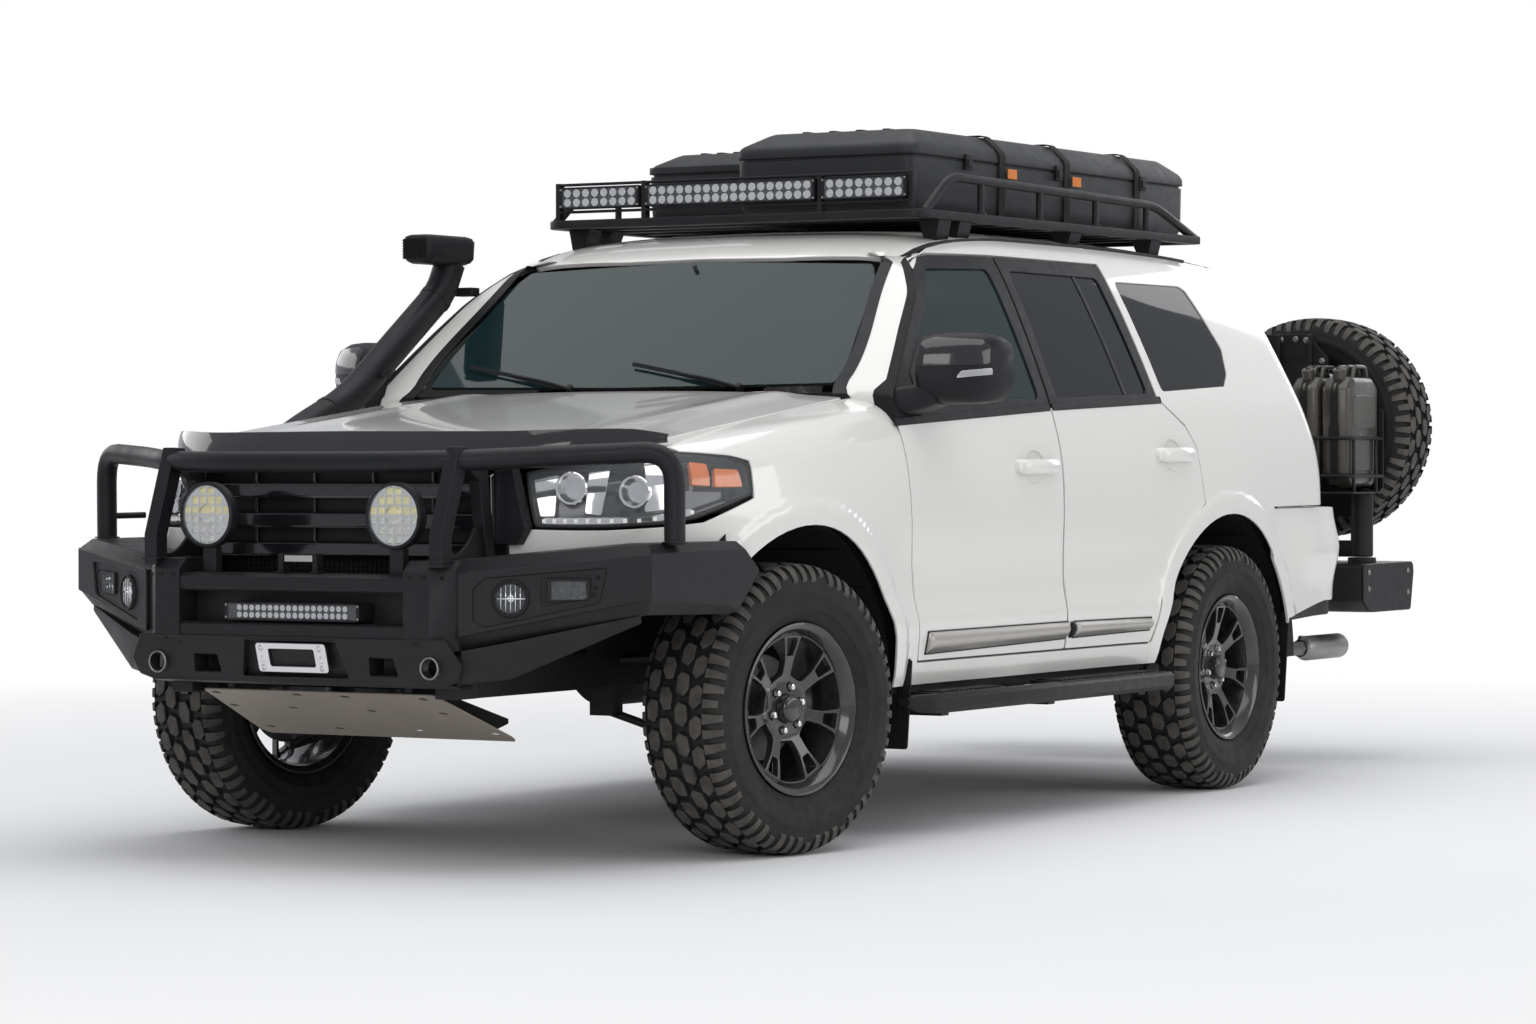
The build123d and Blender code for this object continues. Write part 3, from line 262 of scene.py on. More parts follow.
def panel(outline, holes, surface, thick, step=30.0, edge=2.5):
    """A curved sheet: a flat outline with holes, laid on surface(u, v) -> points, outward normals."""
    rims = [dense(ring, step) for ring in [outline] + list(holes)]
    rims[0] = rims[0] if area(rims[0]) > 0 else rims[0][::-1]
    rims[1:] = [ring if area(ring) < 0 else ring[::-1] for ring in rims[1:]]
    tops = [inset(rims[0], edge)] + [inset(ring, -edge) for ring in rims[1:]]
    flat = [Vector(p) for ring in tops for p in ring]
    links = []
    start = 0
    for ring in tops:
        links += [(start + i, start + (i + 1) % len(ring)) for i in range(len(ring))]
        start += len(ring)
    low, high = np.min(tops[0], axis=0), np.max(tops[0], axis=0)
    us, vs = np.arange(low[0] + step / 2, high[0], step), np.arange(low[1] + step / 2, high[1], step)
    if len(us) and len(vs):
        grid = np.array([(u, v) for u in us for v in vs])
        keep = inside(grid, tops[0])
        for ring in tops[1:]:
            keep &= ~inside(grid, ring)
        grid = grid[keep]
        edge_points = np.array([tuple(p) for p in flat])
        if len(grid):
            near = np.min(np.linalg.norm(grid[:, None] - edge_points[None], axis=2), axis=1)
            flat += [Vector(p) for p in grid[near > step * 0.45]]
    coords, _, triangles, origin, *_ = geometry.delaunay_2d_cdt(flat, links, [], 0, 0.001)
    coords = np.array([tuple(c) for c in coords])
    middles = np.array([coords[list(t)].mean(0) for t in triangles])
    keep = inside(middles, tops[0])
    for ring in tops[1:]:
        keep &= ~inside(middles, ring)
    triangles = [list(t) for t, k in zip(triangles, keep) if k]
    triangles = [t if area([tuple(coords[i]) for i in t]) > 0 else t[::-1] for t in triangles]
    where = {}
    for index, sources in enumerate(origin):
        for source in sources:
            where[source] = index
    outer, normals = surface(coords[:, 0], coords[:, 1])
    shape = Shape()
    count = len(outer)
    shape.points = [tuple(p) for p in outer] + [tuple(p) for p in outer - normals * thick]
    facing = triangle_side(outer, normals, triangles)
    for t in triangles:
        t = t if facing else t[::-1]
        shape.faces.append(t)
        shape.corners.append([tuple(normals[i]) for i in t])
        shape.faces.append([count + i for i in t[::-1]])
        shape.corners.append([tuple(-normals[i]) for i in t[::-1]])
    start = 0
    for ring in rims:
        size = len(ring)
        ids = [where[start + i] for i in range(size)]
        start += size
        around = np.array(ring)
        rim_points, rim_normals = surface(around[:, 0], around[:, 1])
        outward = rim_points - outer[ids]
        outward -= rim_normals * np.sum(outward * rim_normals, axis=1)[:, None]
        outward /= np.linalg.norm(outward, axis=1)[:, None] + 1e-9
        base = len(shape.points)
        shape.points += [tuple(p) for p in rim_points - rim_normals * edge]
        shape.points += [tuple(p) for p in rim_points - rim_normals * max(thick - edge, edge)]
        for i in range(size):
            j = (i + 1) % size
            rows = [(ids[i], ids[j]), (base + i, base + j), (base + size + i, base + size + j),
                    (count + ids[i], count + ids[j])]
            looks = [(normals[ids[i]], normals[ids[j]]), (outward[i], outward[j]),
                     (outward[i], outward[j])]
            looks.append((-normals[ids[i]], -normals[ids[j]]))
            for k in range(3):
                face = [rows[k][0], rows[k + 1][0], rows[k + 1][1], rows[k][1]]
                look = [looks[k][0], looks[k + 1][0], looks[k + 1][1], looks[k][1]]
                if not facing:
                    face, look = face[::-1], look[::-1]
                shape.faces.append(face)
                shape.corners.append([tuple(n) for n in look])
    shape.tags = [0] * len(shape.faces)
    return shape


def triangle_side(points, normals, triangles):
    a, b, c = (points[[t[k] for t in triangles]] for k in range(3))
    cross = np.cross(b - a, c - a)
    mean = normals[[t[0] for t in triangles]]
    return float(np.sum(cross * mean)) > 0


def lofted(place):
    """Turns place(u, v) -> x, y, z into a surface with normals from the cross of its u and v directions.
    """

    def surface(u, v):
        u, v = np.asarray(u, float), np.asarray(v, float)
        here = np.stack(np.broadcast_arrays(*place(u, v)), -1).astype(float)
        right, left, above, below = (np.stack(np.broadcast_arrays(*place(*at)), -1) for at in (
            (u + 1.0, v), (u - 1.0, v), (u, v + 1.0), (u, v - 1.0)))
        along, over = right - left, above - below
        normal = np.cross(along, over)
        normal /= np.linalg.norm(normal, axis=-1)[..., None] + 1e-12
        return here, normal

    return surface


def flipped(surface):
    def other(u, v):
        here, normal = surface(u, v)
        return here, -normal

    return other


def sunk(surface, depth):
    def other(u, v):
        here, normal = surface(u, v)
        return here - normal * depth, normal

    return other


def smooth_curve(pairs):
    """A curve through the pairs that doesn't overshoot between them."""
    xs, ys = np.array(sorted(pairs), float).T
    slopes = np.diff(ys) / np.diff(xs)
    same = slopes[:-1] * slopes[1:] > 0
    total = np.where(same, slopes[:-1] + slopes[1:], 1.0)
    inner = np.where(same, 2 * slopes[:-1] * slopes[1:] / total, 0.0)
    tangents = np.concatenate([slopes[:1], inner, slopes[-1:]])

    def value(x):
        x = np.clip(np.asarray(x, float), xs[0], xs[-1])
        i = np.clip(np.searchsorted(xs, x, side="right") - 1, 0, len(xs) - 2)
        width = xs[i + 1] - xs[i]
        t = (x - xs[i]) / width
        start = (1 + 2 * t) * (1 - t) ** 2 * ys[i] + t * (1 - t) ** 2 * width * tangents[i]
        return start + t * t * (3 - 2 * t) * ys[i + 1] + t * t * (t - 1) * width * tangents[i + 1]

    return value


def step_between(low, high, value):
    t = np.clip((np.asarray(value, float) - low) / (high - low), 0, 1)
    return t * t * (3 - 2 * t)


def lathe(profile, origin, axis, steps=64, closed=False):
    """A turned solid: the profile is (along the axis, radius)."""
    axis = Vector(axis).normalized()
    side = axis.orthogonal().normalized()
    other = axis.cross(side)
    points = []
    for k in range(steps):
        turn = 2 * math.pi * k / steps
        out = side * math.cos(turn) + other * math.sin(turn)
        points += [tuple(Vector(origin) + axis * a + out * r) for a, r in profile]
    count = len(profile)
    faces = []
    for k in range(steps):
        here, there = k * count, (k + 1) % steps * count
        for i in range(count if closed else count - 1):
            j = (i + 1) % count
            faces.append([here + i, here + j, there + j, there + i])
    if not closed:
        faces.append([k * count for k in range(steps)])
        faces.append([k * count + count - 1 for k in range(steps)][::-1])
    rising = sum((b[0] - a[0]) * (a[1] + b[1]) for a, b in zip(profile, profile[1:] + profile[:1]))
    if (rising if closed else profile[-1][0] - profile[0][0]) > 0:
        faces = [face[::-1] for face in faces]
    return Shape().add(points, faces)


def stacked(rings):
    """A closed solid through rings that have the same number of points."""
    shape = Shape()
    count = len(rings[0])
    points = [p for ring in rings for p in ring]
    faces = [list(range(count))[::-1]]
    for i in range(len(rings) - 1):
        for k in range(count):
            j = (k + 1) % count
            faces.append([i * count + k, i * count + j, (i + 1) * count + j, (i + 1) * count + k])
    faces.append([(len(rings) - 1) * count + k for k in range(count)])
    return shape.add(points, faces)


def rod(start, end, radius, steps=20, chamfer=0.0):
    length = (Vector(end) - Vector(start)).length
    if not chamfer:
        return lathe([(0, radius), (length, radius)], start, Vector(end) - Vector(start), steps)
    c = chamfer
    profile = [(0, radius - c), (c, radius), (length - c, radius), (length, radius - c)]
    return lathe(profile, start, Vector(end) - Vector(start), steps)


def bent(points, radius, steps=6):
    """A path with its bends turned into curves."""
    path = [Vector(points[0])]
    for before, here, after in zip(points, points[1:], points[2:]):
        here = Vector(here)
        back, on = Vector(before) - here, Vector(after) - here
        cut = min(radius, 0.45 * back.length, 0.45 * on.length)
        start, end = here + back.normalized() * cut, here + on.normalized() * cut
        for k in range(steps + 1):
            t = k / steps
            path.append(start * (1 - t) ** 2 + here * (2 * t * (1 - t)) + end * t * t)
    return path + [Vector(points[-1])]


def sweep(path, section, closed=False):
    """A section of (side, up) points carried along a path."""
    path = [Vector(p) for p in path]
    count = len(section)
    ahead = (path[1] - path[0]).normalized()
    side = ahead.cross(Vector((0, 0, 1)))
    if side.length < 0.1:
        side = ahead.cross(Vector((0, 1, 0)))
    side.normalize()
    points = []
    for i, here in enumerate(path):
        after = path[min(i + 1, len(path) - 1)] - path[max(i - 1, 0)]
        if closed:
            after = path[(i + 1) % len(path)] - path[i - 1]
        ahead = after.normalized()
        side = (side - ahead * side.dot(ahead)).normalized()
        top = side.cross(ahead)
        points += [tuple(here + side * a + top * b) for a, b in section]
    faces = []
    turns = len(path) if closed else len(path) - 1
    for i in range(turns):
        here, there = i * count, (i + 1) % len(path) * count
        faces += [[here + k, here + (k + 1) % count, there + (k + 1) % count, there + k]
                  for k in range(count)]
    if not closed:
        faces.append(list(range(count))[::-1])
        faces.append([(len(path) - 1) * count + k for k in range(count)])
    if area(section) > 0:
        faces = [face[::-1] for face in faces]
    return Shape().add(points, faces)


def tube(points, radius, bend=0.0, steps=20):
    return sweep(bent(points, bend) if bend else points, circle((0, 0), radius, steps))


# Materials


def noise(nodes, links, where, scale, detail=4.0, rough=0.55):
    texture = nodes.new("ShaderNodeTexNoise")
    texture.inputs["Scale"].default_value = scale
    texture.inputs["Detail"].default_value = detail
    texture.inputs["Roughness"].default_value = rough
    links.new(where, texture.inputs["Vector"])
    return texture.outputs["Fac"]


def spread(nodes, links, value, low, high, to_low, to_high):
    ranged = nodes.new("ShaderNodeMapRange")
    for name, number in (("From Min", low), ("From Max", high), ("To Min", to_low),
                         ("To Max", to_high)):
        ranged.inputs[name].default_value = number
    links.new(value, ranged.inputs["Value"])
    return ranged.outputs["Result"]


def blend_colours(nodes, links, share, first, second):
    ramp = nodes.new("ShaderNodeValToRGB")
    ramp.color_ramp.elements[0].color = (*first, 1)
    ramp.color_ramp.elements[1].color = (*second, 1)
    links.new(share, ramp.inputs["Fac"])
    return ramp.outputs["Color"]


def finish(name, colour, rough, metal=0.0, coat=0.0, vary=0.12, patch=6.0, grain=420.0, bump=0.0,
           spread_rough=0.06, edge_round=0.0, wear=0.0, glow=None, stretch=None, dust=0.0, shine=0.5):
    """A surface with mottled colour, uneven gloss, fine grain and rounded edges with wear."""
    made = bpy.data.materials.new(name)
    made.use_nodes = True
    nodes, links = made.node_tree.nodes, made.node_tree.links
    surface = nodes["Principled BSDF"]
    place = nodes.new("ShaderNodeTexCoord").outputs["Object"]
    if stretch:
        mapping = nodes.new("ShaderNodeMapping")
        mapping.inputs["Scale"].default_value = stretch
        links.new(place, mapping.inputs["Vector"])
        grain_place = mapping.outputs["Vector"]
    else:
        grain_place = place
    large = noise(nodes, links, place, patch)
    fine = noise(nodes, links, grain_place, grain, 6.0, 0.6)
    dark = tuple(c * (1 - vary) for c in colour)
    light = tuple(min(1.0, c * (1 + vary)) for c in colour)
    tint = blend_colours(nodes, links, spread(nodes, links, large, 0.3, 0.7, 0, 1), dark, light)
    if wear:
        point = nodes.new("ShaderNodeNewGeometry").outputs["Pointiness"]
        worn = nodes.new("ShaderNodeMath")
        worn.operation = "MULTIPLY"
        links.new(spread(nodes, links, point, 0.53, 0.62, 0, wear), worn.inputs[0])
        links.new(spread(nodes, links, fine, 0.42, 0.6, 0, 1), worn.inputs[1])
        tint = mixed(nodes, links, worn.outputs["Value"], tint,
                     tuple(min(1.0, c * 3 + 0.06) for c in colour))
    if dust:
        height = nodes.new("ShaderNodeSeparateXYZ")
        links.new(place, height.inputs["Vector"])
        low = spread(nodes, links, height.outputs["Z"], 0.35, 0.95, dust, 0)
        speck = spread(nodes, links, noise(nodes, links, place, 28.0, 8.0, 0.7), 0.35, 0.7, 0.2, 1)
        share = nodes.new("ShaderNodeMath")
        share.operation = "MULTIPLY"
        links.new(low, share.inputs[0])
        links.new(speck, share.inputs[1])
        tint = mixed(nodes, links, share.outputs["Value"], tint, (0.42, 0.37, 0.31))
    links.new(tint, surface.inputs["Base Color"])
    blotch = noise(nodes, links, place, patch * 4, 5.0)
    uneven = spread(nodes, links, blotch, 0.3, 0.7, max(0.02, rough - spread_rough),
                    min(1.0, rough + spread_rough))
    links.new(uneven, surface.inputs["Roughness"])
    surface.inputs["Metallic"].default_value = metal
    surface.inputs["Specular IOR Level"].default_value = shine
    surface.inputs["Coat Weight"].default_value = coat
    surface.inputs["Coat Roughness"].default_value = 0.04
    normal = None
    if edge_round:
        edge = nodes.new("ShaderNodeBevel")
        edge.samples = 4
        edge.inputs["Radius"].default_value = edge_round / 1000
        normal = edge.outputs["Normal"]
    if bump:
        relief = nodes.new("ShaderNodeBump")
        relief.inputs["Strength"].default_value = min(1.0, bump)
        relief.inputs["Distance"].default_value = 0.0006
        links.new(fine, relief.inputs["Height"])
        if normal:
            links.new(normal, relief.inputs["Normal"])
        normal = relief.outputs["Normal"]
    if normal:
        links.new(normal, surface.inputs["Normal"])
    if glow:
        surface.inputs["Emission Color"].default_value = (*glow[0], 1)
        surface.inputs["Emission Strength"].default_value = glow[1]
    return made


def mixed(nodes, links, share, first, second):
    blend = nodes.new("ShaderNodeMix")
    blend.data_type = "RGBA"
    links.new(share, blend.inputs["Factor"])
    links.new(first, blend.inputs["A"])
    blend.inputs["B"].default_value = (*second, 1)
    return blend.outputs["Result"]


def clear(name, colour, cover, rough=0.02, gloss=1.9, grain=0.0):
    """Glass or a clear lens: cover is how much of what lies behind it is hidden by its tint."""
    made = bpy.data.materials.new(name)
    made.use_nodes = True
    nodes, links = made.node_tree.nodes, made.node_tree.links
    surface = nodes["Principled BSDF"]
    place = nodes.new("ShaderNodeTexCoord").outputs["Object"]
    smear = noise(nodes, links, place, 9.0, 6.0)
    tint = blend_colours(nodes, links, smear, tuple(c * 0.94 for c in colour), colour)
    links.new(tint, surface.inputs["Base Color"])
    links.new(spread(nodes, links, smear, 0.3, 0.8, rough, rough + 0.006), surface.inputs["Roughness"])
    surface.inputs["Alpha"].default_value = cover
    surface.inputs["IOR"].default_value = gloss
    if grain:
        relief = nodes.new("ShaderNodeBump")
        relief.inputs["Strength"].default_value = 0.3
        relief.inputs["Distance"].default_value = 0.0006
        links.new(noise(nodes, links, place, grain, 1.0), relief.inputs["Height"])
        links.new(relief.outputs["Normal"], surface.inputs["Normal"])
    return made


PAINT = finish("pearl_paint", (0.8, 0.785, 0.75), 0.28, coat=1.0, vary=0.004, patch=120, grain=2600,
               bump=0.02, spread_rough=0.01)
BLACK_STEEL = finish("textured_black", (0.011, 0.0115, 0.013), 0.44, vary=0.2, grain=1500, bump=0.35,
                     edge_round=3.0, wear=0.12, dust=0.03, shine=0.27)
BLACK_TRIM = finish("grained_black", (0.012, 0.0125, 0.014), 0.46, vary=0.2, grain=1100, bump=0.3,
                    edge_round=2.0, dust=0.04, shine=0.24)
GLOSS_BLACK = finish("gloss_black", (0.012, 0.012, 0.014), 0.12, coat=0.6, vary=0.1, bump=0.03,
                     edge_round=1.5)
GLOSS_WHEEL = finish("wheel_black", (0.014, 0.014, 0.016), 0.2, coat=0.8, vary=0.15, bump=0.04,
                     edge_round=2.0, dust=0.06)
CHROME = finish("bright_trim", (0.78, 0.78, 0.79), 0.08, metal=1.0, vary=0.03, bump=0.02,
                edge_round=1.0)
ALUMINIUM = finish("bare_aluminium", (0.6, 0.585, 0.55), 0.38, metal=1.0, vary=0.1, grain=240,
                   bump=0.25, edge_round=2.0, stretch=(1, 12, 12))
# The skid plate's warm brown tone is partly its own dull bare metal and partly a painted reflection of
# brown ground.
SKID_METAL_WITH_PAINTED_REFLECTION = finish("skid_metal_with_painted_reflection", (0.33, 0.29, 0.245), 0.45, metal=0.25, vary=0.06, patch=3, grain=240,
                    bump=0.15, edge_round=2.0, stretch=(1, 12, 12))
STEEL = finish("dull_steel", (0.36, 0.35, 0.34), 0.42, metal=1.0, vary=0.2, grain=320, bump=0.3,
               edge_round=2.0)
CAST = finish("cast_metal", (0.17, 0.17, 0.17), 0.6, metal=0.6, vary=0.3, grain=500, bump=0.7,
              edge_round=3.0)
SATIN_METAL = finish("satin_moulding", (0.5, 0.48, 0.45), 0.35, metal=0.7, vary=0.04, grain=900,
                     bump=0.05, edge_round=2.0)
RUBBER = finish("tyre_rubber", (0.012, 0.012, 0.012), 0.62, vary=0.25, grain=700, bump=0.4, dust=0.05,
                shine=0.25)
TREAD = finish("dusty_tread", (0.075, 0.068, 0.06), 0.8, vary=0.4, patch=22, grain=900, bump=0.6)
SEAL = finish("rubber_seal", (0.012, 0.012, 0.012), 0.6, vary=0.2, grain=800, bump=0.3, shine=0.2)
LEATHER = finish("seat_leather", (0.06, 0.058, 0.055), 0.55, vary=0.15, grain=260, bump=0.6,
                 edge_round=14.0)
CABIN = finish("cabin_trim", (0.05, 0.05, 0.05), 0.7, vary=0.15, grain=600, bump=0.4, edge_round=4.0)
LINING = finish("roof_lining", (0.06, 0.058, 0.053), 0.9, vary=0.08, grain=500, bump=0.4)
CASE_GREY = finish("case_plastic", (0.026, 0.027, 0.029), 0.45, vary=0.12, grain=900, bump=0.5,
                   edge_round=4.0, shine=0.3)
CAN_PAINT = finish("can_paint", (0.05, 0.045, 0.036), 0.3, coat=0.3, vary=0.2, grain=500, bump=0.25,
                   edge_round=5.0)
ORANGE = finish("tag_orange", (0.75, 0.22, 0.03), 0.5, vary=0.08, grain=900, bump=0.2)
GLASS = clear("tinted_glass", (0.012, 0.028, 0.027), 0.84, gloss=1.42)
DARK_GLASS = clear("privacy_glass", (0.005, 0.006, 0.008), 0.96, gloss=1.4)
SCREEN_GLASS = clear("screen_glass", (0.01, 0.027, 0.029), 0.8, gloss=1.42)
LENS = clear("lamp_lens", (0.8, 0.84, 0.87), 0.06, gloss=1.55)
RED_LENS = clear("red_lens", (0.42, 0.012, 0.01), 0.82, 0.08, grain=120)
AMBER = clear("amber_lens", (0.85, 0.2, 0.015), 0.78, 0.08, grain=120)
# Painted reflections on one clear lens: the upper cells carry a painted warm reflection and the lower
# cells a painted bright white one.
CELLS_PAINTED_WARM_REFLECTION = finish("warm_cells", (0.72, 0.66, 0.36), 0.2, metal=0.2, vary=0.1, patch=60,
                    spread_rough=0.04)
CELLS_PAINTED_BRIGHT_REFLECTION = finish("cells_painted_bright_reflection", (0.62, 0.62, 0.58), 0.16, metal=0.5, vary=0.1, patch=60,
                     spread_rough=0.04)
LAMP_LED = finish("lamp_led", (0.85, 0.86, 0.82), 0.3, vary=0.05, glow=((1, 0.98, 0.92), 0.25))

BY_SLOT = {
    "white_paint": PAINT, "tinted_glass": GLASS, "lamp_lens": LENS, "red_lens": RED_LENS,
    "black_steel": BLACK_STEEL, "black_plastic": BLACK_TRIM, "gloss_black": GLOSS_BLACK,
    "bare_aluminium": ALUMINIUM, "wheel_black": GLOSS_WHEEL, "tyre_rubber": RUBBER,
    "cast_metal": CAST, "steel": STEEL, "seat_leather": LEATHER,
}
for node in frame["nodes"].values():
    for index, item in enumerate(node.data.materials):
        node.data.materials[index] = BY_SLOT.get(item.name.split(".")[0], BLACK_TRIM)


# Body form


ROOF_TOP = 1856.0
half_width = smooth_curve([
    (430, 936), (440, 938), (480, 950), (520, 958), (560, 966), (600, 974), (640, 977), (680, 972),
    (720, 968),
    (800, 972), (880, 979), (960, 984), (1040, 985), (1100, 982), (1160, 975), (1220, 964), (1270, 953),
    (1290, 948), (1400, 909), (1500, 870), (1600, 828), (1680, 791), (1735, 763), (1775, 737),
    (1800, 710), (1820, 672), (1832, 620), (1842, 540), (1851, 350), (1856, 0),
])
roof_fall = smooth_curve([(0, 0), (350, 5), (540, 14), (620, 24), (672, 36), (710, 56), (737, 81),
                          (763, 121)])
roof_line = smooth_curve([
    (1000, 1690), (1074, 1752), (1180, 1797), (1282, 1822), (1500, 1846), (1752, 1856), (2324, 1858),
    (2860, 1850), (3200, 1836), (3346, 1824), (3420, 1806), (3476, 1775), (3530, 1720),
])
rear_line = smooth_curve([
    (440, 3300), (520, 3300), (640, 3760), (900, 3760), (1120, 3735), (1323, 3668), (1458, 3620),
    (1610, 3560), (1700, 3515), (1765, 3476), (1856, 3400),
])
ARCH_HEIGHT = 402.0
ARCH_RADIUS = 527.0
FRONT_ARCH = (30.0, ARCH_HEIGHT)
REAR_ARCH = (ra(10), ARCH_HEIGHT)
REAR_CORNER = 150.0


def flare(y, z):
    """How far the sides swell outwards around the wheel arches."""
    total = 0.0
    for centre_y, centre_z in (FRONT_ARCH, REAR_ARCH):
        away = np.hypot(y - centre_y, z - centre_z) - ARCH_RADIUS
        near = np.maximum(away, 0)
        total = total + 7 * (1 - step_between(58, 84, near)) + 13 * np.exp(-((near / 130) ** 2))
    return total


def side_half(y, z):
    """The sides' half width at any place behind the nose."""
    low = ROOF_TOP - roof_line(y)
    rise = z + low * step_between(1600, 1790, z)
    return half_width(rise) + flare(y, z)


def wrap(u, z):
    """The sides and the rear face as one sheet: u runs back along the side and on around the corner."""
    corner = rear_line(z) - REAR_CORNER
    y = np.minimum(u, corner)
    x = side_half(y, z)
    past = np.maximum(u - corner, 0)
    turn = np.minimum(past / REAR_CORNER, math.pi / 2)
    across = np.maximum(past - REAR_CORNER * math.pi / 2, 0)
    bulge = 26 * np.sin(np.clip(across / 780, 0, 1) * math.pi / 2)
    x = x - REAR_CORNER * (1 - np.cos(turn)) - across
    return x, y + REAR_CORNER * np.sin(turn) + bulge, z


def wrap_place(x, z):
    """The u at which the rear face is x from the centre plane."""
    corner = rear_line(z) - REAR_CORNER
    side = float(side_half(corner, z)) - REAR_CORNER
    if x >= side:
        turn = math.acos(max(-1.0, min(1.0, 1 - (side + REAR_CORNER - x) / REAR_CORNER)))
        return float(corner) + REAR_CORNER * turn
    return float(corner) + REAR_CORNER * math.pi / 2 + side - x


side_sheet = lofted(wrap)

# The nose's plan as a line from the grille's edge round to the wing, by its own length
NOSE_PLAN = [
    (480, -822), (560, -800), (660, -757), (760, -688), (850, -578), (915, -432), (955, -240), (978, 0),
    (985, 200), (985, 500), (985, 760),
]
lengths = np.cumsum([0.0] + [math.dist(a, b) for a, b in zip(NOSE_PLAN, NOSE_PLAN[1:])])
NOSE_START = 200 - float(lengths[8])
plan_x = smooth_curve([(NOSE_START + s, p[0]) for s, p in zip(lengths, NOSE_PLAN)])
plan_y = smooth_curve([(NOSE_START + s, p[1]) for s, p in zip(lengths, NOSE_PLAN)])
hood_edge = smooth_curve([(-900, 1096), (-860, 1103), (-700, 1136), (-498, 1168), (0, 1230),
                          (300, 1266), (560, 1296), (760, 1312)])
GIRTH = [(0, 180, 0), (88, 95, 22), (156, 42, 64), (216, 14, 122), (336, 1, 240)]
girth_in = smooth_curve([(s, i) for s, i, _ in GIRTH] + [(400, 0), (2000, 0)])
girth_down = smooth_curve([(s, d) for s, _, d in GIRTH] + [(2336, 2240)])


def plan_place(y):
    """The plan line's length at which the nose is that far behind the axle."""
    low, high = NOSE_START, 700.0
    for _ in range(40):
        middle = (low + high) / 2
        if float(plan_y(middle)) < y:
            low = middle
        else:
            high = middle
    return low


def nose_form(t, s):
    """The nose and wings as one sheet: t runs round the plan, s down from the bonnet's edge."""
    x, y = plan_x(t), plan_y(t)
    dx, dy = plan_x(t + 2) - plan_x(t - 2), plan_y(t + 2) - plan_y(t - 2)
    size = np.hypot(dx, dy) + 1e-9
    out_x, out_y = dy / size, -dx / size
    z = hood_edge(y) - girth_down(s)
    tuck = (985 - half_width(np.minimum(z, 1000.0))) * step_between(1040, 960, z)
    narrow = step_between(-900, -200, y)
    depth = girth_in(s) * (0.62 + 0.38 * narrow) + tuck - flare(y, z) * step_between(-640, -300, y)
    return x - out_x * depth, y - out_y * depth, z


def nose_place(y, z):
    """Where a point of the side view lies on the nose's sheet."""
    t = plan_place(y)
    low, high = 0.0, 1200.0
    for _ in range(40):
        middle = (low + high) / 2
        if float(nose_form(t, middle)[2]) > z:
            low = middle
        else:
            high = middle
    return t, low


nose_sheet = flipped(lofted(nose_form))
CROWN = 26.0


def bonnet_form(x, y):
    edge = hood_edge(y)
    rise = CROWN * (1 - (np.abs(x) / 815) ** 2.4)
    ridge = 7 * np.exp(-(((np.abs(x) - 560) / 60) ** 2)) * step_between(-900, -300, y)
    nose_drop = 46 * step_between(-640, -900, y) ** 2
    return x, y, edge + rise + ridge - nose_drop


bonnet_sheet = lofted(bonnet_form)


def roof_form(x, y):
    return x, y, roof_line(y) - roof_fall(np.abs(x))


roof_sheet = lofted(roof_form)


# Body panels

SKIN = 9.0
FRONT_DOOR = [
    (706, 517), (648, 800), (632, 936), (603, 1112), (579, 1228), (579, 1300), (820, 1508),
    (1088, 1722), (1200, 1747), (1582, 1753), (1590, 1277), (1606, 1158), (1628, 860), (1672, 517),
]
REAR_DOOR = [
    (1681, 517), (1637, 860), (1615, 1158), (1599, 1277), (1591, 1753), (ra(-522), 1753),
    (ra(-460), 1310),
    (ra(-292), 1222), (ra(-230), 1150), (ra(-197), 968), (ra(-332), 893), (ra(-441), 792),
    (ra(-531), 652), (ra(-577), 517),
]
FRONT_PANE = [(735, 1302), (735, 1372), (1128, 1700), (1505, 1710), (1530, 1302)]
REAR_PANE = [(1655, 1308), (1645, 1710), (ra(-580), 1708), (ra(-520), 1330)]
QUARTER_PANE = [
    (ra(-405), 1338), (ra(-460), 1700), (ra(50), 1702), (ra(90), 1688), (ra(196), 1490),
    (ra(165), 1405), (ra(110), 1362),
]


def belt(y):
    """The height of the moulding under the side windows."""
    return 1223 + (y - 552) * (1277 - 1223) / (1590 - 552) if y < 1590 else 1277 + (y - 1590) * 32 / 828


def cut(outline, line, above):
    """The part of an outline above or below a line given as a function of its first number."""
    kept = []
    for a, b in zip(outline, outline[1:] + outline[:1]):
        here, there = a[1] - line(a[0]), b[1] - line(b[0])
        if (here > 0) == above:
            kept.append(a)
        if (here > 0) != (there > 0):
            t = here / (here - there)
            kept.append((a[0] + (b[0] - a[0]) * t, a[1] + (b[1] - a[1]) * t))
    return kept


def for_side(shape, sign):
    return shape if sign > 0 else shape.mirrored()


def oval(y, z, wide, tall, steps=32):
    return [(y + wide * math.cos(t), z + tall * math.sin(t))
            for t in np.linspace(0, 2 * math.pi, steps + 1)[:-1]]


CUP_WIDE, CUP_TALL = 68.0, 51.0


def door_parts(outline, pane, cup_at):
    lower = rounded(cut(outline, belt, False), 9)
    upper = rounded(cut(outline, lambda y: belt(y) + 1.0, True), 14)
    skin = panel(lower, [oval(*cup_at, CUP_WIDE, CUP_TALL)], side_sheet, SKIN, 26)
    frame_part = panel(upper, [rounded(pane, 26)], sunk(side_sheet, 1.5), 22, 34)
    return skin, frame_part


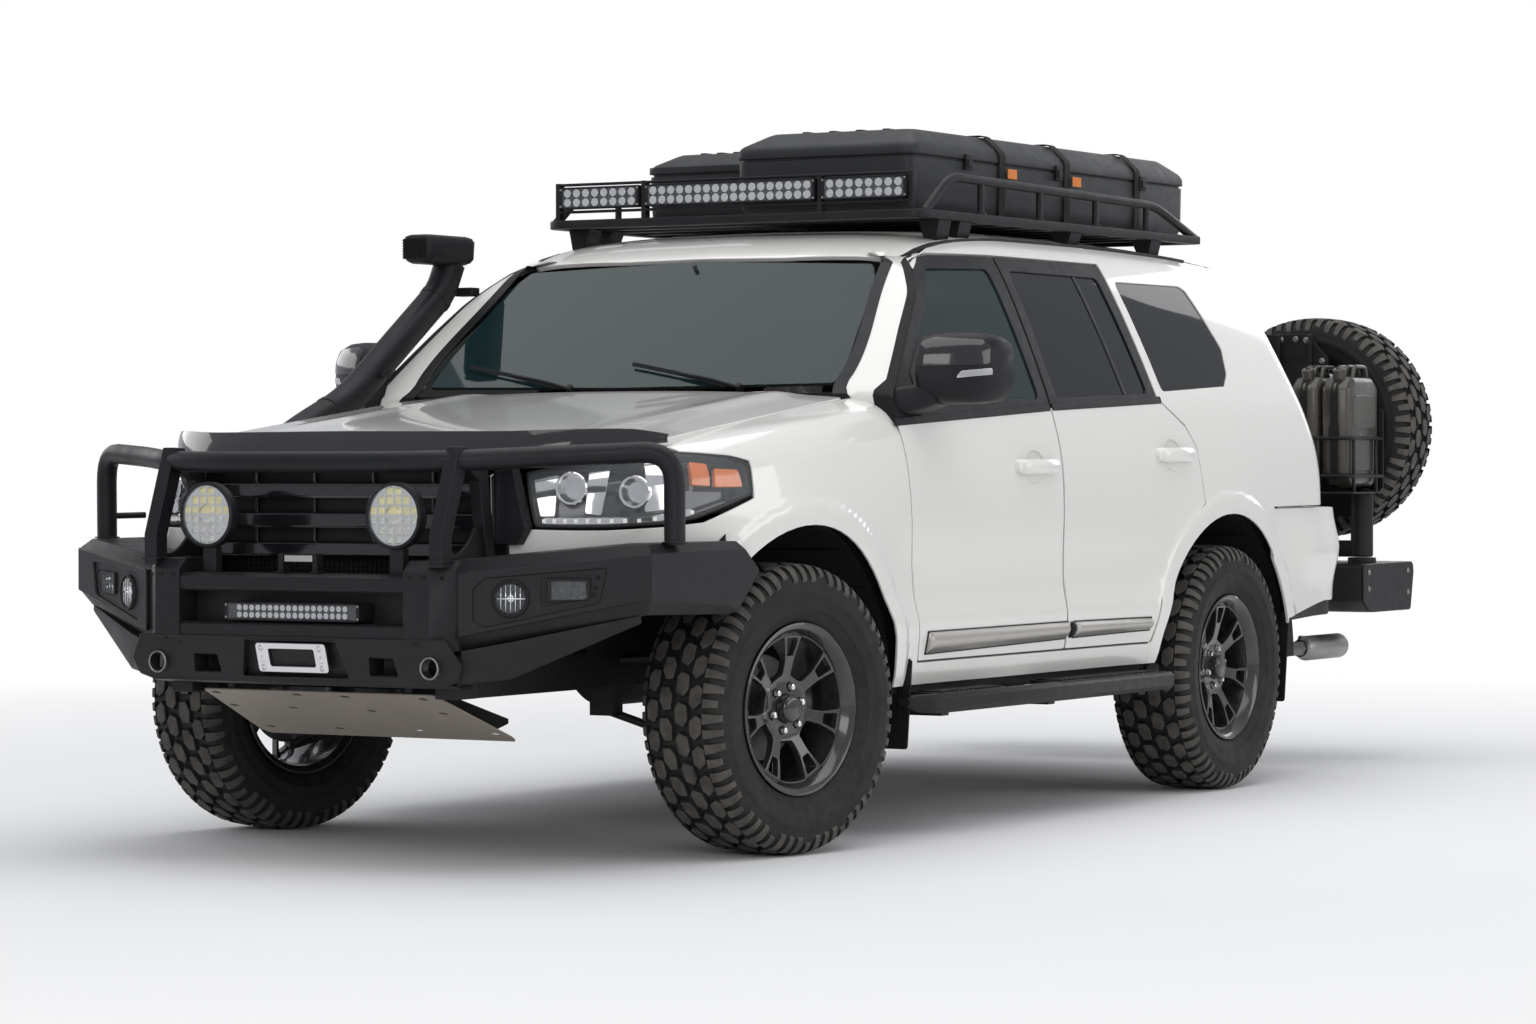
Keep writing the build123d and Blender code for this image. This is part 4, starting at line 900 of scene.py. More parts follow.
def handle(y_low, y_high, z):
    """A pull handle that bridges its recess, with the fixed end piece behind it."""
    middle = (y_low + y_high) / 2
    x = float(side_half(middle, z))
    path = [(x - 8, y_low + 10, z), (x + 24, y_low + 24, z), (x + 38, middle, z + 1),
            (x + 24, y_high - 30, z), (x - 8, y_high - 10, z)]
    section = [(-10 * math.cos(t) * abs(math.cos(t)) ** 0.4, 23 * math.sin(t))
               for t in np.linspace(0, 2 * math.pi, 25)[:-1]]
    grip = sweep(bent(path, 70, 9), section)
    ends = []
    for y, wide in ((y_low + 8, 13), (y_high - 12, 16)):
        rings = []
        for out, share in ((-6, 1.0), (8, 0.98), (16, 0.8), (19, 0.4)):
            rings.append([(x + out, y + a * share, z + b * share) for a, b in oval(0, 0, wide, 22, 24)])
        ends.append(stacked(rings))
    return grip.join(ends[0]).join(ends[1])


def cup(y, z):
    """A shallow dish that closes the hole in the door skin."""
    shape = Shape()
    steps, levels = 32, ((1.015, -1.5), (1.0, -3.0), (0.94, -6.0), (0.8, -8.6), (0.5, -10.2),
                         (0.2, -10.8))
    for share, out in levels:
        for a, b in oval(y, z, CUP_WIDE * share, CUP_TALL * share, steps):
            shape.points.append((float(side_half(a, b)) + out, a, b))
    for i in range(len(levels) - 1):
        for k in range(steps):
            j = (k + 1) % steps
            shape.faces.append([i * steps + k, i * steps + j, (i + 1) * steps + j, (i + 1) * steps + k])
    last = (len(levels) - 1) * steps
    shape.faces.append([last + k for k in range(steps)])
    shape.corners = [None] * len(shape.faces)
    shape.tags = [0] * len(shape.faces)
    return shape


for side, sign in SIDES:
    for place, outline, pane, grip in (
        ("front", FRONT_DOOR, FRONT_PANE, (1293, 1566, 1090)),
        ("rear", REAR_DOOR, REAR_PANE, (2300, 2562, 1128)),
    ):
        body = f"{place}_door_{side}"
        cup_at = ((grip[0] + grip[1]) / 2 - 6, grip[2] - 1)
        skin, frame_part = door_parts(outline, pane, cup_at)
        show(for_side(skin, sign), f"{body}_skin", body, PAINT, [f"door_{place}_{side}"])
        show(for_side(frame_part, sign), f"{body}_frame", body, BLACK_TRIM)
        lining = panel(rounded(inset(rounded(outline, 5), 34), 20), [rounded(pane, 26)],
                       sunk(side_sheet, 12), 50, 60, 4)
        show(for_side(lining, sign), f"{body}_lining", body, CABIN)
        glass = panel(inset(rounded(pane, 26), -5), [], sunk(side_sheet, 7),
                      5, 60, 0.8)
        tint = GLASS if place == "front" else DARK_GLASS
        show(for_side(glass, sign), f"{body}_glass", body, tint,
             [f"glass_{place}_{side}"])
        show(for_side(handle(*grip), sign), f"{body}_handle", body, PAINT)
        show(for_side(cup(*cup_at), sign), f"{body}_cup", body, PAINT)


# Body side behind the doors, over them and below them

DITCH_HALF = 676.0


def ditch_height(y):
    return float(roof_line(y) - roof_fall(DITCH_HALF + 18))


def quarter():
    arch_front = arc(REAR_ARCH, 600, 169, 118, 9)
    lip = arc(REAR_ARCH, ARCH_RADIUS, 45.0, 174.5, 26)
    top = [(y, ditch_height(y)) for y in np.linspace(2300, 3380, 12)]
    gate_edge = [(wrap_place(664, z), z) for z in (1770, 1700, 1600, 1500, 1400, 1300, 1216)]
    lamp_edge = [(wrap_place(905, z), z) for z in (1212, 1130, 1040, 952)]
    outline = [(2320, 1760)] + top + [(wrap_place(700, 1795), 1795)] + gate_edge + lamp_edge
    outline += [(ra(380), 950), (ra(380), 770)]
    outline += [p for p in lip if p[0] < ra(375)] + [(2328, 445), (2268, 445), (2264, 517)]
    outline += [(ra(-577) + 5, 517), (ra(-531) + 5, 652)] + arch_front[3:] + [(ra(-193), 968),
        (ra(-225), 1152)]
    outline += [(ra(-288), 1227), (ra(-455), 1312), (ra(-517), 1757)]
    return panel(rounded(outline, 4, 2), [rounded(QUARTER_PANE, 24)], side_sheet, SKIN, 17)


def cantrail():
    top = [(y, ditch_height(y)) for y in np.linspace(1060, 2330, 15)]
    low = [(2330, 1758), (1582, 1758), (1200, 1752), (1092, 1728), (1062, 1704)]
    return panel(top + low, [], side_sheet, 20, 26, 1.0)


def sill():
    outline = [(700, 445), (2285, 445), (2285, 512), (700, 512)]
    return panel(outline, [], side_sheet, 20, 26, 2.0)


def door_pillar():
    outline = [(1560, 470), (1720, 470), (1690, 900), (1650, 1290), (1640, 1770), (1540, 1770),
               (1545, 1290), (1560, 900)]
    return panel(outline, [], sunk(side_sheet, 38), 50, 60, 5)


screen_x = smooth_curve([(1220, 800), (1270, 778), (1312, 750), (1346, 738), (1378, 742), (1655, 672),
                         (1744, 652), (1780, 645)])


def screen_slope(z):
    return max(562.0, 575 + (z - 1320) * (1074 - 575) / (1757 - 1320))


def pillar_door_y(z):
    """The door's front edge, less the gap."""
    return np.interp(z, (1220, 1300, 1508, 1722, 1747, 1780), (574, 574, 815, 1083, 1190, 1250))


def pillar_point(z, t, lift=0.0):
    """t runs around the screen pillar from the glass to the door."""
    slope_y, end_y = float(screen_slope(z)), float(pillar_door_y(z))
    start = np.array([float(screen_x(z)), slope_y, z])
    end = np.array([float(side_half(end_y, z)), end_y, z])
    corner = np.array([float(side_half(slope_y, z)) - 6, slope_y + 10, z])
    place = (1 - t) ** 2 * start + 2 * t * (1 - t) * corner + t * t * end
    along = 2 * (1 - t) * (corner - start) + 2 * t * (end - corner)
    outward = np.array([-along[1], along[0], 0.0]) * -1.0
    outward /= np.linalg.norm(outward) + 1e-9
    return tuple(place + outward * lift)


def screen_pillar():
    """The white pillar from the wing to the roof, rounded between the screen's edge and the door's."""
    heights = list(np.linspace(1226, 1296, 6)) + list(np.linspace(1304, 1750, 24))
    shape = Shape()
    columns = 9
    for z in heights:
        shape.points += [pillar_point(z, k / (columns - 1)) for k in range(columns)]
    for i in range(len(heights) - 1):
        for k in range(columns - 1):
            a = i * columns + k
            shape.faces.append([a, a + 1, a + columns + 1, a + columns])
    shape.corners = [None] * len(shape.faces)
    shape.tags = [0] * len(shape.faces)
    return shape


def pillar_band(heights, from_glass, widths, lift):
    """A strip that lies on the pillar along the glass or along the door."""
    rings = []
    for z, width in zip(heights, widths):
        fine = np.linspace(0, 1, 60)
        line = np.array([pillar_point(z, t) for t in fine])
        run = np.concatenate([[0], np.cumsum(np.linalg.norm(np.diff(line, axis=0), axis=1))])
        if from_glass:
            ends = (0.0, float(np.interp(width, run, fine)))
        else:
            ends = (float(np.interp(run[-1] - width, run, fine)), 1.0)
        over = [pillar_point(z, t, lift) for t in np.linspace(*ends, 6)]
        under = [pillar_point(z, t, -4) for t in np.linspace(ends[1], ends[0], 6)]
        rings.append(over + under)
    return stacked(rings)


def screen_strip():
    heights = np.linspace(1227, 1737, 26)
    return pillar_band(heights, True, np.interp(heights, (1227, 1330, 1737), (70, 42, 36)), 4)


def door_seal():
    heights = np.concatenate([np.linspace(1226, 1300, 8), np.linspace(1304, 1746, 30)])
    return pillar_band(heights, False, np.interp(heights, (1226, 1320, 1350, 1722, 1746),
                                                 (64, 60, 30, 26, 40)), 2.5)


def roof():
    ys_front = 1062.0
    outline = [(-DITCH_HALF, ys_front + 66), (-640, ys_front + 22), (-300, ys_front), (300, ys_front),
               (640, ys_front + 22)]
    outline += [(DITCH_HALF, ys_front + 66), (DITCH_HALF, 3400), (560, 3452), (300, 3470), (-300, 3470),
                (-560, 3452)]
    outline += [(-DITCH_HALF, 3400)]
    return panel(rounded(outline, 30), [], roof_sheet, 16, 45)


def ditch():
    """The black strip along the roof's gutter."""
    path = [(DITCH_HALF - 4, 1120, ditch_height(1120) + 6)]
    path += [(DITCH_HALF + 8, y, ditch_height(y) + 4) for y in np.linspace(1200, 3120, 20)]
    return sweep(path, [(-12, -6), (12, -6), (12, 4), (-12, 4)])


for side, sign in SIDES:
    for name, part in (("quarter", quarter), ("cantrail", cantrail), ("sill", sill)):
        show(for_side(part(), sign), f"{name}_{side}", "vehicle", PAINT, ["body_shell"])
    show(for_side(screen_pillar(), sign), f"screen_pillar_{side}", "vehicle", PAINT)
    show(for_side(door_pillar(), sign), f"door_pillar_{side}", "vehicle", BLACK_TRIM)
    show(for_side(screen_strip(), sign), f"screen_strip_{side}", "vehicle", BLACK_TRIM)
    show(for_side(door_seal(), sign), f"pillar_seal_{side}", "vehicle", SEAL)
    show(for_side(ditch(), sign), f"roof_ditch_{side}", "vehicle", BLACK_TRIM)
    quarter_glass = panel(inset(rounded(QUARTER_PANE, 24), -5), [], sunk(side_sheet, 5), 5, 60, 0.8)
    show(for_side(quarter_glass, sign), f"quarter_glass_{side}", "vehicle", DARK_GLASS,
         ["fixed_glass"])
show(roof(), "roof_skin", "vehicle", PAINT)


# Bonnet, wings and the strip under the headlamps

BONNET_HALF = 812.0


def bonnet():
    outline = [(-BONNET_HALF, -470), (-790, -560), (-640, -716), (-480, -800), (-300, -830), (0, -840),
               (300, -830)]
    outline += [(480, -800), (640, -716), (790, -560), (BONNET_HALF, -470), (797, 552), (700, 556),
                (300, 566)]
    outline += [(-300, 566), (-700, 556), (-797, 552)]
    return panel(rounded(outline, 30), [], bonnet_sheet, 22, 36, 4)


def nose_points(pairs):
    return [nose_place(y, z) for y, z in pairs]


def wing():
    t_rear = 566.0
    outline = [(plan_place(-560), 3), (plan_place(-300), 3), (plan_place(0), 3), (plan_place(300), 3),
               (t_rear + 6, 3)]
    outline += nose_points([(575, 1225), (598, 1112), (627, 936), (643, 800), (700, 517), (700, 445),
                            (FRONT_ARCH[0] + 527, 445)])
    lip = arc(FRONT_ARCH, ARCH_RADIUS, 6, 141, 26)
    outline += nose_points(lip)
    outline += nose_points([(-420, 885), (-452, 935), (-235, 1008), (-225, 1112), (-300, 1127),
                            (-470, 1137)])
    return panel(rounded(outline, 3, 2), [], nose_sheet, SKIN, 17)


for side, sign in SIDES:
    show(for_side(wing(), sign), f"wing_{side}", "vehicle", PAINT, ["front_wings"])
show(bonnet(), "bonnet_skin", "bonnet", PAINT, ["bonnet"])


# Wheels, built about their own axis with the outer face along +X

TYRE_RADIUS = 412.0
GROOVE_RADIUS = 397.0
PITCHES = 30


def carcass():
    half = [
        (-108, 244), (-116, 250), (-121, 262), (-123, 264), (-131, 280), (-133, 281), (-138, 300),
        (-140, 318),
        (-141.4, 320), (-141.8, 332), (-140.6, 334), (-140, 350), (-137, 366), (-131, 380), (-121, 391),
        (-112, 395), (-60, 397),
    ]
    inner = [(100, 238), (-100, 238)]
    return lathe(half + [(-a, r) for a, r in half[::-1]] + inner, (0, 0, 0), (1, 0, 0), 120,
                 closed=True)


def tread_top(w):
    return TYRE_RADIUS - 7 * (abs(w) / 118) ** 2.6


def on_tyre(w, s, r):
    turn = s / TYRE_RADIUS
    return (w, r * math.sin(turn), -r * math.cos(turn))


def tread_block(outline, w, s, flip, tilt):
    """One block: a many-sided top and sloping walls."""
    pts = [(w + a * flip, s + b + a * flip * tilt) for a, b in outline]
    if area(pts) < 0:
        pts = pts[::-1]
    middle = np.mean(pts, axis=0)
    top = [tuple(middle + (np.array(p) - middle) * 0.9) for p in pts]
    lip = [tuple(middle + (np.array(p) - middle) * 0.82) for p in pts]
    count = len(pts)
    points = [on_tyre(a, b, GROOVE_RADIUS - 3) for a, b in pts]
    points += [on_tyre(a, b, tread_top(a) - 1.6) for a, b in top]
    points += [on_tyre(a, b, tread_top(a)) for a, b in lip]
    block = Shape()
    walls = [[i, (i + 1) % count, count + (i + 1) % count, count + i] for i in range(count)]
    shoulders = [[count + i, count + (i + 1) % count, 2 * count + (i + 1) % count, 2 * count + i]
                 for i in range(count)]
    faces = walls + shoulders + [list(range(2 * count, 3 * count))]
    block.add(points, [face[::-1] for face in faces])
    block.tags = [0] * count + [1] * (count + 1)
    return block


def shoulder_lug(s, width, flip, deep):
    outer = [(103, 407.5), (116, 403.5), (128, 394), (136, 381), (141.5, 366)]
    base = [(103, 392), (114, 389), (124, 381), (131, 370), (138, 358)]
    outer, base = (outer, base) if deep else (outer[:4], base[:4])
    points = []
    for j, ((w_out, r_out), (w_in, r_in)) in enumerate(zip(outer, base)):
        taper = 1 - 0.07 * j
        for edge in (-1, 1):
            points.append(on_tyre(flip * w_out, s + edge * width * taper * 0.9, r_out))
            points.append(on_tyre(flip * w_in, s + edge * width * taper * 1.08, r_in))
    faces, tags = [], []
    last = len(outer) - 1
    for j in range(last):
        a, b = 4 * j, 4 * (j + 1)
        faces += [[a, b, b + 2, a + 2], [a + 1, b + 1, b, a], [a + 2, b + 2, b + 3, a + 3]]
        tags += [1, 0, 0]
    faces += [[0, 2, 3, 1], [4 * last, 4 * last + 1, 4 * last + 3, 4 * last + 2]]
    tags += [0, 1]
    if flip > 0:
        faces = [face[::-1] for face in faces]
    lug = Shape().add(points, faces)
    lug.tags = tags
    return lug


CENTRE_BLOCK = [(-25, -16), (-9, -37), (22, -31), (26, 12), (8, 37), (-21, 30)]
SIDE_BLOCK = [(-22, -27), (4, -38), (23, -24), (21, 22), (-6, 37), (-23, 18)]


def tyre():
    shape = carcass()
    pitch = 2 * math.pi * TYRE_RADIUS / PITCHES
    for k in range(PITCHES):
        s = k * pitch
        for flip, shift in ((-1, 0.0), (1, 0.5)):
            shape.join(tread_block(CENTRE_BLOCK, flip * 28, s + shift * pitch, flip, 0.16))
            shape.join(tread_block(SIDE_BLOCK, flip * 78, s + (shift + 0.42) * pitch, flip, -0.2))
            shape.join(shoulder_lug(s + (shift + 0.12) * pitch, 16.5, flip, True))
            shape.join(shoulder_lug(s + (shift + 0.62) * pitch, 14.5, flip, k % 2 == 0))
    return shape


SPOKES = 7
dish = smooth_curve([(0, 64), (44, 63), (84, 62), (112, 70), (150, 79), (186, 86), (212, 90)])
spoke_half = smooth_curve([(60, 20), (100, 18), (132, 19), (170, 28), (206, 39)])


def wheel_face():
    holes = [circle((0, 0), 41, 40)]
    for k in range(SPOKES):
        turn = 2 * math.pi * k / SPOKES
        spin = np.array([[math.cos(turn), -math.sin(turn)], [math.sin(turn), math.cos(turn)]])
        radii = np.linspace(94, 203, 8)
        edge = [(float(spoke_half(r)), float(r)) for r in radii]
        half_turn = math.pi / SPOKES * 2
        far = np.array([[math.cos(half_turn), math.sin(half_turn)],
                        [-math.sin(half_turn), math.cos(half_turn)]])
        other = [tuple(far @ np.array([-a, b])) for a, b in edge]
        start, end = math.atan2(edge[-1][0], edge[-1][1]), math.atan2(other[-1][0], other[-1][1])
        rim_arc = [(206 * math.sin(a), 206 * math.cos(a)) for a in np.linspace(start, end, 7)[1:-1]]
        window = rounded(edge + rim_arc + other[::-1], 9, 3)
        holes.append([tuple(spin @ np.array(p)) for p in window])
        slot = rounded([(-13, 150), (-23, 198), (23, 198), (13, 150)], 6, 3)
        holes.append([tuple(spin @ np.array(p)) for p in slot])
    for k in range(6):
        turn = math.pi / 3 * k + 0.26
        holes.append(circle((63 * math.cos(turn), 63 * math.sin(turn)), 12.5, 16))
    place = lofted(lambda u, v: (dish(np.hypot(u, v)), u, v))
    return panel(circle((0, 0), 209, 112), holes, place, 24, 16, 3.2)


def barrel():
    outer = [(-120, 243), (-112, 243), (-109, 229), (-60, 226), (-46, 211), (62, 211), (84, 218),
             (100, 227), (109, 229), (112, 243), (119, 243.5)]
    inner = [(121, 238), (117, 228), (107, 221), (96, 213), (80, 205), (-40, 203), (-70, 216),
             (-108, 220), (-121, 237)]
    return lathe(outer + inner, (0, 0, 0), (1, 0, 0), 112, closed=True)


def hub():
    shape = lathe([(14, 70), (40, 76), (44, 60), (44, 44), (30, 42)], (0, 0, 0), (1, 0, 0), 48)
    cap = [(50, 40.5), (84, 39.5), (90, 36), (93.5, 29), (94, 24), (92.5, 22.5), (93.5, 10),
           (93.7, 0.5)]
    return shape.join(lathe(cap, (0, 0, 0), (1, 0, 0), 48))


def nuts():
    shape = Shape()
    for k in range(6):
        turn = math.pi / 3 * k + 0.26
        centre = (40, 63 * math.cos(turn), 63 * math.sin(turn))
        shape.join(lathe([(0, 10.5), (30, 10.5), (36, 8.5), (38, 0.5)], centre, (1, 0, 0), 6))
        shape.join(lathe([(0, 14), (8, 14), (9, 11)], centre, (1, 0, 0), 20))
    return shape


def wheel_place(sign, front):
    turn = Matrix.Rotation(0 if sign > 0 else math.pi, 4, "Z")
    if not front:
        return Matrix.Translation((sign * WHEEL_X, REAR_AXLE, HUB_HEIGHT)) @ turn
    pivot = Matrix.Translation((sign * KINGPIN_X, 0, HUB_HEIGHT)) @ Matrix.Rotation(STEER_REST, 4, "Z")
    return pivot @ Matrix.Translation((sign * (WHEEL_X - KINGPIN_X), 0, 0)) @ turn


def spare_place():
    low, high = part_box("spare_tyre")
    middle = (low + high) * 500
    return Matrix.Translation((middle.x, middle.y - FRONT_AXLE,
                               middle.z)) @ Matrix.Rotation(math.pi / 2, 4, "Z")


WHEELS = [("spare", "carrier", spare_place(), "spare_tyre", "spare_rim")]
for side, sign in SIDES:
    for end in ("front", "rear"):
        nodes = (f"tyre_{end}_{side}", f"rim_{end}_{side}")
        WHEELS.append((f"{end}_{side}", f"{end}_wheel_{side}", wheel_place(sign, end == "front"),
                       *nodes))
TYRE, FACE, BARREL, HUB, NUTS = tyre(), wheel_face(), barrel(), hub(), nuts()
for name, body, place, tyre_node, rim_node in WHEELS:
    show(TYRE.moved(place), f"tyre_{name}_rubber", body, [RUBBER, TREAD], [tyre_node],
         smooth=32)
    show(FACE.moved(place), f"wheel_{name}_spokes", body, GLOSS_WHEEL, [rim_node])
    show(BARREL.moved(place), f"wheel_{name}_barrel", body, GLOSS_WHEEL)
    show(HUB.moved(place), f"wheel_{name}_hub", body, GLOSS_WHEEL)
    show(NUTS.moved(place), f"wheel_{name}_nuts", body, CHROME)


# Screen, bumper, tailgate and tail lamps

SCREEN_FOOT = (575.0, 1320.0)
SCREEN_HEAD = (1074.0, 1757.0)


def screen_form(x, z):
    slope = (SCREEN_HEAD[0] - SCREEN_FOOT[0]) / (SCREEN_HEAD[1] - SCREEN_FOOT[1])
    bow = 14 * (1 - (x / 740) ** 2) * np.ones_like(z)
    return x, SCREEN_FOOT[0] + (z - SCREEN_FOOT[1]) * slope - bow + 14, z


screen_sheet = lofted(screen_form)
SCREEN = [(-728, 1340), (0, 1332), (728, 1340), (742, 1372), (668, 1662), (626, 1716), (0, 1738),
          (-626, 1716), (-668, 1662), (-742, 1372)]


def screen_border():
    """The dark printed border, thicker along the top."""
    hole = rounded([(-650, 1378), (0, 1368), (650, 1378), (700, 1392), (636, 1640), (596, 1676),
                    (0, 1694), (-596, 1676), (-636, 1640), (-700, 1392)], 30)
    return panel(rounded(SCREEN, 30), [hole], sunk(screen_sheet, 7), 2, 60, 0.4)


def rear_face_place(x, z):
    u = np.vectorize(lambda a, b: wrap_place(abs(a), b))(x, z)
    _, behind, up = wrap(u, z)
    return x, behind, up


tail_sheet = flipped(lofted(rear_face_place))
GATE_HALF = 652.0
HATCH_PANE = [(-600, 1302), (-300, 1294), (300, 1294), (600, 1302), (548, 1684), (300, 1694),
              (-300, 1694), (-548, 1684)]


def hatch():
    outline = [(-GATE_HALF, 1133), (GATE_HALF, 1133), (GATE_HALF, 1380), (654, 1700), (650, 1786),
               (0, 1792)]
    outline += [(-650, 1786), (-654, 1700), (-GATE_HALF, 1380)]
    return panel(rounded(outline, 16), [rounded(HATCH_PANE, 40)], tail_sheet, 30, 50)


def gate():
    outline = [(-GATE_HALF, 802), (GATE_HALF, 802), (GATE_HALF, 1127), (-GATE_HALF, 1127)]
    plate = rounded([(-270, 850), (270, 850), (270, 1010), (-270, 1010)], 14)
    return panel(rounded(outline, 14), [plate], tail_sheet, 30, 50)


def plate_recess():
    return panel(rounded([(-276, 846), (276, 846), (276, 1014), (-276, 1014)], 14), [],
                 sunk(tail_sheet, 16), 8, 60)


def blank_plate():
    return panel(rounded([(-186, 890), (186, 890), (186, 990), (-186, 990)], 8), [],
                 sunk(tail_sheet, 12), 2, 60, 0.6)


def tail_lamp(low, high, depth):
    outline = [(wrap_place(900, low), low), (wrap_place(900, high), high),
               (wrap_place(664, high), high), (wrap_place(664, low), low)]
    return panel(rounded(outline, 10), [], sunk(side_sheet, depth), 14, 30)


bumper_half = smooth_curve([(ra(385), 985), (ra(560), 985), (ra(850), 968)])


def bumper_form(u, z):
    """The bumper's skin from the arch round the corner to the middle of the tail."""
    corner = ra(925)
    reach = 195.0
    x = bumper_half(np.minimum(u, corner)) + flare(np.minimum(u, corner), z) * 0.6
    past = np.maximum(u - corner, 0)
    turn = np.minimum(past / reach, math.pi / 2)
    across = np.maximum(past - reach * math.pi / 2, 0)
    crown = 38 * np.sin(np.clip(across / 780, 0, 1) * math.pi / 2)
    belly = 26 * np.exp(-(((z - 800) / 90) ** 2)) * step_between(ra(500), ra(800), u)
    x = x - reach * (1 - np.cos(turn)) - across + belly * np.cos(turn) - 12
    return x, np.minimum(u, corner) + reach * np.sin(turn) + crown + belly * np.sin(turn) - 8, z


bumper_sheet = lofted(bumper_form)
BUMPER_END = ra(925) + 195 * math.pi / 2 + 770


def bumper_side():
    lip = [p for p in arc(REAR_ARCH, ARCH_RADIUS, 15, 42.5, 9) if p[0] > ra(385)]
    outline = lip[::-1] + [(ra(520), 560), (ra(900), 612), (BUMPER_END, 620), (BUMPER_END, 778)]
    outline += [(ra(925) + 195 * math.pi / 2 + 88, 778), (ra(925) + 195 * math.pi / 2 + 84, 944),
                (ra(384), 944), (ra(384), 776)]
    return panel(rounded(outline, 4, 2), [], bumper_sheet, 12, 34)


def valance():
    outline = [(ra(522), 550), (ra(900), 560), (BUMPER_END, 565), (BUMPER_END, 640), (ra(900), 634),
               (ra(510), 585)]
    return panel(rounded(outline, 6), [], sunk(bumper_sheet, 14), 14, 40)


screen_glass = panel(inset(rounded(SCREEN, 30), 2), [], sunk(screen_sheet, 1), 5, 60, 0.8)
show(screen_glass, "screen_glass", "vehicle", SCREEN_GLASS, ["fixed_glass"])
show(screen_border(), "screen_border", "vehicle", SEAL)
show(hatch(), "hatch_skin", "hatch", PAINT, ["tailgate_upper"])
hatch_glass = panel(inset(rounded(HATCH_PANE, 40), -6), [], sunk(tail_sheet, 4), 5, 70, 0.8)
show(hatch_glass, "hatch_glass", "hatch", DARK_GLASS, ["tailgate_glass"])
show(gate(), "gate_skin", "gate", PAINT, ["tailgate_lower"])
show(plate_recess(), "plate_recess", "gate", BLACK_TRIM)
show(blank_plate(), "blank_plate", "gate", PAINT)
for side, sign in SIDES:
    show(for_side(tail_lamp(950, 1130, 3), sign), f"tail_lamp_{side}", "vehicle", RED_LENS,
         ["tail_lamps"])
    show(for_side(tail_lamp(1134, 1208, 3), sign), f"turn_lamp_{side}", "vehicle", AMBER)
    show(for_side(tail_lamp(946, 1211, 22), sign), f"lamp_bed_{side}", "vehicle", CHROME)
    show(for_side(bumper_side(), sign), f"bumper_{side}", "vehicle", PAINT,
         ["rear_bumper"])
    show(for_side(valance(), sign), f"valance_{side}", "vehicle", BLACK_TRIM)


# Headlamps

def nose_at(x, z):
    """The nose sheet's place for a plan half width and a height."""
    low, high = NOSE_START, 700.0
    for _ in range(40):
        middle = (low + high) / 2
        if float(plan_x(middle)) < x:
            low = middle
        else:
            high = middle
    return low, nose_place(float(plan_y(low)), z)[1]


LAMP_OUTLINE = [
    (560, 1082), (592, 934), (757, 932), (862, 940), (908, 956), (934, 985), (955, 1018), (956, 1106),
    (944, 1128), (893, 1140), (838, 1128), (745, 1112), (640, 1098),
]


def lamp_outline(grow):
    flat = [nose_at(x, z) for x, z in LAMP_OUTLINE]
    return inset(rounded(flat, 14), -grow)


def projector(x, y, z, ring, look):
    axis = Vector(look).normalized()
    shape = lathe([(-46, ring - 8), (-8, ring), (0, ring + 3), (5, ring), (5, ring - 5), (-2, ring - 7),
                   (-30, ring - 14)],
                  (x, y, z), axis, 40)
    return shape


def lamp_eye(x, y, z, radius, look):
    axis = Vector(look).normalized()
    profile = [(-16, radius)] + [(radius * 0.55 * math.sin(t) - 16, radius * math.cos(t))
                                 for t in np.linspace(0.1, 1.5, 8)]
    return lathe(profile, (x, y, z), axis, 32)


PROJECTORS = [(680, -742, 1036, 43), (800, -612, 1026, 43)]
PROJECTOR_LOOK = (0.24, -1, 0)


def led_strip():
    """Small white blocks in a bright channel along the lamp's lower edge."""
    blocks, channel = Shape(), []
    for k, x in enumerate(np.linspace(612, 905, 23)):
        t, s = nose_at(x, 948 + 26 * step_between(820, 930, x))
        here, normal = nose_sheet(t, s)
        centre = here - normal * 16
        along = np.cross(normal, (0, 0, 1))
        along /= np.linalg.norm(along)
        channel.append(tuple(centre - normal * 5))
        if k % 2 == 0:
            corners = [centre + along * a * 4.6 + np.array((0, 0, b * 5.5))
                       for a, b in ((-1, -1), (1, -1), (1, 1), (-1, 1))]
            front = [tuple(c + normal * 4) for c in corners]
            back = [tuple(c - normal * 4) for c in corners]
            blocks.add(front + back, [[0, 1, 2, 3], [7, 6, 5, 4], [0, 4, 5, 1], [1, 5, 6, 2],
                                      [2, 6, 7, 3], [3, 7, 4, 0]])
    return blocks, sweep(channel, [(-5, -9), (5, -9), (5, 9), (-5, 9)])


def lamp_block(pairs, depth, thick):
    return panel(rounded([nose_at(x, z) for x, z in pairs], 8), [], sunk(nose_sheet, depth), thick, 26)


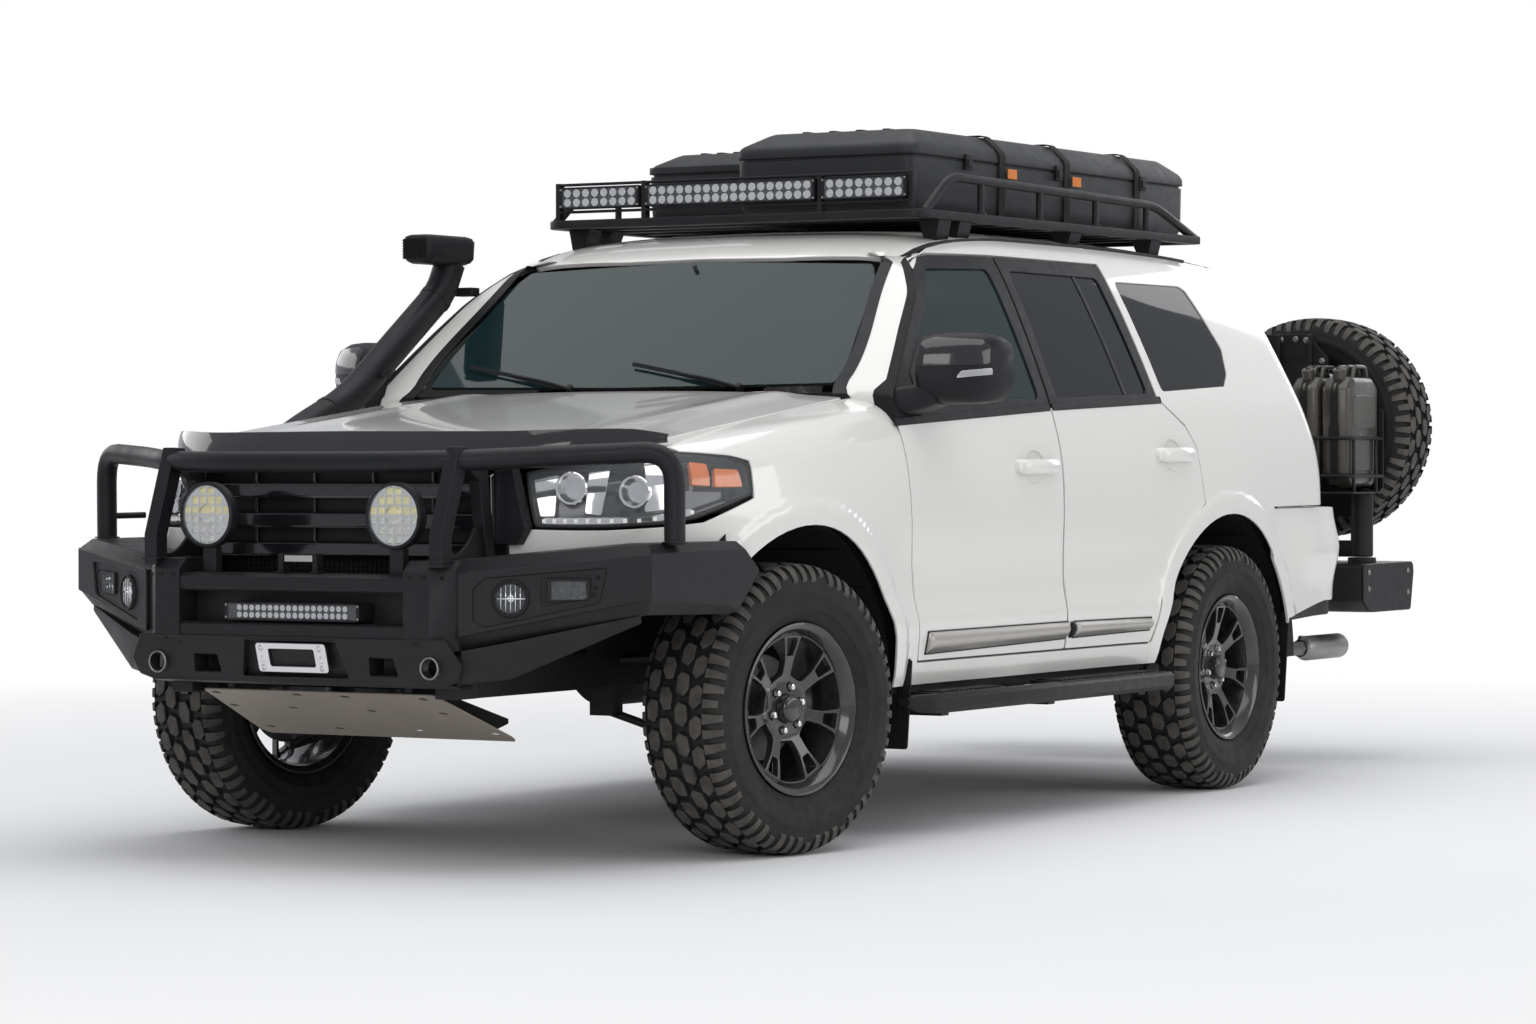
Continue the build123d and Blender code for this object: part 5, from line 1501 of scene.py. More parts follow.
def headlamp(side, sign):
    lens = panel(lamp_outline(0), [], sunk(nose_sheet, 1.5), 4, 24, 1.2)
    gasket = panel(lamp_outline(4), [lamp_outline(-7)], sunk(nose_sheet, 3), 12, 24, 1.0)
    bed = panel(lamp_outline(2), [], sunk(nose_sheet, 62), 6, 30)
    show(for_side(lens, sign), f"headlamp_lens_{side}", "vehicle", LENS, ["headlamps"])
    show(for_side(gasket, sign), f"headlamp_gasket_{side}", "vehicle", SEAL)
    show(for_side(bed, sign), f"headlamp_bed_{side}", "vehicle", GLOSS_BLACK)
    surround = lamp_block([(575, 1076), (600, 960), (640, 960), (648, 1088)], 20, 22)
    surround.join(lamp_block([(724, 1100), (712, 968), (752, 964), (778, 1108)], 24, 22))
    surround.join(lamp_block([(846, 1120), (836, 972), (872, 978), (884, 1130)], 20, 22))
    show(for_side(surround, sign), f"headlamp_surround_{side}", "vehicle", CHROME)
    rings, eyes = Shape(), Shape()
    for x, y, z, ring in PROJECTORS:
        rings.join(projector(x, y, z, ring, PROJECTOR_LOOK))
        eyes.join(lamp_eye(x, y, z, ring - 8, PROJECTOR_LOOK))
    show(for_side(rings, sign), f"headlamp_rings_{side}", "vehicle", CHROME)
    show(for_side(eyes, sign), f"headlamp_eyes_{side}", "vehicle", LENS)
    blocks, channel = led_strip()
    show(for_side(blocks, sign), f"headlamp_leds_{side}", "vehicle", LAMP_LED)
    show(for_side(channel, sign), f"headlamp_channel_{side}", "vehicle", CHROME)
    amber = lamp_block([(930, 1040), (932, 1096), (950, 1092), (952, 1040)], 12, 14)
    amber.join(lamp_block([(906, 1046), (910, 1116), (927, 1110), (926, 1042)], 12, 14))
    show(for_side(amber, sign), f"headlamp_amber_{side}", "vehicle", AMBER)


for side, sign in SIDES:
    headlamp(side, sign)
    edge = ((520, 920), (590, 925), (757, 922), (862, 930), (922, 944), (948, 900), (940, 850), (520, 850))
    strip = panel(rounded([nose_at(x, z) for x, z in edge], 6),
                  [], nose_sheet, SKIN, 26)
    show(for_side(strip, sign), f"lower_strip_{side}", "vehicle", PAINT)


# Grille

GRILLE_HALF = 478.0


def grille_bar(z_low, z_high, front):
    profile = [(-848, z_low + 4), (front + 6, z_low), (front, z_low + 5), (front + 3, z_high - 4),
               (front + 12, z_high), (-848, z_high + 3)]
    return prism(profile, "X", -GRILLE_HALF + 14, GRILLE_HALF - 14)


def grille():
    """Broad bars with a dark gap between them, held by a few uprights set back."""
    shape = Shape()
    for z_low, z_high, front in ((1094, 1130, -884), (1008, 1052, -884), (926, 970, -880),
                                 (846, 888, -876)):
        shape.join(grille_bar(z_low, z_high, front))
    shape.join(prism([(-870, 846), (-870, 1130), (-838, 1130), (-838, 846)], "X", GRILLE_HALF - 16,
                     GRILLE_HALF).both())
    for x in (-300, -100, 100, 300):
        shape.join(box(x - 5, x + 5, -852, -840, 850, 1128))
    return shape


def grille_mesh():
    """A dark back plate with a fine net that shows at the bottom."""
    shape = box(-GRILLE_HALF + 10, GRILLE_HALF - 10, -838, -834, 790, 1128)
    for x in np.linspace(-440, 440, 56):
        shape.join(box(x - 1.2, x + 1.2, -846, -840, 796, 846))
    for z in (800, 812, 824, 836):
        shape.join(box(-450, 450, -848, -843, z - 1.2, z + 1.2))
    return shape


show(grille(), "grille_bars", "vehicle", GLOSS_BLACK, ["grille"], bevel=4.0)
show(grille_mesh(), "grille_mesh", "vehicle", BLACK_TRIM)
trims = Shape().join(prism([(-832, 896), (-846, 900), (-852, 1070), (-836, 1076)], "X", 482,
                           492)).both()
show(trims, "grille_trims", "vehicle", CHROME, bevel=1.5)
wedges = prism([(486, 884), (486, 1084), (546, 1092), (588, 930), (560, 884)], "Y", -830, -792).both()
show(wedges, "grille_wedges", "vehicle", BLACK_TRIM, bevel=3)

# The dark strip that stands up along the bonnet's front edge

protector_y = smooth_curve([(0, -858), (300, -848), (480, -820), (640, -737), (790, -580), (845, -492)])
protector_top = smooth_curve([(0, 1196), (480, 1194), (640, 1198), (760, 1200), (845, 1184)])


def protector_form(x, v):
    """v runs from the bonnet's edge up and back over the strip."""
    side = np.abs(x)
    y = protector_y(side)
    base = bonnet_form(side, y + 8)[2]
    lift = (protector_top(side) - base + 6) * v / 60
    return x, y + 4 - 8 * np.sin(v / 60 * 2.6) + 0.42 * lift, base - 6 + lift


strip = panel([(-838, 0), (838, 0), (838, 60), (-838, 60)], [], lofted(protector_form), 5, 30, 1.5)
show(strip, "bonnet_protector", "bonnet", GLOSS_BLACK)


# Driving lamps, light bar and small lamps in the bull bar

LAMP_CENTRE = (315.0, -1055.0, 964.0)


def driving_lamp_body(x, y, z):
    back = [(2, 88), (8, 91), (26, 90), (44, 78), (66, 50), (78, 34), (80, 12), (80, 0.5)]
    shell = lathe(back, (x, y, z), (0, 1, 0), 56)
    ring = [(-7, 82), (-8, 86), (-4, 90.5), (6, 91.5), (12, 90), (12, 84), (0, 81)]
    shell.join(lathe(ring, (x, y, z), (0, 1, 0), 56, closed=True))
    shell.join(prism(rounded([(x - 22, y + 10), (x + 22, y + 10), (x + 22, y + 40), (x - 22, y + 40)],
                             4), "Z", 806, 876))
    shell.join(rod((x, y + 25, z - 92), (x, y + 25, z - 80), 16, 16, 2))
    return shell


def reflector(x, y, z, radius, depth):
    profile = [(depth * (1 - (r / radius) ** 2), r) for r in np.linspace(radius, 10, 9)]
    return lathe(profile + [(depth + 4, 9), (depth - 14, 7), (depth - 16, 0.5)], (x, y, z), (0, 1, 0),
                 40)


def lamp_dome(x, y, z, radius):
    """A domed front glass with a raised ring."""
    dome = [(-12 * (1 - (r / radius) ** 2) - 3, r) for r in np.linspace(radius, 1, 14)]
    shape = lathe(dome[::-1], (x, y, z), (0, 1, 0), 56)
    at = -12 * (1 - (60 / radius) ** 2) - 4
    return shape.join(lathe([(at, 58), (at - 1.5, 60), (at, 62), (at + 1.5, 60)], (x, y, z), (0, 1, 0),
                            56, closed=True))


def lamp_cells(x, y, z, radius, upper):
    """The pillow-shaped cells and the half bullseye in the glass of one half of a driving lamp."""
    shape = Shape()
    pitch, half = 27.0, 12.4
    levels = [(9, 1.0), (3, 1.0), (-1, 0.82), (-3.5, 0.42)]
    for i in range(-3, 3):
        for j in (range(0, 3) if upper else range(-3, 0)):
            a, b = (i + 0.5) * pitch, (j + 0.5) * pitch
            ring = rounded([(a - half, b - half), (a + half, b - half), (a + half, b + half),
                            (a - half, b + half)], 4, 3)
            kept = []
            for u, v in ring:
                far = math.hypot(u, v)
                k = min(1.0, radius / far) if far > 30 else 30 / max(far, 1.0)
                kept.append((u * k, v * k))
            if math.hypot(a, b) > radius - 2:
                continue
            a, b = np.mean(kept, axis=0)
            shape.join(stacked([[(x + a + (u - a) * k, y + out, z + b + (v - b) * k)
                                 for u, v in kept[::-1]] for out, k in levels]))
    turn = np.linspace(0, math.pi, 15) if upper else np.linspace(math.pi, 2 * math.pi, 15)
    eye = [(26 * math.cos(t), 26 * math.sin(t) + (1 if upper else -1)) for t in turn]
    middle = np.mean(eye, axis=0)
    rings = []
    for out, k in levels:
        rings.append([(x + middle[0] + (u - middle[0]) * k, y + out,
                       z + middle[1] + (v - middle[1]) * k) for u, v in eye[::-1]])
    return shape.join(stacked(rings))


def screw(x, y, z, radius, look=(0, -1, 0), high=4.0):
    shape = lathe([(0, radius), (high * 0.7, radius), (high, radius * 0.8), (high, radius * 0.45),
                   (high * 0.5, radius * 0.4)],
                  (x, y, z), look, 6)
    return shape.join(lathe([(-1, radius * 1.5), (high * 0.25, radius * 1.45)], (x, y, z), look, 16))


x, y, z = LAMP_CENTRE
lamp_bodies = driving_lamp_body(x, y, z).both()
show(lamp_bodies, "driving_lamp_bodies", "vehicle", BLACK_STEEL, ["driving_lamps"])
show(reflector(x, y, z, 81, 42).both(), "driving_lamp_reflectors", "vehicle", CHROME)
# The upper and lower cells differ only by painted reflections: warm above, bright white below.
show(lamp_cells(x, y, z, 79, True).both(), "driving_lamp_upper_cells", "vehicle", CELLS_PAINTED_WARM_REFLECTION)
show(lamp_cells(x, y, z, 79, False).both(), "driving_lamp_lower_cells", "vehicle", CELLS_PAINTED_BRIGHT_REFLECTION)
show(lamp_dome(x, y, z, 82).both(), "driving_lamp_lenses", "vehicle", LENS)


def lamp_bar(x_low, x_high, y, z_low, z_high, columns, depth, name, replaces=(), margin=12):
    """A bar of two rows of small cups behind a clear front, with end plates and screws."""
    rim = [(x_low, z_low), (x_high, z_low), (x_high, z_high), (x_low, z_high)]
    shell = prism(rounded(rim, 6, 3), "Y", y + 10, y + depth)
    edge = 5.0
    for a, b, c, d in ((x_low, x_high, z_low, z_low + edge), (x_low, x_high, z_high - edge, z_high),
                       (x_low, x_low + 10, z_low, z_high), (x_high - 10, x_high, z_low, z_high)):
        shell.join(box(a, b, y - 1, y + 12, c, d))
    for k in range(7):
        fin = z_low + 4 + (z_high - z_low - 8) * k / 6
        shell.join(box(x_low + 16, x_high - 16, y + depth - 2, y + depth + 8, fin - 1.2, fin + 1.2))
    show(shell, f"{name}_housing", "vehicle", BLACK_TRIM, replaces, bevel=1.2)
    cups, dots = Shape(), Shape()
    width = (x_high - x_low - 2 * margin) / columns
    tall = (z_high - z_low - 2 * edge) / 2
    cup = min(width, tall) / 2 - 0.6
    for k in range(columns):
        for row in (0.5, 1.5):
            place = (x_low + margin + width * (k + 0.5), y + 9, z_low + edge + tall * row)
            cups.join(lathe([(-7, cup), (-7, cup - 0.8), (-1, cup * 0.62), (1, 2.5), (1, 0.5)], place,
                            (0, 1, 0), 16))
            dots.join(lathe([(-1.5, 2.6), (0.5, 2.6)], place, (0, 1, 0), 8))
    show(cups, f"{name}_cups", "vehicle", CHROME)
    show(dots, f"{name}_leds", "vehicle", LAMP_LED)
    pane = box(x_low + 9, x_high - 9, y + 0.5, y + 3, z_low + edge - 1, z_high - edge + 1)
    show(pane, f"{name}_pane", "vehicle", LENS)
    screws = Shape()
    for at in (x_low + 5, x_high - 5):
        for high in (z_low + 8, z_high - 8):
            screws.join(screw(at, y - 1, high, 2.4, high=1.6))
    show(screws, f"{name}_screws", "vehicle", STEEL)


lamp_bar(-226, 226, -1092, 677, 727, 18, 62, "light_bar", replaces=["light_bar"], margin=38)

# Bull bar: centre boxes, beams, pan, swept wings, uprights and hoop

WING_START = np.array([524.0, -1060.0])
WING_ALONG = np.array([451.0, 254.0]) / math.hypot(451.0, 254.0)


def pan_face(x, z):
    return x, -1103.5 + (630 - z) * 33 / 118 + 0 * x, z


def wing_face(a, z):
    """The wing's flat front face: a runs outwards along it and z is the height."""
    return WING_START[0] + WING_ALONG[0] * a, WING_START[1] + WING_ALONG[1] * a, z + 0 * a


pan_sheet = lofted(pan_face)
wing_sheet = lofted(wing_face)


def flat_on(sheet, a, b, lift):
    here, normal = sheet(a, b)
    return here + normal * lift, normal


def bar_boxes():
    """Two boxes with cut front corners and a sloped front edge on top."""
    levels = [(602, 8), (612, 0), (814, 0), (845, 34)]
    rings = []
    for z, back in levels:
        plan = [(376, -1103 + back), (462, -1100 + back), (518, -1046 + back * 0.4), (518, -940),
                (376, -940)]
        rings.append([(x, y, z) for x, y in plan])
    return stacked(rings)


def bar_beams():
    upper = [(-1090, 756), (-1098, 763), (-1098, 796), (-1080, 806), (-1010, 806), (-1010, 756)]
    lower = [(-1098, 622), (-1098, 664), (-1086, 672), (-1010, 672), (-1010, 622)]
    shape = prism(upper, "X", -378, 378)
    shape.join(prism(lower, "X", -378, 378))
    shape.join(box(-380, 380, -1020, -1012, 620, 800))
    return shape


POD = [(41, 684), (42, 769), (74, 798), (400, 825), (380, 737), (363, 728), (74, 668)]
WING_PLATE = [(0, 640), (517, 741), (517, 863), (0, 811)]


def wing_body():
    """The wing's solid, cut back by the thickness of its front plate."""
    out = np.array([WING_ALONG[1], -WING_ALONG[0]])

    def ring(front, back, heights):
        low, face_low, face_top, ridge = heights
        near, chamfer = front
        return [(*back, low), (*chamfer, low), (*near, face_low), (*near, face_top), (*chamfer, ridge),
                (*back, ridge)]

    first = WING_START - out * 9.5
    inner = ring((first, first - out * 24), (first - out * 130), (602, 639, 812, 848))
    fold = ring(((972, -800), (944, -778)), (834, -690), (698, 742, 863, 889))
    side = ring(((984, -420), (958, -420)), (884, -420), (690, 716, 866, 890))
    tail = [(884, -385, 688), (960, -385, 688), (985, -372, 700), (985, -330, 866), (962, -345, 890),
            (884, -345, 890)]
    point = [(890, -262, 792), (962, -262, 794), (985, -258, 803), (985, -258, 810), (962, -262, 815),
             (890, -262, 815)]
    start = first - WING_ALONG * 46 - out * 22
    hidden = ring((start, start - out * 24), (start - out * 100), (612, 645, 806, 840))
    return stacked([hidden, inner, fold, side, tail, point])


def wing_lower_plate():
    rings = []
    for x, y, low, top in ((524, -1046, 514, 604), (640, -984, 528, 628), (930, -792, 676, 698)):
        rings.append([(x - 14, y + 30, low + 4), (x, y + 6, low), (x, y, low + 8), (x, y, top),
                      (x - 14, y + 30, top)])
    return stacked(rings)


def pan():
    outline = [(-552, 566), (-512, 634), (512, 634), (552, 566), (536, 522), (492, 508), (-492, 508),
               (-536, 522)]
    squares = [[(250, 532), (342, 532), (334, 582), (256, 582)],
               [(-250, 532), (-256, 582), (-334, 582), (-342, 532)]]
    bores = [circle((457, 558), 27, 32), circle((-457, 558), 27, 32)]
    recess = [(-178, 524), (178, 524), (150, 628), (-150, 628)]
    shape = panel(rounded(outline, 8), [rounded(hole, 5) for hole in squares + [recess]] + bores,
                  pan_sheet, 9, 40, 2)
    shape.join(prism([(-1074, 508), (-1000, 498), (-940, 498), (-940, 506), (-1000, 507), (-1070, 518)],
                     "X", -492, 492))
    shape.join(panel([(-186, 516), (186, 516), (158, 634), (-158, 634)], [], sunk(pan_sheet, 26), 5,
                     60))
    for sign in (-1, 1):
        side = [(sign * 178, 524), (sign * 182, 524), (sign * 154, 630), (sign * 150, 630)]
        shape.join(panel(side if area(side) > 0 else side[::-1], [], sunk(pan_sheet, 6), 24, 60, 0.5))
    shape.join(box(-500, 500, -1012, -1006, 508, 624))
    return shape


def upright(x_low, x_high):
    front = [(-1048, 826), (-1048, 905), (-966, 1132), (-966, 1148), (-1014, 1150), (-1098, 910),
             (-1098, 826)]
    rear = [(-878, 846), (-834, 846), (-872, 1082), (-918, 1112), (-976, 1124), (-960, 1086),
            (-914, 1058)]
    gusset = [(-1050, 846), (-878, 846), (-878, 920)] + arc((-1050, 1010), 158, -30, -76,
                                                            8) + [(-1050, 856)]
    shape = prism(front, "X", x_low, x_high)
    shape.join(prism(rear, "X", x_low + 3, x_high - 3))
    middle = (x_low + x_high) / 2
    shape.join(prism(gusset, "X", middle - 5, middle + 5))
    shape.join(box(x_low - 6, x_high + 6, -1104, -1040, 840, 847))
    return shape


HOOP_RADIUS = 29.0


def hoop():
    half = [(970, -679, 884), (970, -681, 1137), (700, -830, 1124), (490, -1000, 1112),
            (300, -1040, 1109)]
    line = half + [(-x, y, z) for x, y, z in half[::-1]]
    shape = tube(line, HOOP_RADIUS, 88, 20)
    stay = rod((968, -668, 953), (912, -576, 955), 9, 16).both()
    flange = rod((970, -679, 889), (970, -679, 893), 36, 24, 1).both()
    return shape.join(stay).join(flange)


def bar_mounts():
    shape = box(410, 482, -1000, -905, 470, 566).both()
    return shape.join(box(376, 518, -960, -905, 560, 845).both())


show(bar_boxes().both(), "bar_boxes", "vehicle", BLACK_STEEL, ["bull_bar"], bevel=3)
show(bar_beams(), "bar_beams", "vehicle", BLACK_STEEL, bevel=3)
show(pan(), "bar_pan", "vehicle", BLACK_STEEL)
show(upright(458, 500).both(), "bar_uprights", "vehicle", BLACK_STEEL, bevel=2.5)
show(hoop(), "bar_hoop", "vehicle", BLACK_STEEL)
show(bar_mounts(), "bar_mounts", "vehicle", BLACK_STEEL, bevel=2)
for side, sign in SIDES:
    show(for_side(wing_body(), sign), f"bar_wing_{side}", "vehicle", BLACK_STEEL,
         bevel=2.5)
    plate = panel(WING_PLATE, [rounded(POD, 8)], wing_sheet, 9.5, 40, 3)
    show(for_side(plate, sign), f"bar_wing_plate_{side}", "vehicle", BLACK_STEEL)
    show(for_side(wing_lower_plate(), sign), f"bar_wing_foot_{side}", "vehicle", BLACK_STEEL,
         bevel=2.5)


# Fittings of the pan and the boxes

rims = lathe([(-8, 25.5), (-11, 28), (-8, 31), (26, 31), (26, 25.5)], (457, -1088, 558), (0, 1, 0), 36,
             closed=True).both()
show(rims, "recovery_rims", "vehicle", STEEL)
tunnels = Shape()
for a, b, c, d in ((249, 343, 530, 534), (249, 343, 580, 584), (247, 251, 531, 583),
                   (341, 345, 531, 583)):
    tunnels.join(box(a, b, -1072, -1014, c, d))
show(tunnels.both(), "recovery_tunnels", "vehicle", BLACK_STEEL)


def fairlead():
    outer = rounded([(-118, 536), (118, 536), (118, 618), (-118, 618)], 12)
    inner = rounded([(-76, 554), (76, 554), (76, 600), (-76, 600)], 6)
    shape = panel(outer, [inner], sunk(pan_sheet, -3), 11, 40, 3)
    for x in (-98, 98):
        for z in (550, 604):
            here, normal = flat_on(pan_sheet, float(x), float(z), 3.0)
            shape.join(screw(*here, 6, look=normal, high=1.8))
        here, normal = flat_on(pan_sheet, float(x), 577.0, -2.0)
        shape.join(rod(here - np.array((0, 0, 14)), here + np.array((0, 0, 14)), 7, 16, 2))
    return shape


show(fairlead(), "fairlead_frame", "vehicle", CHROME)
guide = panel([(-80, 550), (80, 550), (80, 604), (-80, 604)], [], sunk(pan_sheet, 10), 4, 60, 0.5)
show(guide, "fairlead_back", "vehicle", BLACK_TRIM)
slots = Shape()
for at, z in ((398, 800), (440, 800), (484, 800), (420, 626)):
    y = -1103.2 if at < 470 else -1080
    slots.join(prism(rounded([(at - 8, z - 4), (at + 8, z - 4), (at + 8, z + 4), (at - 8, z + 4)], 3),
                     "Y", y, y + 6))
show(slots.both(), "bar_slots", "vehicle", SEAL)
bright = box(-48, 48, -1060, -1048, 837, 855)
show(bright, "centre_bar", "vehicle", ALUMINIUM, bevel=2)
holders = Shape()
for at in (-57, 57):
    holders.join(box(at - 8, at + 8, -1064, -1034, 812, 860)).join(box(at - 14, at + 14, -1068, -1030,
        806, 812))
show(holders, "centre_bar_holders", "vehicle", BLACK_TRIM, bevel=2)


# Pods with a round and a square lamp in each wing

ROUND_AT = (142.0, 744.0)


def pod_floor():
    inner = inset(rounded(POD, 8), -3)
    square = rounded([(222, 722), (357, 744), (357, 806), (222, 800)], 8)
    return panel(inner, [circle(ROUND_AT, 45, 36), square], sunk(wing_sheet, 7), 4, 40, 0.5)


def pod_round():
    here, normal = flat_on(wing_sheet, *ROUND_AT, -5.0)
    bowl = lathe([(-6, 43), (-6, 51), (3, 51), (7, 48), (7, 44.5), (0, 43.5)], here, normal, 44,
                 closed=True)
    cone = lathe([(2, 43), (-3, 34), (-4, 18), (-4, 0.5)], here, normal, 36)
    cross = Vector(normal).cross(Vector((0, 0, 1))).normalized()
    ribs = Shape()
    for offset in (-26, -13, 0, 13, 26):
        reach = math.sqrt(43 ** 2 - offset ** 2) - 1
        middle = Vector(here) + cross * offset + Vector(normal) * 3
        ribs.join(sweep([middle - Vector((0, 0, reach)), middle, middle + Vector((0, 0, reach))],
                        circle((0, 0), 1.6, 6)))
    level = Vector(here) + Vector(normal) * 3
    ribs.join(sweep([level - cross * 42, level, level + cross * 42], circle((0, 0), 2.6, 8)))
    glass = lathe([(3, 43.5), (6, 34), (8, 16), (8.5, 0.5)], here, normal, 40)
    return bowl, cone, glass, ribs


def pod_square():
    outer = rounded([(238, 733), (354, 741), (354, 797), (238, 797)], 8)
    inner = rounded([(251, 741), (344, 742), (344, 790), (251, 790)], 5)
    shell = panel(outer, [inner], sunk(wing_sheet, 1), 10, 40, 2)
    cups = Shape()
    for a in (263, 286, 309, 332):
        for b in (754, 778):
            here, normal = flat_on(wing_sheet, float(a), float(b), -7.0)
            cups.join(lathe([(2, 11), (2, 10), (-1, 5), (-1.5, 0.5)], here, normal, 16))
    cups.join(panel(inset(inner, 1), [], sunk(wing_sheet, 8.5), 2, 60, 0.5))
    pane = panel(inset(inner, -1), [], sunk(wing_sheet, 2.5), 2, 60, 0.5)
    return shell, cups, pane


pod_plate = pod_floor()
bowl, cone, glass, ribs = pod_round()
shell, cups, pane = pod_square()
marks = Shape()
for a, b in ((375, 799), (368, 772), (364, 755)):
    here, normal = flat_on(wing_sheet, float(a), float(b), -7.0)
    marks.join(screw(*here, 5, look=normal))
for side, sign in SIDES:
    show(for_side(pod_plate, sign), f"pod_panel_{side}", "vehicle", BLACK_STEEL)
    show(for_side(bowl, sign), f"pod_round_{side}", "vehicle", BLACK_TRIM,
         ["pod_lamps"])
    show(for_side(shell, sign), f"pod_square_{side}", "vehicle", BLACK_TRIM)
    show(for_side(Shape().join(cone).join(cups).join(ribs), sign), f"pod_reflectors_{side}", "vehicle",
         CHROME)
    show(for_side(Shape().join(glass).join(pane), sign), f"pod_lenses_{side}", "vehicle", LENS)
    show(for_side(marks, sign), f"pod_bolts_{side}", "vehicle", BLACK_TRIM)


# Bare skid plate with oval holes

def skid_place(x, s):
    """s runs down and back along the plate from its front edge."""
    return x, -977 + s * 0.9265 + 0 * x, 477 - s * 0.3764 + 0 * x


skid_outline = [(-389, 0), (389, 0), (430, 340), (424, 374), (-412, 374), (-430, 340)]
skid_holes = []
for x, s in ((-362, 26), (-85, 26), (74, 31), (334, 32), (-376, 136), (-177, 144), (87, 148),
             (324, 150), (-374, 317), (-134, 314), (141, 312), (392, 318)):
    skid_holes.append([(x + 16 * math.cos(t), s + 11 * math.sin(t))
                       for t in np.linspace(0, 2 * math.pi, 17)[:-1]])
skid = panel(rounded(skid_outline, 10), skid_holes, flipped(lofted(skid_place)), 5, 60, 1)
# The plate's brown tone is partly a painted reflection of the ground.
show(skid, "skid_plate_skin", "vehicle", SKID_METAL_WITH_PAINTED_REFLECTION, ["skid_plate"])
for x in (-300, 300):
    rib = prism([(-968, 500), (-968, 482), (-640, 349), (-620, 349), (-500, 376), (-500, 390),
                 (-900, 500)], "X", x - 12, x + 12)
    show(rib, f"skid_rib_{'left' if x > 0 else 'right'}", "vehicle", BLACK_STEEL,
         bevel=1)


# Roof rack with its lamps and cases

RACK_HALF = 700.0
RACK_LOW, RACK_TOP = 1862.0, 1890.0
RACK_FRONT, RACK_BACK = 1211.0, ra(417)
SLATS = 12
FIRST_SLAT = 1336.0
LIGHT_HALF = RACK_HALF - 43


def rack_frame():
    shape = Shape()
    rail = rounded([(-20, -14), (20, -14), (20, 14), (-20, 14)], 6, 3)
    height = (RACK_LOW + RACK_TOP) / 2
    edge = RACK_HALF - 20
    around = [(edge, RACK_BACK - 22, height), (edge, RACK_FRONT + 24, height),
              (-edge, RACK_FRONT + 24, height), (-edge, RACK_BACK - 22, height)]
    shape.join(sweep(bent(around, 46), rail))
    shape.join(sweep([(-edge, RACK_BACK - 24, height), (edge, RACK_BACK - 24, height)], rail))
    return shape


def rack_slats():
    shape = Shape()
    step = (ra(367) - FIRST_SLAT) / SLATS
    profile = rounded([(-23, 0), (23, 0), (23, 16), (17, 18), (-17, 18), (-23, 16)], 3, 2)
    for k in range(SLATS):
        y = FIRST_SLAT + step * k
        shape.join(prism([(y + a, RACK_LOW + 6 + b) for a, b in profile], "X", -RACK_HALF + 36,
                         RACK_HALF - 36))
    return shape


def rack_rails():
    line = [(RACK_HALF - 20, 1263, RACK_TOP - 8), (RACK_HALF - 20, 1428, 2000),
            (RACK_HALF - 20, ra(68), 1980), (RACK_HALF - 20, ra(392), RACK_TOP - 8)]
    shape = tube(line, 15, 70)
    for y in (1640, 2050, 2460, ra(0)):
        top = 2000 - (y - 1428) * 20 / (ra(68) - 1428)
        shape.join(rod((RACK_HALF - 20, y, RACK_TOP - 8), (RACK_HALF - 20, y, top), 11, 14))
        shape.join(lathe([(0, 18), (6, 17), (9, 12)], (RACK_HALF - 20, y, RACK_TOP - 1), (0, 0, 1), 16))
    return shape.both()


def rack_feet():
    shape = Shape()
    for y in (1390, 1528, 2304, ra(68)):
        base = ditch_height(y) + 2
        foot = [(RACK_HALF - 90, RACK_LOW + 2), (RACK_HALF - 12, RACK_LOW + 2),
                (RACK_HALF - 16, RACK_LOW - 12), (RACK_HALF - 26, base + 8), (RACK_HALF - 30, base),
                (RACK_HALF - 6 - 22, base - 6), (RACK_HALF - 20, base - 12), (RACK_HALF - 44, base - 2),
                (RACK_HALF - 70, base + 14)]
        shape.join(prism(rounded(foot, 3, 2), "Y", y - 40, y + 40))
    return shape.both()


def rack_light_frame():
    shape = Shape()
    for z in (1917, 2005):
        shape.join(box(-LIGHT_HALF, LIGHT_HALF, 1229, 1257, z - 4, z + 4))
    for x in (5 - LIGHT_HALF, -325, 325, LIGHT_HALF - 5):
        shape.join(box(x - 8, x + 8, 1228, 1258, RACK_TOP - 2, 2010))
    return shape


show(rack_frame(), "rack_frame", "vehicle", BLACK_STEEL, ["roof_rack"])
show(rack_slats(), "rack_slats", "vehicle", BLACK_STEEL)
show(rack_rails(), "rack_rails", "vehicle", BLACK_STEEL)
show(rack_feet(), "rack_feet", "vehicle", BLACK_TRIM, bevel=1.5)
show(rack_light_frame(), "rack_light_frame", "vehicle", BLACK_STEEL, bevel=2)
for name, x_low, x_high, columns in (("right", -LIGHT_HALF + 17, -337, 8), ("middle", -313, 313, 18),
                                     ("left", 337, LIGHT_HALF - 17, 8)):
    lamp_bar(x_low, x_high, 1220, 1926, 1996, columns, 40, f"rack_lamp_{name}", replaces=["rack_lamps"]
             if name == "left" else ())


def case_shell(x_low, x_high, y_low, y_high, seam, top, edge):
    low = RACK_TOP - 4
    levels = [
        (low, 30), (low + 10, 16), (low + 34, 4), (low + 60, 2), (seam - 8, 0), (seam - 5, 0),
        (seam - 4, 6), (seam + 3, 6),
        (seam + 4, -3), (seam + 8, -4), (seam + 26, -3), (top - edge + 2, 3), (top - edge + 10, 9),
        (top - 8, edge), (top - 2, edge + 10), (top, edge + 24),
    ]
    rings = []
    for z, tuck in levels:
        lean = 0.75 * max(0.0, tuck - 4) if z > seam + 10 else 0.0
        corners = [(x_low + tuck, y_low + tuck + lean), (x_high - tuck, y_low + tuck + lean),
                   (x_high - tuck, y_high - tuck), (x_low + tuck, y_high - tuck)]
        rings.append([(x, y, z) for x, y in rounded(corners, 46, 6)])
    return stacked(rings)


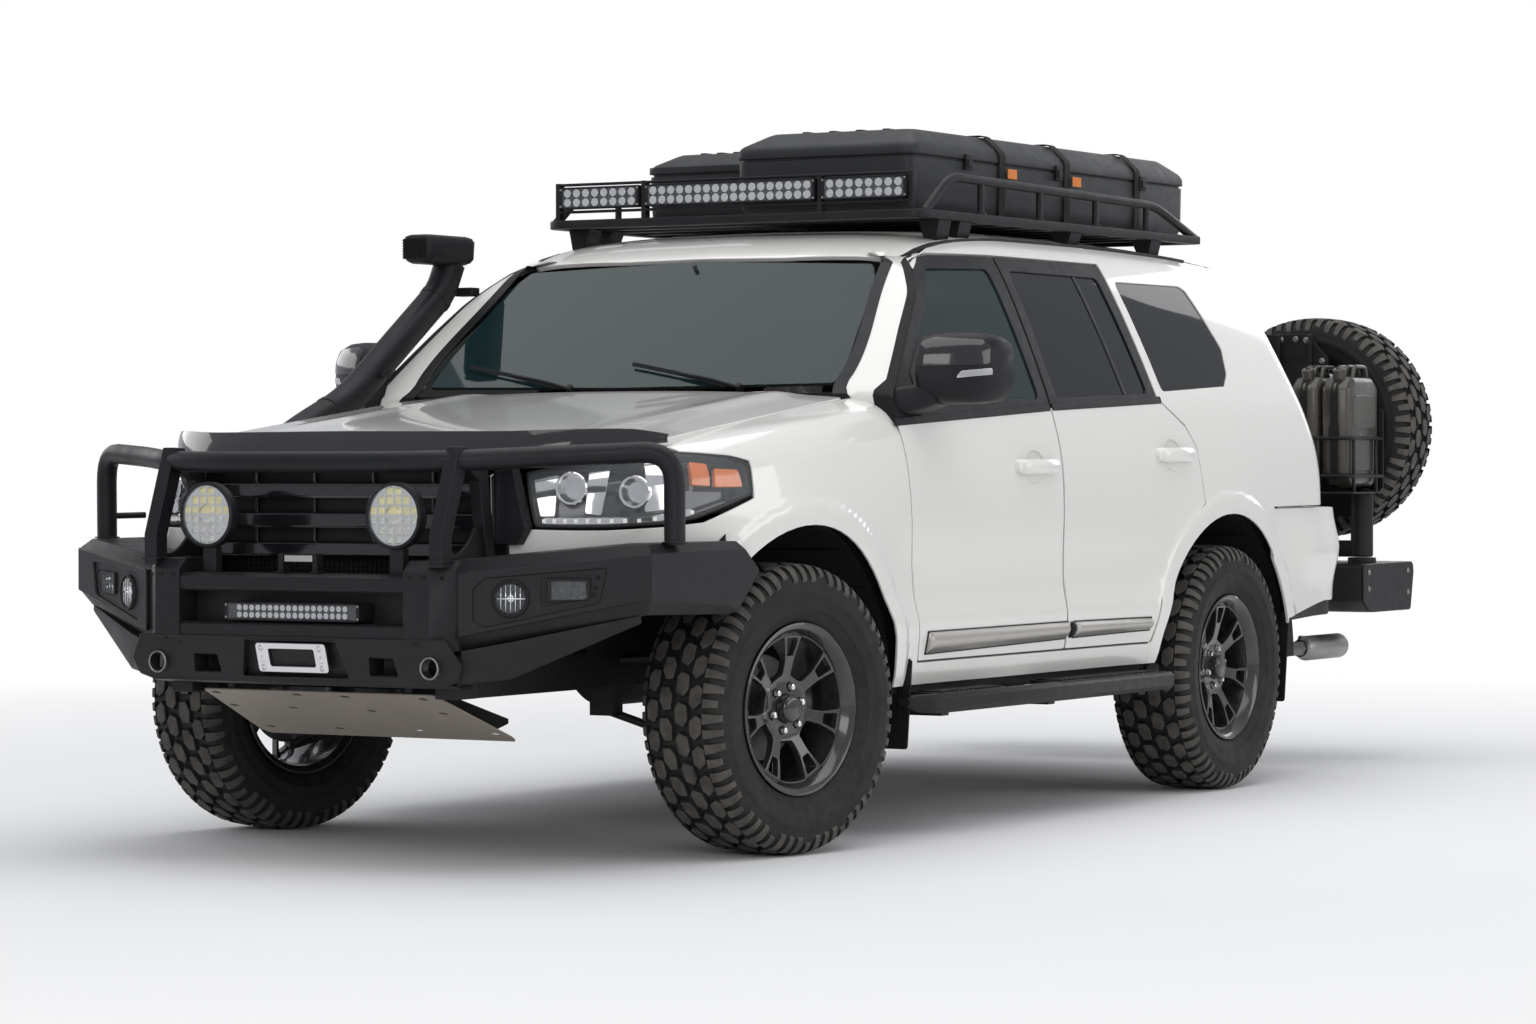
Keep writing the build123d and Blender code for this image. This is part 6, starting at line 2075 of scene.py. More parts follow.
def case_latches(x, y_places, seam, look):
    shape = Shape()
    for y in y_places:
        at = x + look * 3
        shape.join(box(min(at, at + look * 9), max(at, at + look * 9), y - 22, y + 22, seam - 30,
                       seam + 20))
        shape.join(box(min(at, at + look * 14), max(at, at + look * 14), y - 15, y + 15, seam - 22,
                       seam + 6))
    return shape


def case_ribs(x_low, x_high, y_low, y_high, top, edge):
    """Shallow ridges along the lid."""
    shape = Shape()
    for share in (0.2, 0.4, 0.6, 0.8):
        x = x_low + edge + 24 + (x_high - x_low - 2 * edge - 48) * share
        profile = rounded([(x - 16, top - 1), (x + 16, top - 1), (x + 11, top + 5), (x - 11, top + 5)],
                          3, 2)
        shape.join(prism(profile, "Y", y_low + edge * 1.6 + 60, y_high - edge - 60))
    return shape


BAND_WIDTH = 42.0


def band(x_low, x_high, y, top, edge):
    low = RACK_TOP - 2
    half = BAND_WIDTH / 2
    path = [(x_low - 3, y, low), (x_low - 7, y, top - edge), (x_low + edge, y, top + 4),
            (x_high - edge, y, top + 4), (x_high + 7, y, top - edge), (x_high + 3, y, low)]
    return sweep(bent(path, 14, 4), [(-1.5, -half), (1.5, -half), (1.5, half), (-1.5, half)])


CASES = [
    ("right", -608, -142, 1702, ra(556), 2060, 2134, 50),
    ("left", -98, 552, 1423, ra(586), 2074, 2166, 56),
]
for name, x_low, x_high, y_low, y_high, seam, top, edge in CASES:
    show(case_shell(x_low, x_high, y_low, y_high, seam, top, edge), f"case_{name}_shell", "vehicle",
         CASE_GREY, ["roof_cases"] if name == "right" else ())
    show(case_ribs(x_low, x_high, y_low, y_high, top, edge), f"case_{name}_ribs", "vehicle", CASE_GREY)
    places = [y_low + (y_high - y_low) * share for share in (0.18, 0.5, 0.82)]
    latches = case_latches(x_high, places, seam, 1).join(case_latches(x_low, places, seam, -1))
    show(latches, f"case_{name}_latches", "vehicle", BLACK_TRIM, bevel=2.5)
    bands = Shape()
    for y in (2022, 2494, 3034):
        bands.join(band(x_low, x_high, y, top, edge))
    show(bands, f"case_{name}_bands", "vehicle", SEAL)
tags = Shape()
for y in (2052, 2524):
    tags.join(box(562, 566, y, y + 62, 2030, 2062))
show(tags, "orange_tags", "vehicle", ORANGE, bevel=1)


# Snorkel

SNORKEL_LINE = [(-925, 80, 1150), (-932, 230, 1215), (-912, 430, 1300), (-872, 880, 1650),
                (-858, 912, 1745)]


def snorkel_pipe():
    path = bent(SNORKEL_LINE, 90, 8)
    section = [(44 * math.copysign(abs(math.cos(t)) ** 0.7, math.cos(t)),
                46 * math.copysign(abs(math.sin(t)) ** 0.7, math.sin(t)))
               for t in np.linspace(0, 2 * math.pi, 33)[:-1]]
    shape = sweep(path, section)
    for share in (0.38, 0.72):
        here = path[int(share * (len(path) - 1))]
        ahead = (path[int(share * (len(path) - 1)) + 1] - here).normalized()
        shape.join(sweep([here - ahead * 10, here + ahead * 10],
                         [(a * 1.05, b * 1.05) for a, b in section]))
    return shape


def snorkel_head():
    levels = [(1738, 20), (1746, 8), (1758, 2), (1812, 0), (1824, 5), (1830, 16)]
    rings = []
    for z, tuck in levels:
        corners = [(-910 + tuck, 716 + tuck), (-802 - tuck, 716 + tuck),
                   (-802 - tuck, 984 - tuck * 1.5), (-910 + tuck, 984 - tuck * 1.5)]
        rings.append([(x, y, z) for x, y in rounded(corners, 22, 5)])
    return stacked(rings)


def snorkel_mesh():
    shape = box(-900, -812, 712, 718, 1752, 1816)
    for x in np.linspace(-894, -818, 10):
        shape.join(box(x - 1.5, x + 1.5, 708, 714, 1752, 1816))
    for z in np.linspace(1758, 1810, 7):
        shape.join(box(-900, -812, 708, 714, z - 1.5, z + 1.5))
    return shape


show(snorkel_pipe(), "snorkel_pipe", "vehicle", BLACK_TRIM, ["snorkel"])
show(snorkel_head(), "snorkel_head", "vehicle", BLACK_TRIM)
show(snorkel_mesh(), "snorkel_mesh", "vehicle", SEAL)
clips = box(-866, -800, 948, 996, 1640, 1668).join(box(-900, -840, 520, 560, 1372, 1396))
show(clips, "snorkel_clips", "vehicle", BLACK_TRIM, bevel=2)


# Door mirrors

MIRROR_STATIONS = [
    (984, 655, 780, 1310, 1462), (990, 634, 800, 1292, 1480), (1006, 622, 812, 1280, 1488),
    (1060, 640, 836, 1276, 1490),
    (1120, 674, 860, 1278, 1488), (1165, 714, 876, 1286, 1478), (1185, 748, 884, 1302, 1460),
    (1193, 786, 880, 1334, 1430),
]
mirror_front, mirror_back, mirror_low, mirror_top = (
    smooth_curve([(m[0], m[k]) for m in MIRROR_STATIONS]) for k in (1, 2, 3, 4))


def mirror_face(x, z, back=False):
    """The housing's front or back surface at a point across and up."""
    middle = (mirror_front(x) + mirror_back(x)) / 2
    deep = (mirror_back(x) - mirror_front(x)) / 2
    centre, tall = (mirror_low(x) + mirror_top(x)) / 2, (mirror_top(x) - mirror_low(x)) / 2
    share = np.clip(1 - np.abs((z - centre) / tall) ** 2.8, 0.0, 1.0)
    return x, middle + deep * (0.96 if back else -share ** (1 / 2.2)), z


def mirror_rings():
    rings = []
    for x, front, rear, low, top in MIRROR_STATIONS:
        ring = []
        for t in np.linspace(0, 2 * math.pi, 45)[:-1]:
            c, r = math.cos(t), math.sin(t)
            a = (rear - front) / 2 * math.copysign(abs(c) ** (0.25 if c > 0 else 2 / 2.2), c)
            b = (top - low) / 2 * math.copysign(abs(r) ** (2 / 2.8), r)
            ring.append((x, (front + rear) / 2 + a * 0.96 if c > 0 else (front + rear) / 2 + a,
                         (low + top) / 2 + b))
        rings.append(ring)
    return rings


def mirror_arm():
    rings = []
    for x, front, rear, low, top in ((896, 590, 748, 1236, 1322), (948, 596, 752, 1240, 1332),
                                     (1000, 622, 764, 1256, 1336), (1040, 660, 780, 1276, 1326)):
        ring = []
        for t in np.linspace(0, 2 * math.pi, 29)[:-1]:
            a, b = (math.copysign(abs(f(t)) ** 0.5, f(t)) for f in (math.cos, math.sin))
            ring.append((x, (front + rear) / 2 + (rear - front) / 2 * a,
                         (low + top) / 2 + (top - low) / 2 * b))
        rings.append(ring)
    return stacked(rings)


def mirror_glass():
    outline = rounded([(1012, 1298), (1172, 1302), (1178, 1450), (1150, 1470), (1016, 1470)], 16)
    sheet = flipped(lofted(lambda x, z: mirror_face(x, z, True)))
    return panel(outline, [], sunk(sheet, -3), 4, 40, 1)


def mirror_cap():
    outline = [(1000, 1386), (1184, 1392), (1180, 1446), (1160, 1466), (1040, 1474), (1008, 1462)]
    return panel(rounded(outline, 12), [], sunk(lofted(mirror_face), -2), 4, 16, 1.5)


def mirror_lamp():
    outline = [(1106, 1352), (1186, 1362), (1186, 1382), (1122, 1374)]
    return panel(rounded(outline, 4), [], sunk(lofted(mirror_face), -2), 4, 16, 1)


def moulding(outline, grow, proud, ends):
    """A bar along the door with a crowned face, whose ends fall away over a short length."""
    (front, low_front), (rear, low_rear), (_, high_rear), (_, high_front) = outline
    front, rear = front - grow, rear + grow
    rings = []
    steps = [0, ends * 0.12, ends * 0.45, ends]
    stations = [front + a for a in steps] + list(np.linspace(front + 20, rear - 20, 20)) + [rear - a
        for a in steps[::-1]]
    if rear - front < 60:
        stations = [front + a for a in steps] + [rear - a for a in steps[::-1]]
    for y in stations:
        t = (y - front) / (rear - front)
        low = low_front + (low_rear - low_front) * t - grow
        high = high_front + (high_rear - high_front) * t + grow
        near = min(y - front, rear - y, ends) / ends
        rise = math.sqrt(1 - (1 - near) ** 2) * 0.85 + 0.15
        ring = []
        for k in np.linspace(-1, 1, 11):
            z = (low + high) / 2 + k * (high - low) / 2 * (0.9 + 0.1 * rise)
            out = (3 + proud * (1 - abs(k) ** 2.2)) * rise if proud > 4 else proud * rise
            ring.append((float(side_half(y, z)) + out, y, z))
        ring += [(float(side_half(y, high)) - 6, y, high - 2),
                 (float(side_half(y, low)) - 6, y, low + 2)]
        rings.append(ring)
    return stacked(rings)


def sail():
    """The black triangle at the front of the door's window, which carries the mirror."""
    outline = rounded([(728, 1296), (800, 1296), (812, 1340), (872, 1488), (728, 1372)], 6)
    return panel(outline, [], side_sheet, 8, 60, 2)


for side, sign in SIDES:
    body = f"front_door_{side}"
    show(for_side(stacked(mirror_rings()), sign), f"mirror_{side}_housing", body, BLACK_TRIM,
         [f"mirror_{side}"], bevel=0)
    show(for_side(mirror_arm(), sign), f"mirror_{side}_arm", body, BLACK_TRIM)
    show(for_side(mirror_glass(), sign), f"mirror_{side}_glass", body, CHROME)
    show(for_side(mirror_cap(), sign), f"mirror_{side}_cap", body, GLOSS_BLACK)
    show(for_side(mirror_lamp(), sign), f"mirror_{side}_lamp", body, CHROME)
    show(for_side(sail(), sign), f"mirror_{side}_sail", body, BLACK_TRIM)
    line = [(y, belt(y)) for y in np.linspace(560, 1584, 8)]
    outline = [(y, z - 12) for y, z in line] + [(y, z + 12) for y, z in line[::-1]]
    show(for_side(panel(rounded(outline, 4, 2), [], sunk(side_sheet, -3), 8, 60), sign),
         f"belt_front_{side}", body, BLACK_TRIM)
    line = [(y, belt(y)) for y in np.linspace(1602, 2412, 7)]
    outline = [(y, z - 12) for y, z in line] + [(y, z + 12) for y, z in line[::-1]]
    show(for_side(panel(rounded(outline, 4, 2), [], sunk(side_sheet, -3), 8, 60), sign),
         f"belt_rear_{side}", f"rear_door_{side}", BLACK_TRIM)
    divider = [(2158, 1300), (2182, 1300), (2118, 1712), (2096, 1712)]
    show(for_side(panel(divider, [], sunk(side_sheet, 4), 12, 60), sign), f"window_bar_{side}",
         f"rear_door_{side}", BLACK_TRIM)
    for name, place, outline in (
        ("front", f"front_door_{side}", [(741, 537), (1664, 551), (1660, 603), (736, 602)]),
        ("rear", f"rear_door_{side}", [(1712, 552), (2258, 558), (2252, 598), (1710, 602)]),
    ):
        show(for_side(moulding(outline, 3, 3, 1), sign), f"moulding_edge_{name}_{side}", place,
             BLACK_TRIM)
        show(for_side(moulding(outline, -1, 17, 9), sign), f"moulding_{name}_{side}", place,
             SATIN_METAL)
    block = [(1686, 551), (1709, 552), (1707, 603), (1684, 603)]
    show(for_side(moulding(block, 0, 15, 5), sign), f"moulding_end_{side}", f"rear_door_{side}",
         BLACK_TRIM)


# Side steps


def step_beam():
    """The outer beam, cut away at its ends, with its inner rail and cross pieces."""
    rings = []
    for x, y, low, top in ((985, 612, 384, 412), (1012, 640, 368, 420), (1047, 700, 364, 422),
                           (1048, ra(-560), 364, 422), (1018, ra(-512), 372, 420),
                           (990, ra(-492), 386, 414)):
        rings.append([(x - 40, y, top), (x - 40, y, low + 8), (x - 12, y, low), (x, y, low + 14),
                      (x, y, top - 12), (x - 10, y, top)])
    shape = stacked([ring[::-1] for ring in rings])
    shape.join(prism(rounded([(890, 640), (914, 640), (914, ra(-530)), (890, ra(-530))], 4), "Z", 376,
                     408))
    for y in (660, 1180, 1460, ra(-560)):
        shape.join(prism(rounded([(900, y - 16), (1010, y - 16), (1010, y + 16), (900, y + 16)], 3),
                         "Z", 378, 410))
    return shape


def step_pads():
    shape = Shape()
    for y_low, y_high in ((720, 1150), (1500, ra(-600))):
        shape.join(prism(rounded([(922, y_low), (1040, y_low), (1040, y_high), (922, y_high)], 10), "Z",
                         413, 424))
        for k in range(int((y_high - y_low - 40) / 30)):
            y = y_low + 30 + 30 * k
            shape.join(prism(rounded([(936, y - 7), (1026, y - 7), (1026, y + 7), (936, y + 7)], 4, 2),
                             "Z", 424, 429))
    return shape


def step_brackets():
    shape = Shape()
    for y in (800, 1500, ra(-700)):
        shape.join(prism([(450, 470), (450, 440), (840, 352), (1000, 352), (1000, 372), (880, 376),
                          (640, 440), (560, 470)], "Y", y - 24, y + 24))
    return shape


show(step_beam().both(), "step_beams", "vehicle", BLACK_STEEL, ["side_steps"], bevel=3)
show(step_pads().both(), "step_pads", "vehicle", BLACK_TRIM, bevel=1)
show(step_brackets().both(), "step_brackets", "vehicle", BLACK_STEEL, bevel=2)


# Mud flaps


def mud_flap(low_y, top_y, low_z, step_z, top_z):
    """A rubber flap with ribs."""
    shape = prism(rounded([(796, low_z), (978, low_z), (978, step_z), (912, top_z), (796, top_z)], 10),
                  "Y", low_y, low_y + 7)
    for x in (830, 868, 906, 944):
        shape.join(prism(rounded([(x - 3, low_z + 14), (x + 3, low_z + 14), (x + 3, step_z - 16),
                                  (x - 3, step_z - 16)], 2, 2), "Y", low_y - 2, low_y))
    lean = (top_y - low_y) / (top_z - low_z)
    shape.points = [(x, y + (z - low_z) * lean, z) for x, y, z in shape.points]
    return shape


flaps = mud_flap(602, 638, 262, 520, 572).join(mud_flap(ra(482), ra(532), 272, 560, 640))
show(flaps.both(), "mud_flap_sheets", "vehicle", SEAL, ["mud_flaps"], bevel=1.5)


# Rear bar

BAR_LOW, BAR_TOP = 553.0, 733.0


def rear_bar_shell():
    profile = [(ra(1310), BAR_LOW + 44), (ra(1310), BAR_TOP - 14), (ra(1322), BAR_TOP - 2),
               (ra(1770), BAR_TOP), (ra(1786), BAR_TOP - 12), (ra(1790), BAR_TOP - 40),
               (ra(1762), BAR_LOW + 6), (ra(1750), BAR_LOW), (ra(1392), BAR_LOW),
               (ra(1372), BAR_LOW + 6)]
    shape = prism(profile, "X", -918, 918)
    for sign in (-1, 1):
        shape.join(prism(profile, "X", min(sign * 920, sign * 929), max(sign * 920, sign * 929)))
    return shape


def rear_bar_fittings():
    shape = Shape()
    for sign in (-1, 1):
        for y, z in ((ra(1360), 640), (ra(1360), 700), (ra(1730), 620), (ra(1730), 700)):
            shape.join(screw(sign * 929, y, z, 7, look=(sign, 0, 0), high=5))
    for x in (-700, -350, 0, 350, 700):
        shape.join(screw(x, ra(1790) - 3, BAR_TOP - 60, 7, look=(0, 1, 0), high=4))
    return shape


show(rear_bar_shell(), "rear_bar_shell", "vehicle", BLACK_STEEL, ["rear_bar"], bevel=5)
show(rear_bar_fittings(), "rear_bar_bolts", "vehicle", STEEL)
PIVOT = (850.0, ra(1480))
bearing = rod((PIVOT[0], PIVOT[1], BAR_TOP - 4), (PIVOT[0], PIVOT[1], BAR_TOP + 19), 52, 40, 3)
bearing.join(prism(rounded([(-560, PIVOT[1] - 30), (-500, PIVOT[1] - 30), (-500, PIVOT[1] + 30),
                            (-560, PIVOT[1] + 30)], 6), "Z", BAR_TOP - 4, BAR_TOP + 19))
show(bearing, "carrier_rests", "vehicle", BLACK_STEEL)


# Swing-out carrier with its board, brackets and cans

ARM_LOW = BAR_TOP + 20
SPARE_X, SPARE_Z = 570.0, 1232.0


def carrier_arm():
    shape = prism(rounded([(PIVOT[1] - 31, ARM_LOW + 1), (PIVOT[1] + 31, ARM_LOW + 1),
                           (PIVOT[1] + 31, ARM_LOW + 61), (PIVOT[1] - 31, ARM_LOW + 61)], 8), "X", -558,
                           PIVOT[0])
    shape.join(rod((*PIVOT, ARM_LOW + 1), (*PIVOT, 998), 41, 36, 5))
    shape.join(rod((*PIVOT, 998), (*PIVOT, 1008), 28, 6, 3))
    post = [(PIVOT[1] - 58, ARM_LOW + 60), (PIVOT[1] + 48, ARM_LOW + 60), (ra(1559), 1000),
            (ra(1559), 1560), (ra(1520), 1579), (ra(1501), 1579), (ra(1501), 1000)]
    shape.join(prism(rounded(post, 8), "X", SPARE_X - 69, SPARE_X - 57)).join(prism(rounded(post, 8),
        "X", SPARE_X + 57, SPARE_X + 69))
    shape.join(prism([(PIVOT[1] + 34, ARM_LOW + 60), (PIVOT[1] + 48, ARM_LOW + 60), (ra(1559), 1000),
                      (ra(1559), 1560), (ra(1550), 1560), (ra(1550), 1000)], "X", SPARE_X - 60,
                      SPARE_X + 60))
    shape.join(rod((SPARE_X, ra(1540), SPARE_Z), (SPARE_X, ra(1640), SPARE_Z), 74, 40, 4))
    return shape


def carrier_board():
    outline = [(332, 1000), (688, 1000), (698, 1060), (698, 1490), (612, 1578), (450, 1578),
               (332, 1480)]
    shape = prism(rounded(outline, 10), "Y", ra(1516), ra(1528))
    return shape


def carrier_bolts():
    shape = Shape()
    for x, z in ((360, 1470), (452, 1556), (510, 1560), (570, 1560), (612, 1556), (676, 1478),
                 (680, 1380), (350, 1380), (350, 1100), (680, 1100)):
        shape.join(screw(x, ra(1516), z, 8, look=(0, -1, 0), high=6))
    for x, z in ((700, 1250), (700, 1180), (880, 1250), (880, 1180)):
        shape.join(screw(x, ra(1512), z, 6, look=(0, -1, 0), high=5))
    return shape


CAN_LOW, CAN_TOP = 1012.0, 1455.0
CAN_FRONT, CAN_BACK = ra(1222), ra(1508)


def can_tray():
    floor_low = CAN_LOW - 24
    shape = prism(rounded([(663, CAN_FRONT - 8), (922, CAN_FRONT - 8), (922, CAN_BACK + 6),
                           (663, CAN_BACK + 6)], 8), "Z", floor_low, floor_low + 6)
    for height in (CAN_LOW + 40, CAN_LOW + 178):
        loop = [(668, CAN_BACK, height), (668, CAN_FRONT - 7, height), (918, CAN_FRONT - 7, height),
                (918, CAN_BACK, height)]
        shape.join(tube(loop, 6.5, 26, 12))
    for x, y in ((668, CAN_FRONT + 20), (790, CAN_FRONT - 7), (918, CAN_FRONT + 20),
                 (918, CAN_BACK - 60), (668, CAN_BACK - 60)):
        shape.join(rod((x, y, floor_low), (x, y, CAN_LOW + 178), 6.5, 12))
    plate = rounded([(602, 1002), (920, 1002), (920, 1298), (602, 1298)], 14)
    slots = [rounded([(x, 1170), (x + 14, 1170), (x + 14, 1280), (x, 1280)], 6)
             for x in (700, 740, 780, 820, 860)]
    shape.join(panel(plate, slots, lofted(lambda x, z: (x, ra(1512) + 0 * x, z)), 8, 60, 1.2))
    return shape


def can_body(x_low, x_high):
    """A pressed can: rounded sides, a raised waist seam and two pressed panels."""
    middle = (x_low + x_high) / 2
    rings = []
    side = [(CAN_FRONT + 44, CAN_LOW), (CAN_BACK - 44, CAN_LOW), (CAN_BACK, CAN_LOW + 44),
            (CAN_BACK, CAN_TOP - 78), (CAN_BACK - 56, CAN_TOP - 40), (CAN_FRONT + 52, CAN_TOP - 40),
            (CAN_FRONT, CAN_TOP - 78), (CAN_FRONT, CAN_LOW + 44)]
    ring_line = rounded(side, 30, 5)
    half = (x_high - x_low) / 2
    for offset, tuck in ((-half, 26), (-half + 4, 12), (-half + 14, 3), (-5, 0), (-4, -2.5), (4, -2.5),
                         (5, 0), (half - 14, 3), (half - 4, 12), (half, 26)):
        rings.append([(middle + offset, y, z) for y, z in inset(ring_line, tuck)])
    shape = stacked(rings)
    for sign in (-1, 1):
        for z_low, z_high in ((CAN_LOW + 60, CAN_LOW + 190), (CAN_LOW + 215, CAN_TOP - 110)):
            outline = rounded([(CAN_FRONT + 40, z_low), (CAN_BACK - 40, z_low), (CAN_BACK - 40, z_high),
                               (CAN_FRONT + 40, z_high)], 30)
            x = middle + sign * (half - 0.5)
            shape.join(prism(outline, "X", min(x, x + sign * 2.5), max(x, x + sign * 2.5)))
    return shape


def can_handles(x_low, x_high):
    middle = (x_low + x_high) / 2
    top = CAN_TOP - 42
    shape = Shape()
    for shift in (-30, 0, 30):
        line = [(middle + shift, CAN_FRONT + 96, top - 4), (middle + shift, CAN_FRONT + 112, top + 38),
                (middle + shift, CAN_BACK - 72, top + 38), (middle + shift, CAN_BACK - 58, top - 4)]
        shape.join(tube(line, 7.5, 22, 12))
    shape.join(rod((middle, CAN_FRONT + 52, top - 10), (middle, CAN_FRONT + 40, top + 30), 24, 24, 3))
    shape.join(box(middle - 6, middle + 6, CAN_FRONT + 30, CAN_FRONT + 70, top + 22, top + 36))
    return shape


def can_strap(x_low, x_high):
    """A webbing strap up the front of both cans and over their handles, with its latch."""
    shape = Shape()
    for x in (x_low, x_high):
        path = [(x, CAN_FRONT - 5, CAN_LOW + 10), (x, CAN_FRONT - 5, CAN_TOP - 84),
                (x, CAN_FRONT + 46, CAN_TOP - 37), (x, CAN_BACK - 52, CAN_TOP - 37)]
        shape.join(sweep(bent(path, 30, 5), [(-14, -1.2), (14, -1.2), (14, 1.2), (-14, 1.2)]))
        shape.join(box(x - 18, x + 18, CAN_FRONT - 12, CAN_FRONT - 4, 1190, 1236))
    return shape


show(carrier_arm(), "carrier_arm", "carrier", BLACK_STEEL, ["wheel_carrier"], bevel=1.5)
show(carrier_board(), "carrier_board", "carrier", BLACK_STEEL, bevel=1.5)
show(carrier_bolts(), "carrier_bolts", "carrier", STEEL)
show(can_tray(), "can_tray", "carrier", BLACK_STEEL)
for index, (x_low, x_high) in enumerate(((673, 786), (794, 907))):
    show(can_body(x_low, x_high), f"can_{index}", "carrier", CAN_PAINT, ["fuel_cans"]
         if index == 0 else ())
    show(can_handles(x_low, x_high), f"can_handles_{index}", "carrier", CAN_PAINT,
         bevel=1)
show(can_strap(730, 851), "can_straps", "carrier", SEAL)


# Wipers, scuttle, interior mirror

def wiper(x_root, x_tip, sweep_up):
    shape = Shape()
    root = Vector(screen_form(x_root, 1336.0)) + Vector((0, -14, -6))
    tip = Vector(screen_form(x_tip, 1346.0 + sweep_up)) + Vector((0, -12, 4))
    shape.join(tube([root, root.lerp(tip, 0.5) + Vector((0, -6, 6)), tip], 5, 40, 10))
    shape.join(rod(root + Vector((0, 4, -8)), root + Vector((0, -12, 10)), 11, 16, 2))
    half = (tip - root).normalized() * 190
    shape.join(sweep([tip - half + Vector((0, 4, -4)), tip + Vector((0, 0, 0)),
                      tip + half + Vector((0, 4, -4))], [(-4, -6), (4, -6), (2, 6), (-2, 6)]))
    return shape


wipers = wiper(420.0, 180.0, 26.0).join(wiper(-180.0, -430.0, 26.0))
show(wipers, "wipers", "vehicle", BLACK_TRIM)
scuttle = Shape()
for z_low, z_high, front, back in ((1296, 1304, 572, 640), (1304, 1312, 585, 640)):
    scuttle.join(box(-770, 770, front, back, z_low, z_high))
for x in np.linspace(-640, 640, 33):
    scuttle.join(box(x - 3, x + 3, 574, 600, 1304, 1309))
show(scuttle, "scuttle", "vehicle", BLACK_TRIM, bevel=1.5)
inner_mirror = stacked([[(x, 1034 + 12 * math.cos(t) * s, 1672 + 34 * math.sin(t) * s)
                         for t in np.linspace(0, 2 * math.pi, 25)[:-1]]
                        for x, s in ((-118, 0.5), (-110, 0.9), (0, 1.0), (110, 0.9), (118, 0.5))])
inner_mirror.join(rod((0, 1034, 1690), (0, 1010, 1722), 7, 12))
show(inner_mirror, "inner_mirror", "vehicle", CABIN)


# Wheel houses, floor, bulkhead and roof lining


def wheel_house(centre, x_in, x_out, start, end, wall_low):
    outer = arc(centre, 546, start, end, 36)
    inner = arc(centre, 540, end, start, 36)
    shape = prism(outer + inner, "X", x_in, x_out)
    for turn in range(int(start) + 14, int(end) - 8, 18):
        shape.join(prism(arc(centre, 541, turn, turn + 5, 3) + arc(centre, 536, turn + 5, turn, 3), "X",
                         x_in + 30, x_out - 30))
    disc = [p for p in arc(centre, 544, start, end, 36) if p[1] > wall_low]
    wall = [(disc[0][0], wall_low)] + disc + [(disc[-1][0], wall_low)]
    shape.join(prism(wall, "X", x_in - 6, x_in))
    return shape.join(prism(arc(centre, 640, start, end, 36) + arc(centre, 536, end, start, 36), "X",
                            x_out - 14, x_out - 8))


houses = wheel_house(FRONT_ARCH, 500, 944, 2, 138,
                     560).join(wheel_house(REAR_ARCH, 600, 950, 2, 176, 560))
show(houses.both(), "wheel_houses", "vehicle", SEAL, ["arch_liners"])
floor_pan = box(-858, 858, 606, 2316, 578, 600).join(box(-596, 596, 2316, ra(850), 578, 600))
for x in (-520, -260, 260, 520):
    floor_pan.join(box(x - 30, x + 30, 640, ra(800), 572, 580))
show(floor_pan, "floor_pan", "vehicle", CABIN, bevel=3)
bulkhead = box(-760, 760, 576, 598, 562, 1296)
bulkhead.join(box(-800, 800, 560, 640, 1236, 1296))
for x in (-500, 0, 500):
    bulkhead.join(box(x - 90, x + 90, 570, 577, 700, 1120))
show(bulkhead, "bulkhead", "vehicle", CABIN, bevel=3)
lining = panel(rounded([(-640, 1110), (640, 1110), (640, 3300), (-640, 3300)], 60), [],
               sunk(roof_sheet, 34), 8, 60)
show(lining, "roof_lining_panel", "vehicle", LINING)
aprons = prism([(-600, 960), (-600, 1050), (555, 1215), (555, 900), (420, 900), (200, 960)], "X", 704,
               710)
show(aprons.both(), "inner_wings", "vehicle", PAINT)


# Exhaust

EXHAUST_LINE = [(640, 900, 520), (640, ra(470), 520), (760, ra(760), 430), (760, ra(1440), 427)]


def exhaust_boxes():
    """Two welded boxes with rolled end seams on the pipe's line."""
    shape = Shape()
    for y_low, y_high, across, tall in ((1500, 2050, 92, 62), (980, 1230, 60, 56)):
        rings = []
        for y, grow in ((y_low, 0.55), (y_low + 22, 0.96), (y_low + 30, 1.03), (y_low + 38, 1.0),
                        (y_high - 38, 1.0), (y_high - 30, 1.03), (y_high - 22, 0.96), (y_high, 0.55)):
            rings.append([(640 + across * grow * math.cos(t), y, 520 + tall * grow * math.sin(t))
                          for t in np.linspace(0, 2 * math.pi, 33)[:-1]])
        shape.join(stacked(rings))
    return shape


def exhaust_tip():
    """A rolled, hollow end over the pipe."""
    profile = [(0, 30), (26, 45), (318, 45), (323, 43.5), (323, 40), (300, 39), (30, 39), (6, 30)]
    return lathe(profile, (760, ra(1142), 427), (0, 1, 0), 44, closed=True)


show(tube(EXHAUST_LINE, 28, 60, 6), "exhaust_pipe", "vehicle", CAST, ["exhaust"])
show(exhaust_boxes(), "exhaust_boxes", "vehicle", CAST)
show(exhaust_tip(), "exhaust_tip", "vehicle", STEEL)
clamps = Shape()
for y, x, z in ((1400, 640, 520), (2150, 640, 520), (ra(900), 760, 429), (ra(1130), 760, 428)):
    clamps.join(lathe([(-12, 29), (-12, 32), (12, 32), (12, 29)], (x, y, z), (0, 1, 0), 28,
                      closed=True))
    clamps.join(box(x - 5, x + 5, y - 9, y + 9, z + 30, z + 46))
    clamps.join(rod((x - 12, y, z + 39), (x + 12, y, z + 39), 4, 10, 1))
show(clamps, "exhaust_clamps", "vehicle", STEEL)

# Black plates between the sills and the side steps
for side, sign in SIDES:
    plate = prism([(892, 410), (900, 410), (908, 496), (948, 508), (952, 590), (892, 598)], "Y", 632,
                  2336)
    show(for_side(plate, sign), f"sill_plate_{side}", "vehicle", BLACK_TRIM, bevel=3)


# Seats

PAD_CROWN = 0.16
PAD_CELLS = 22


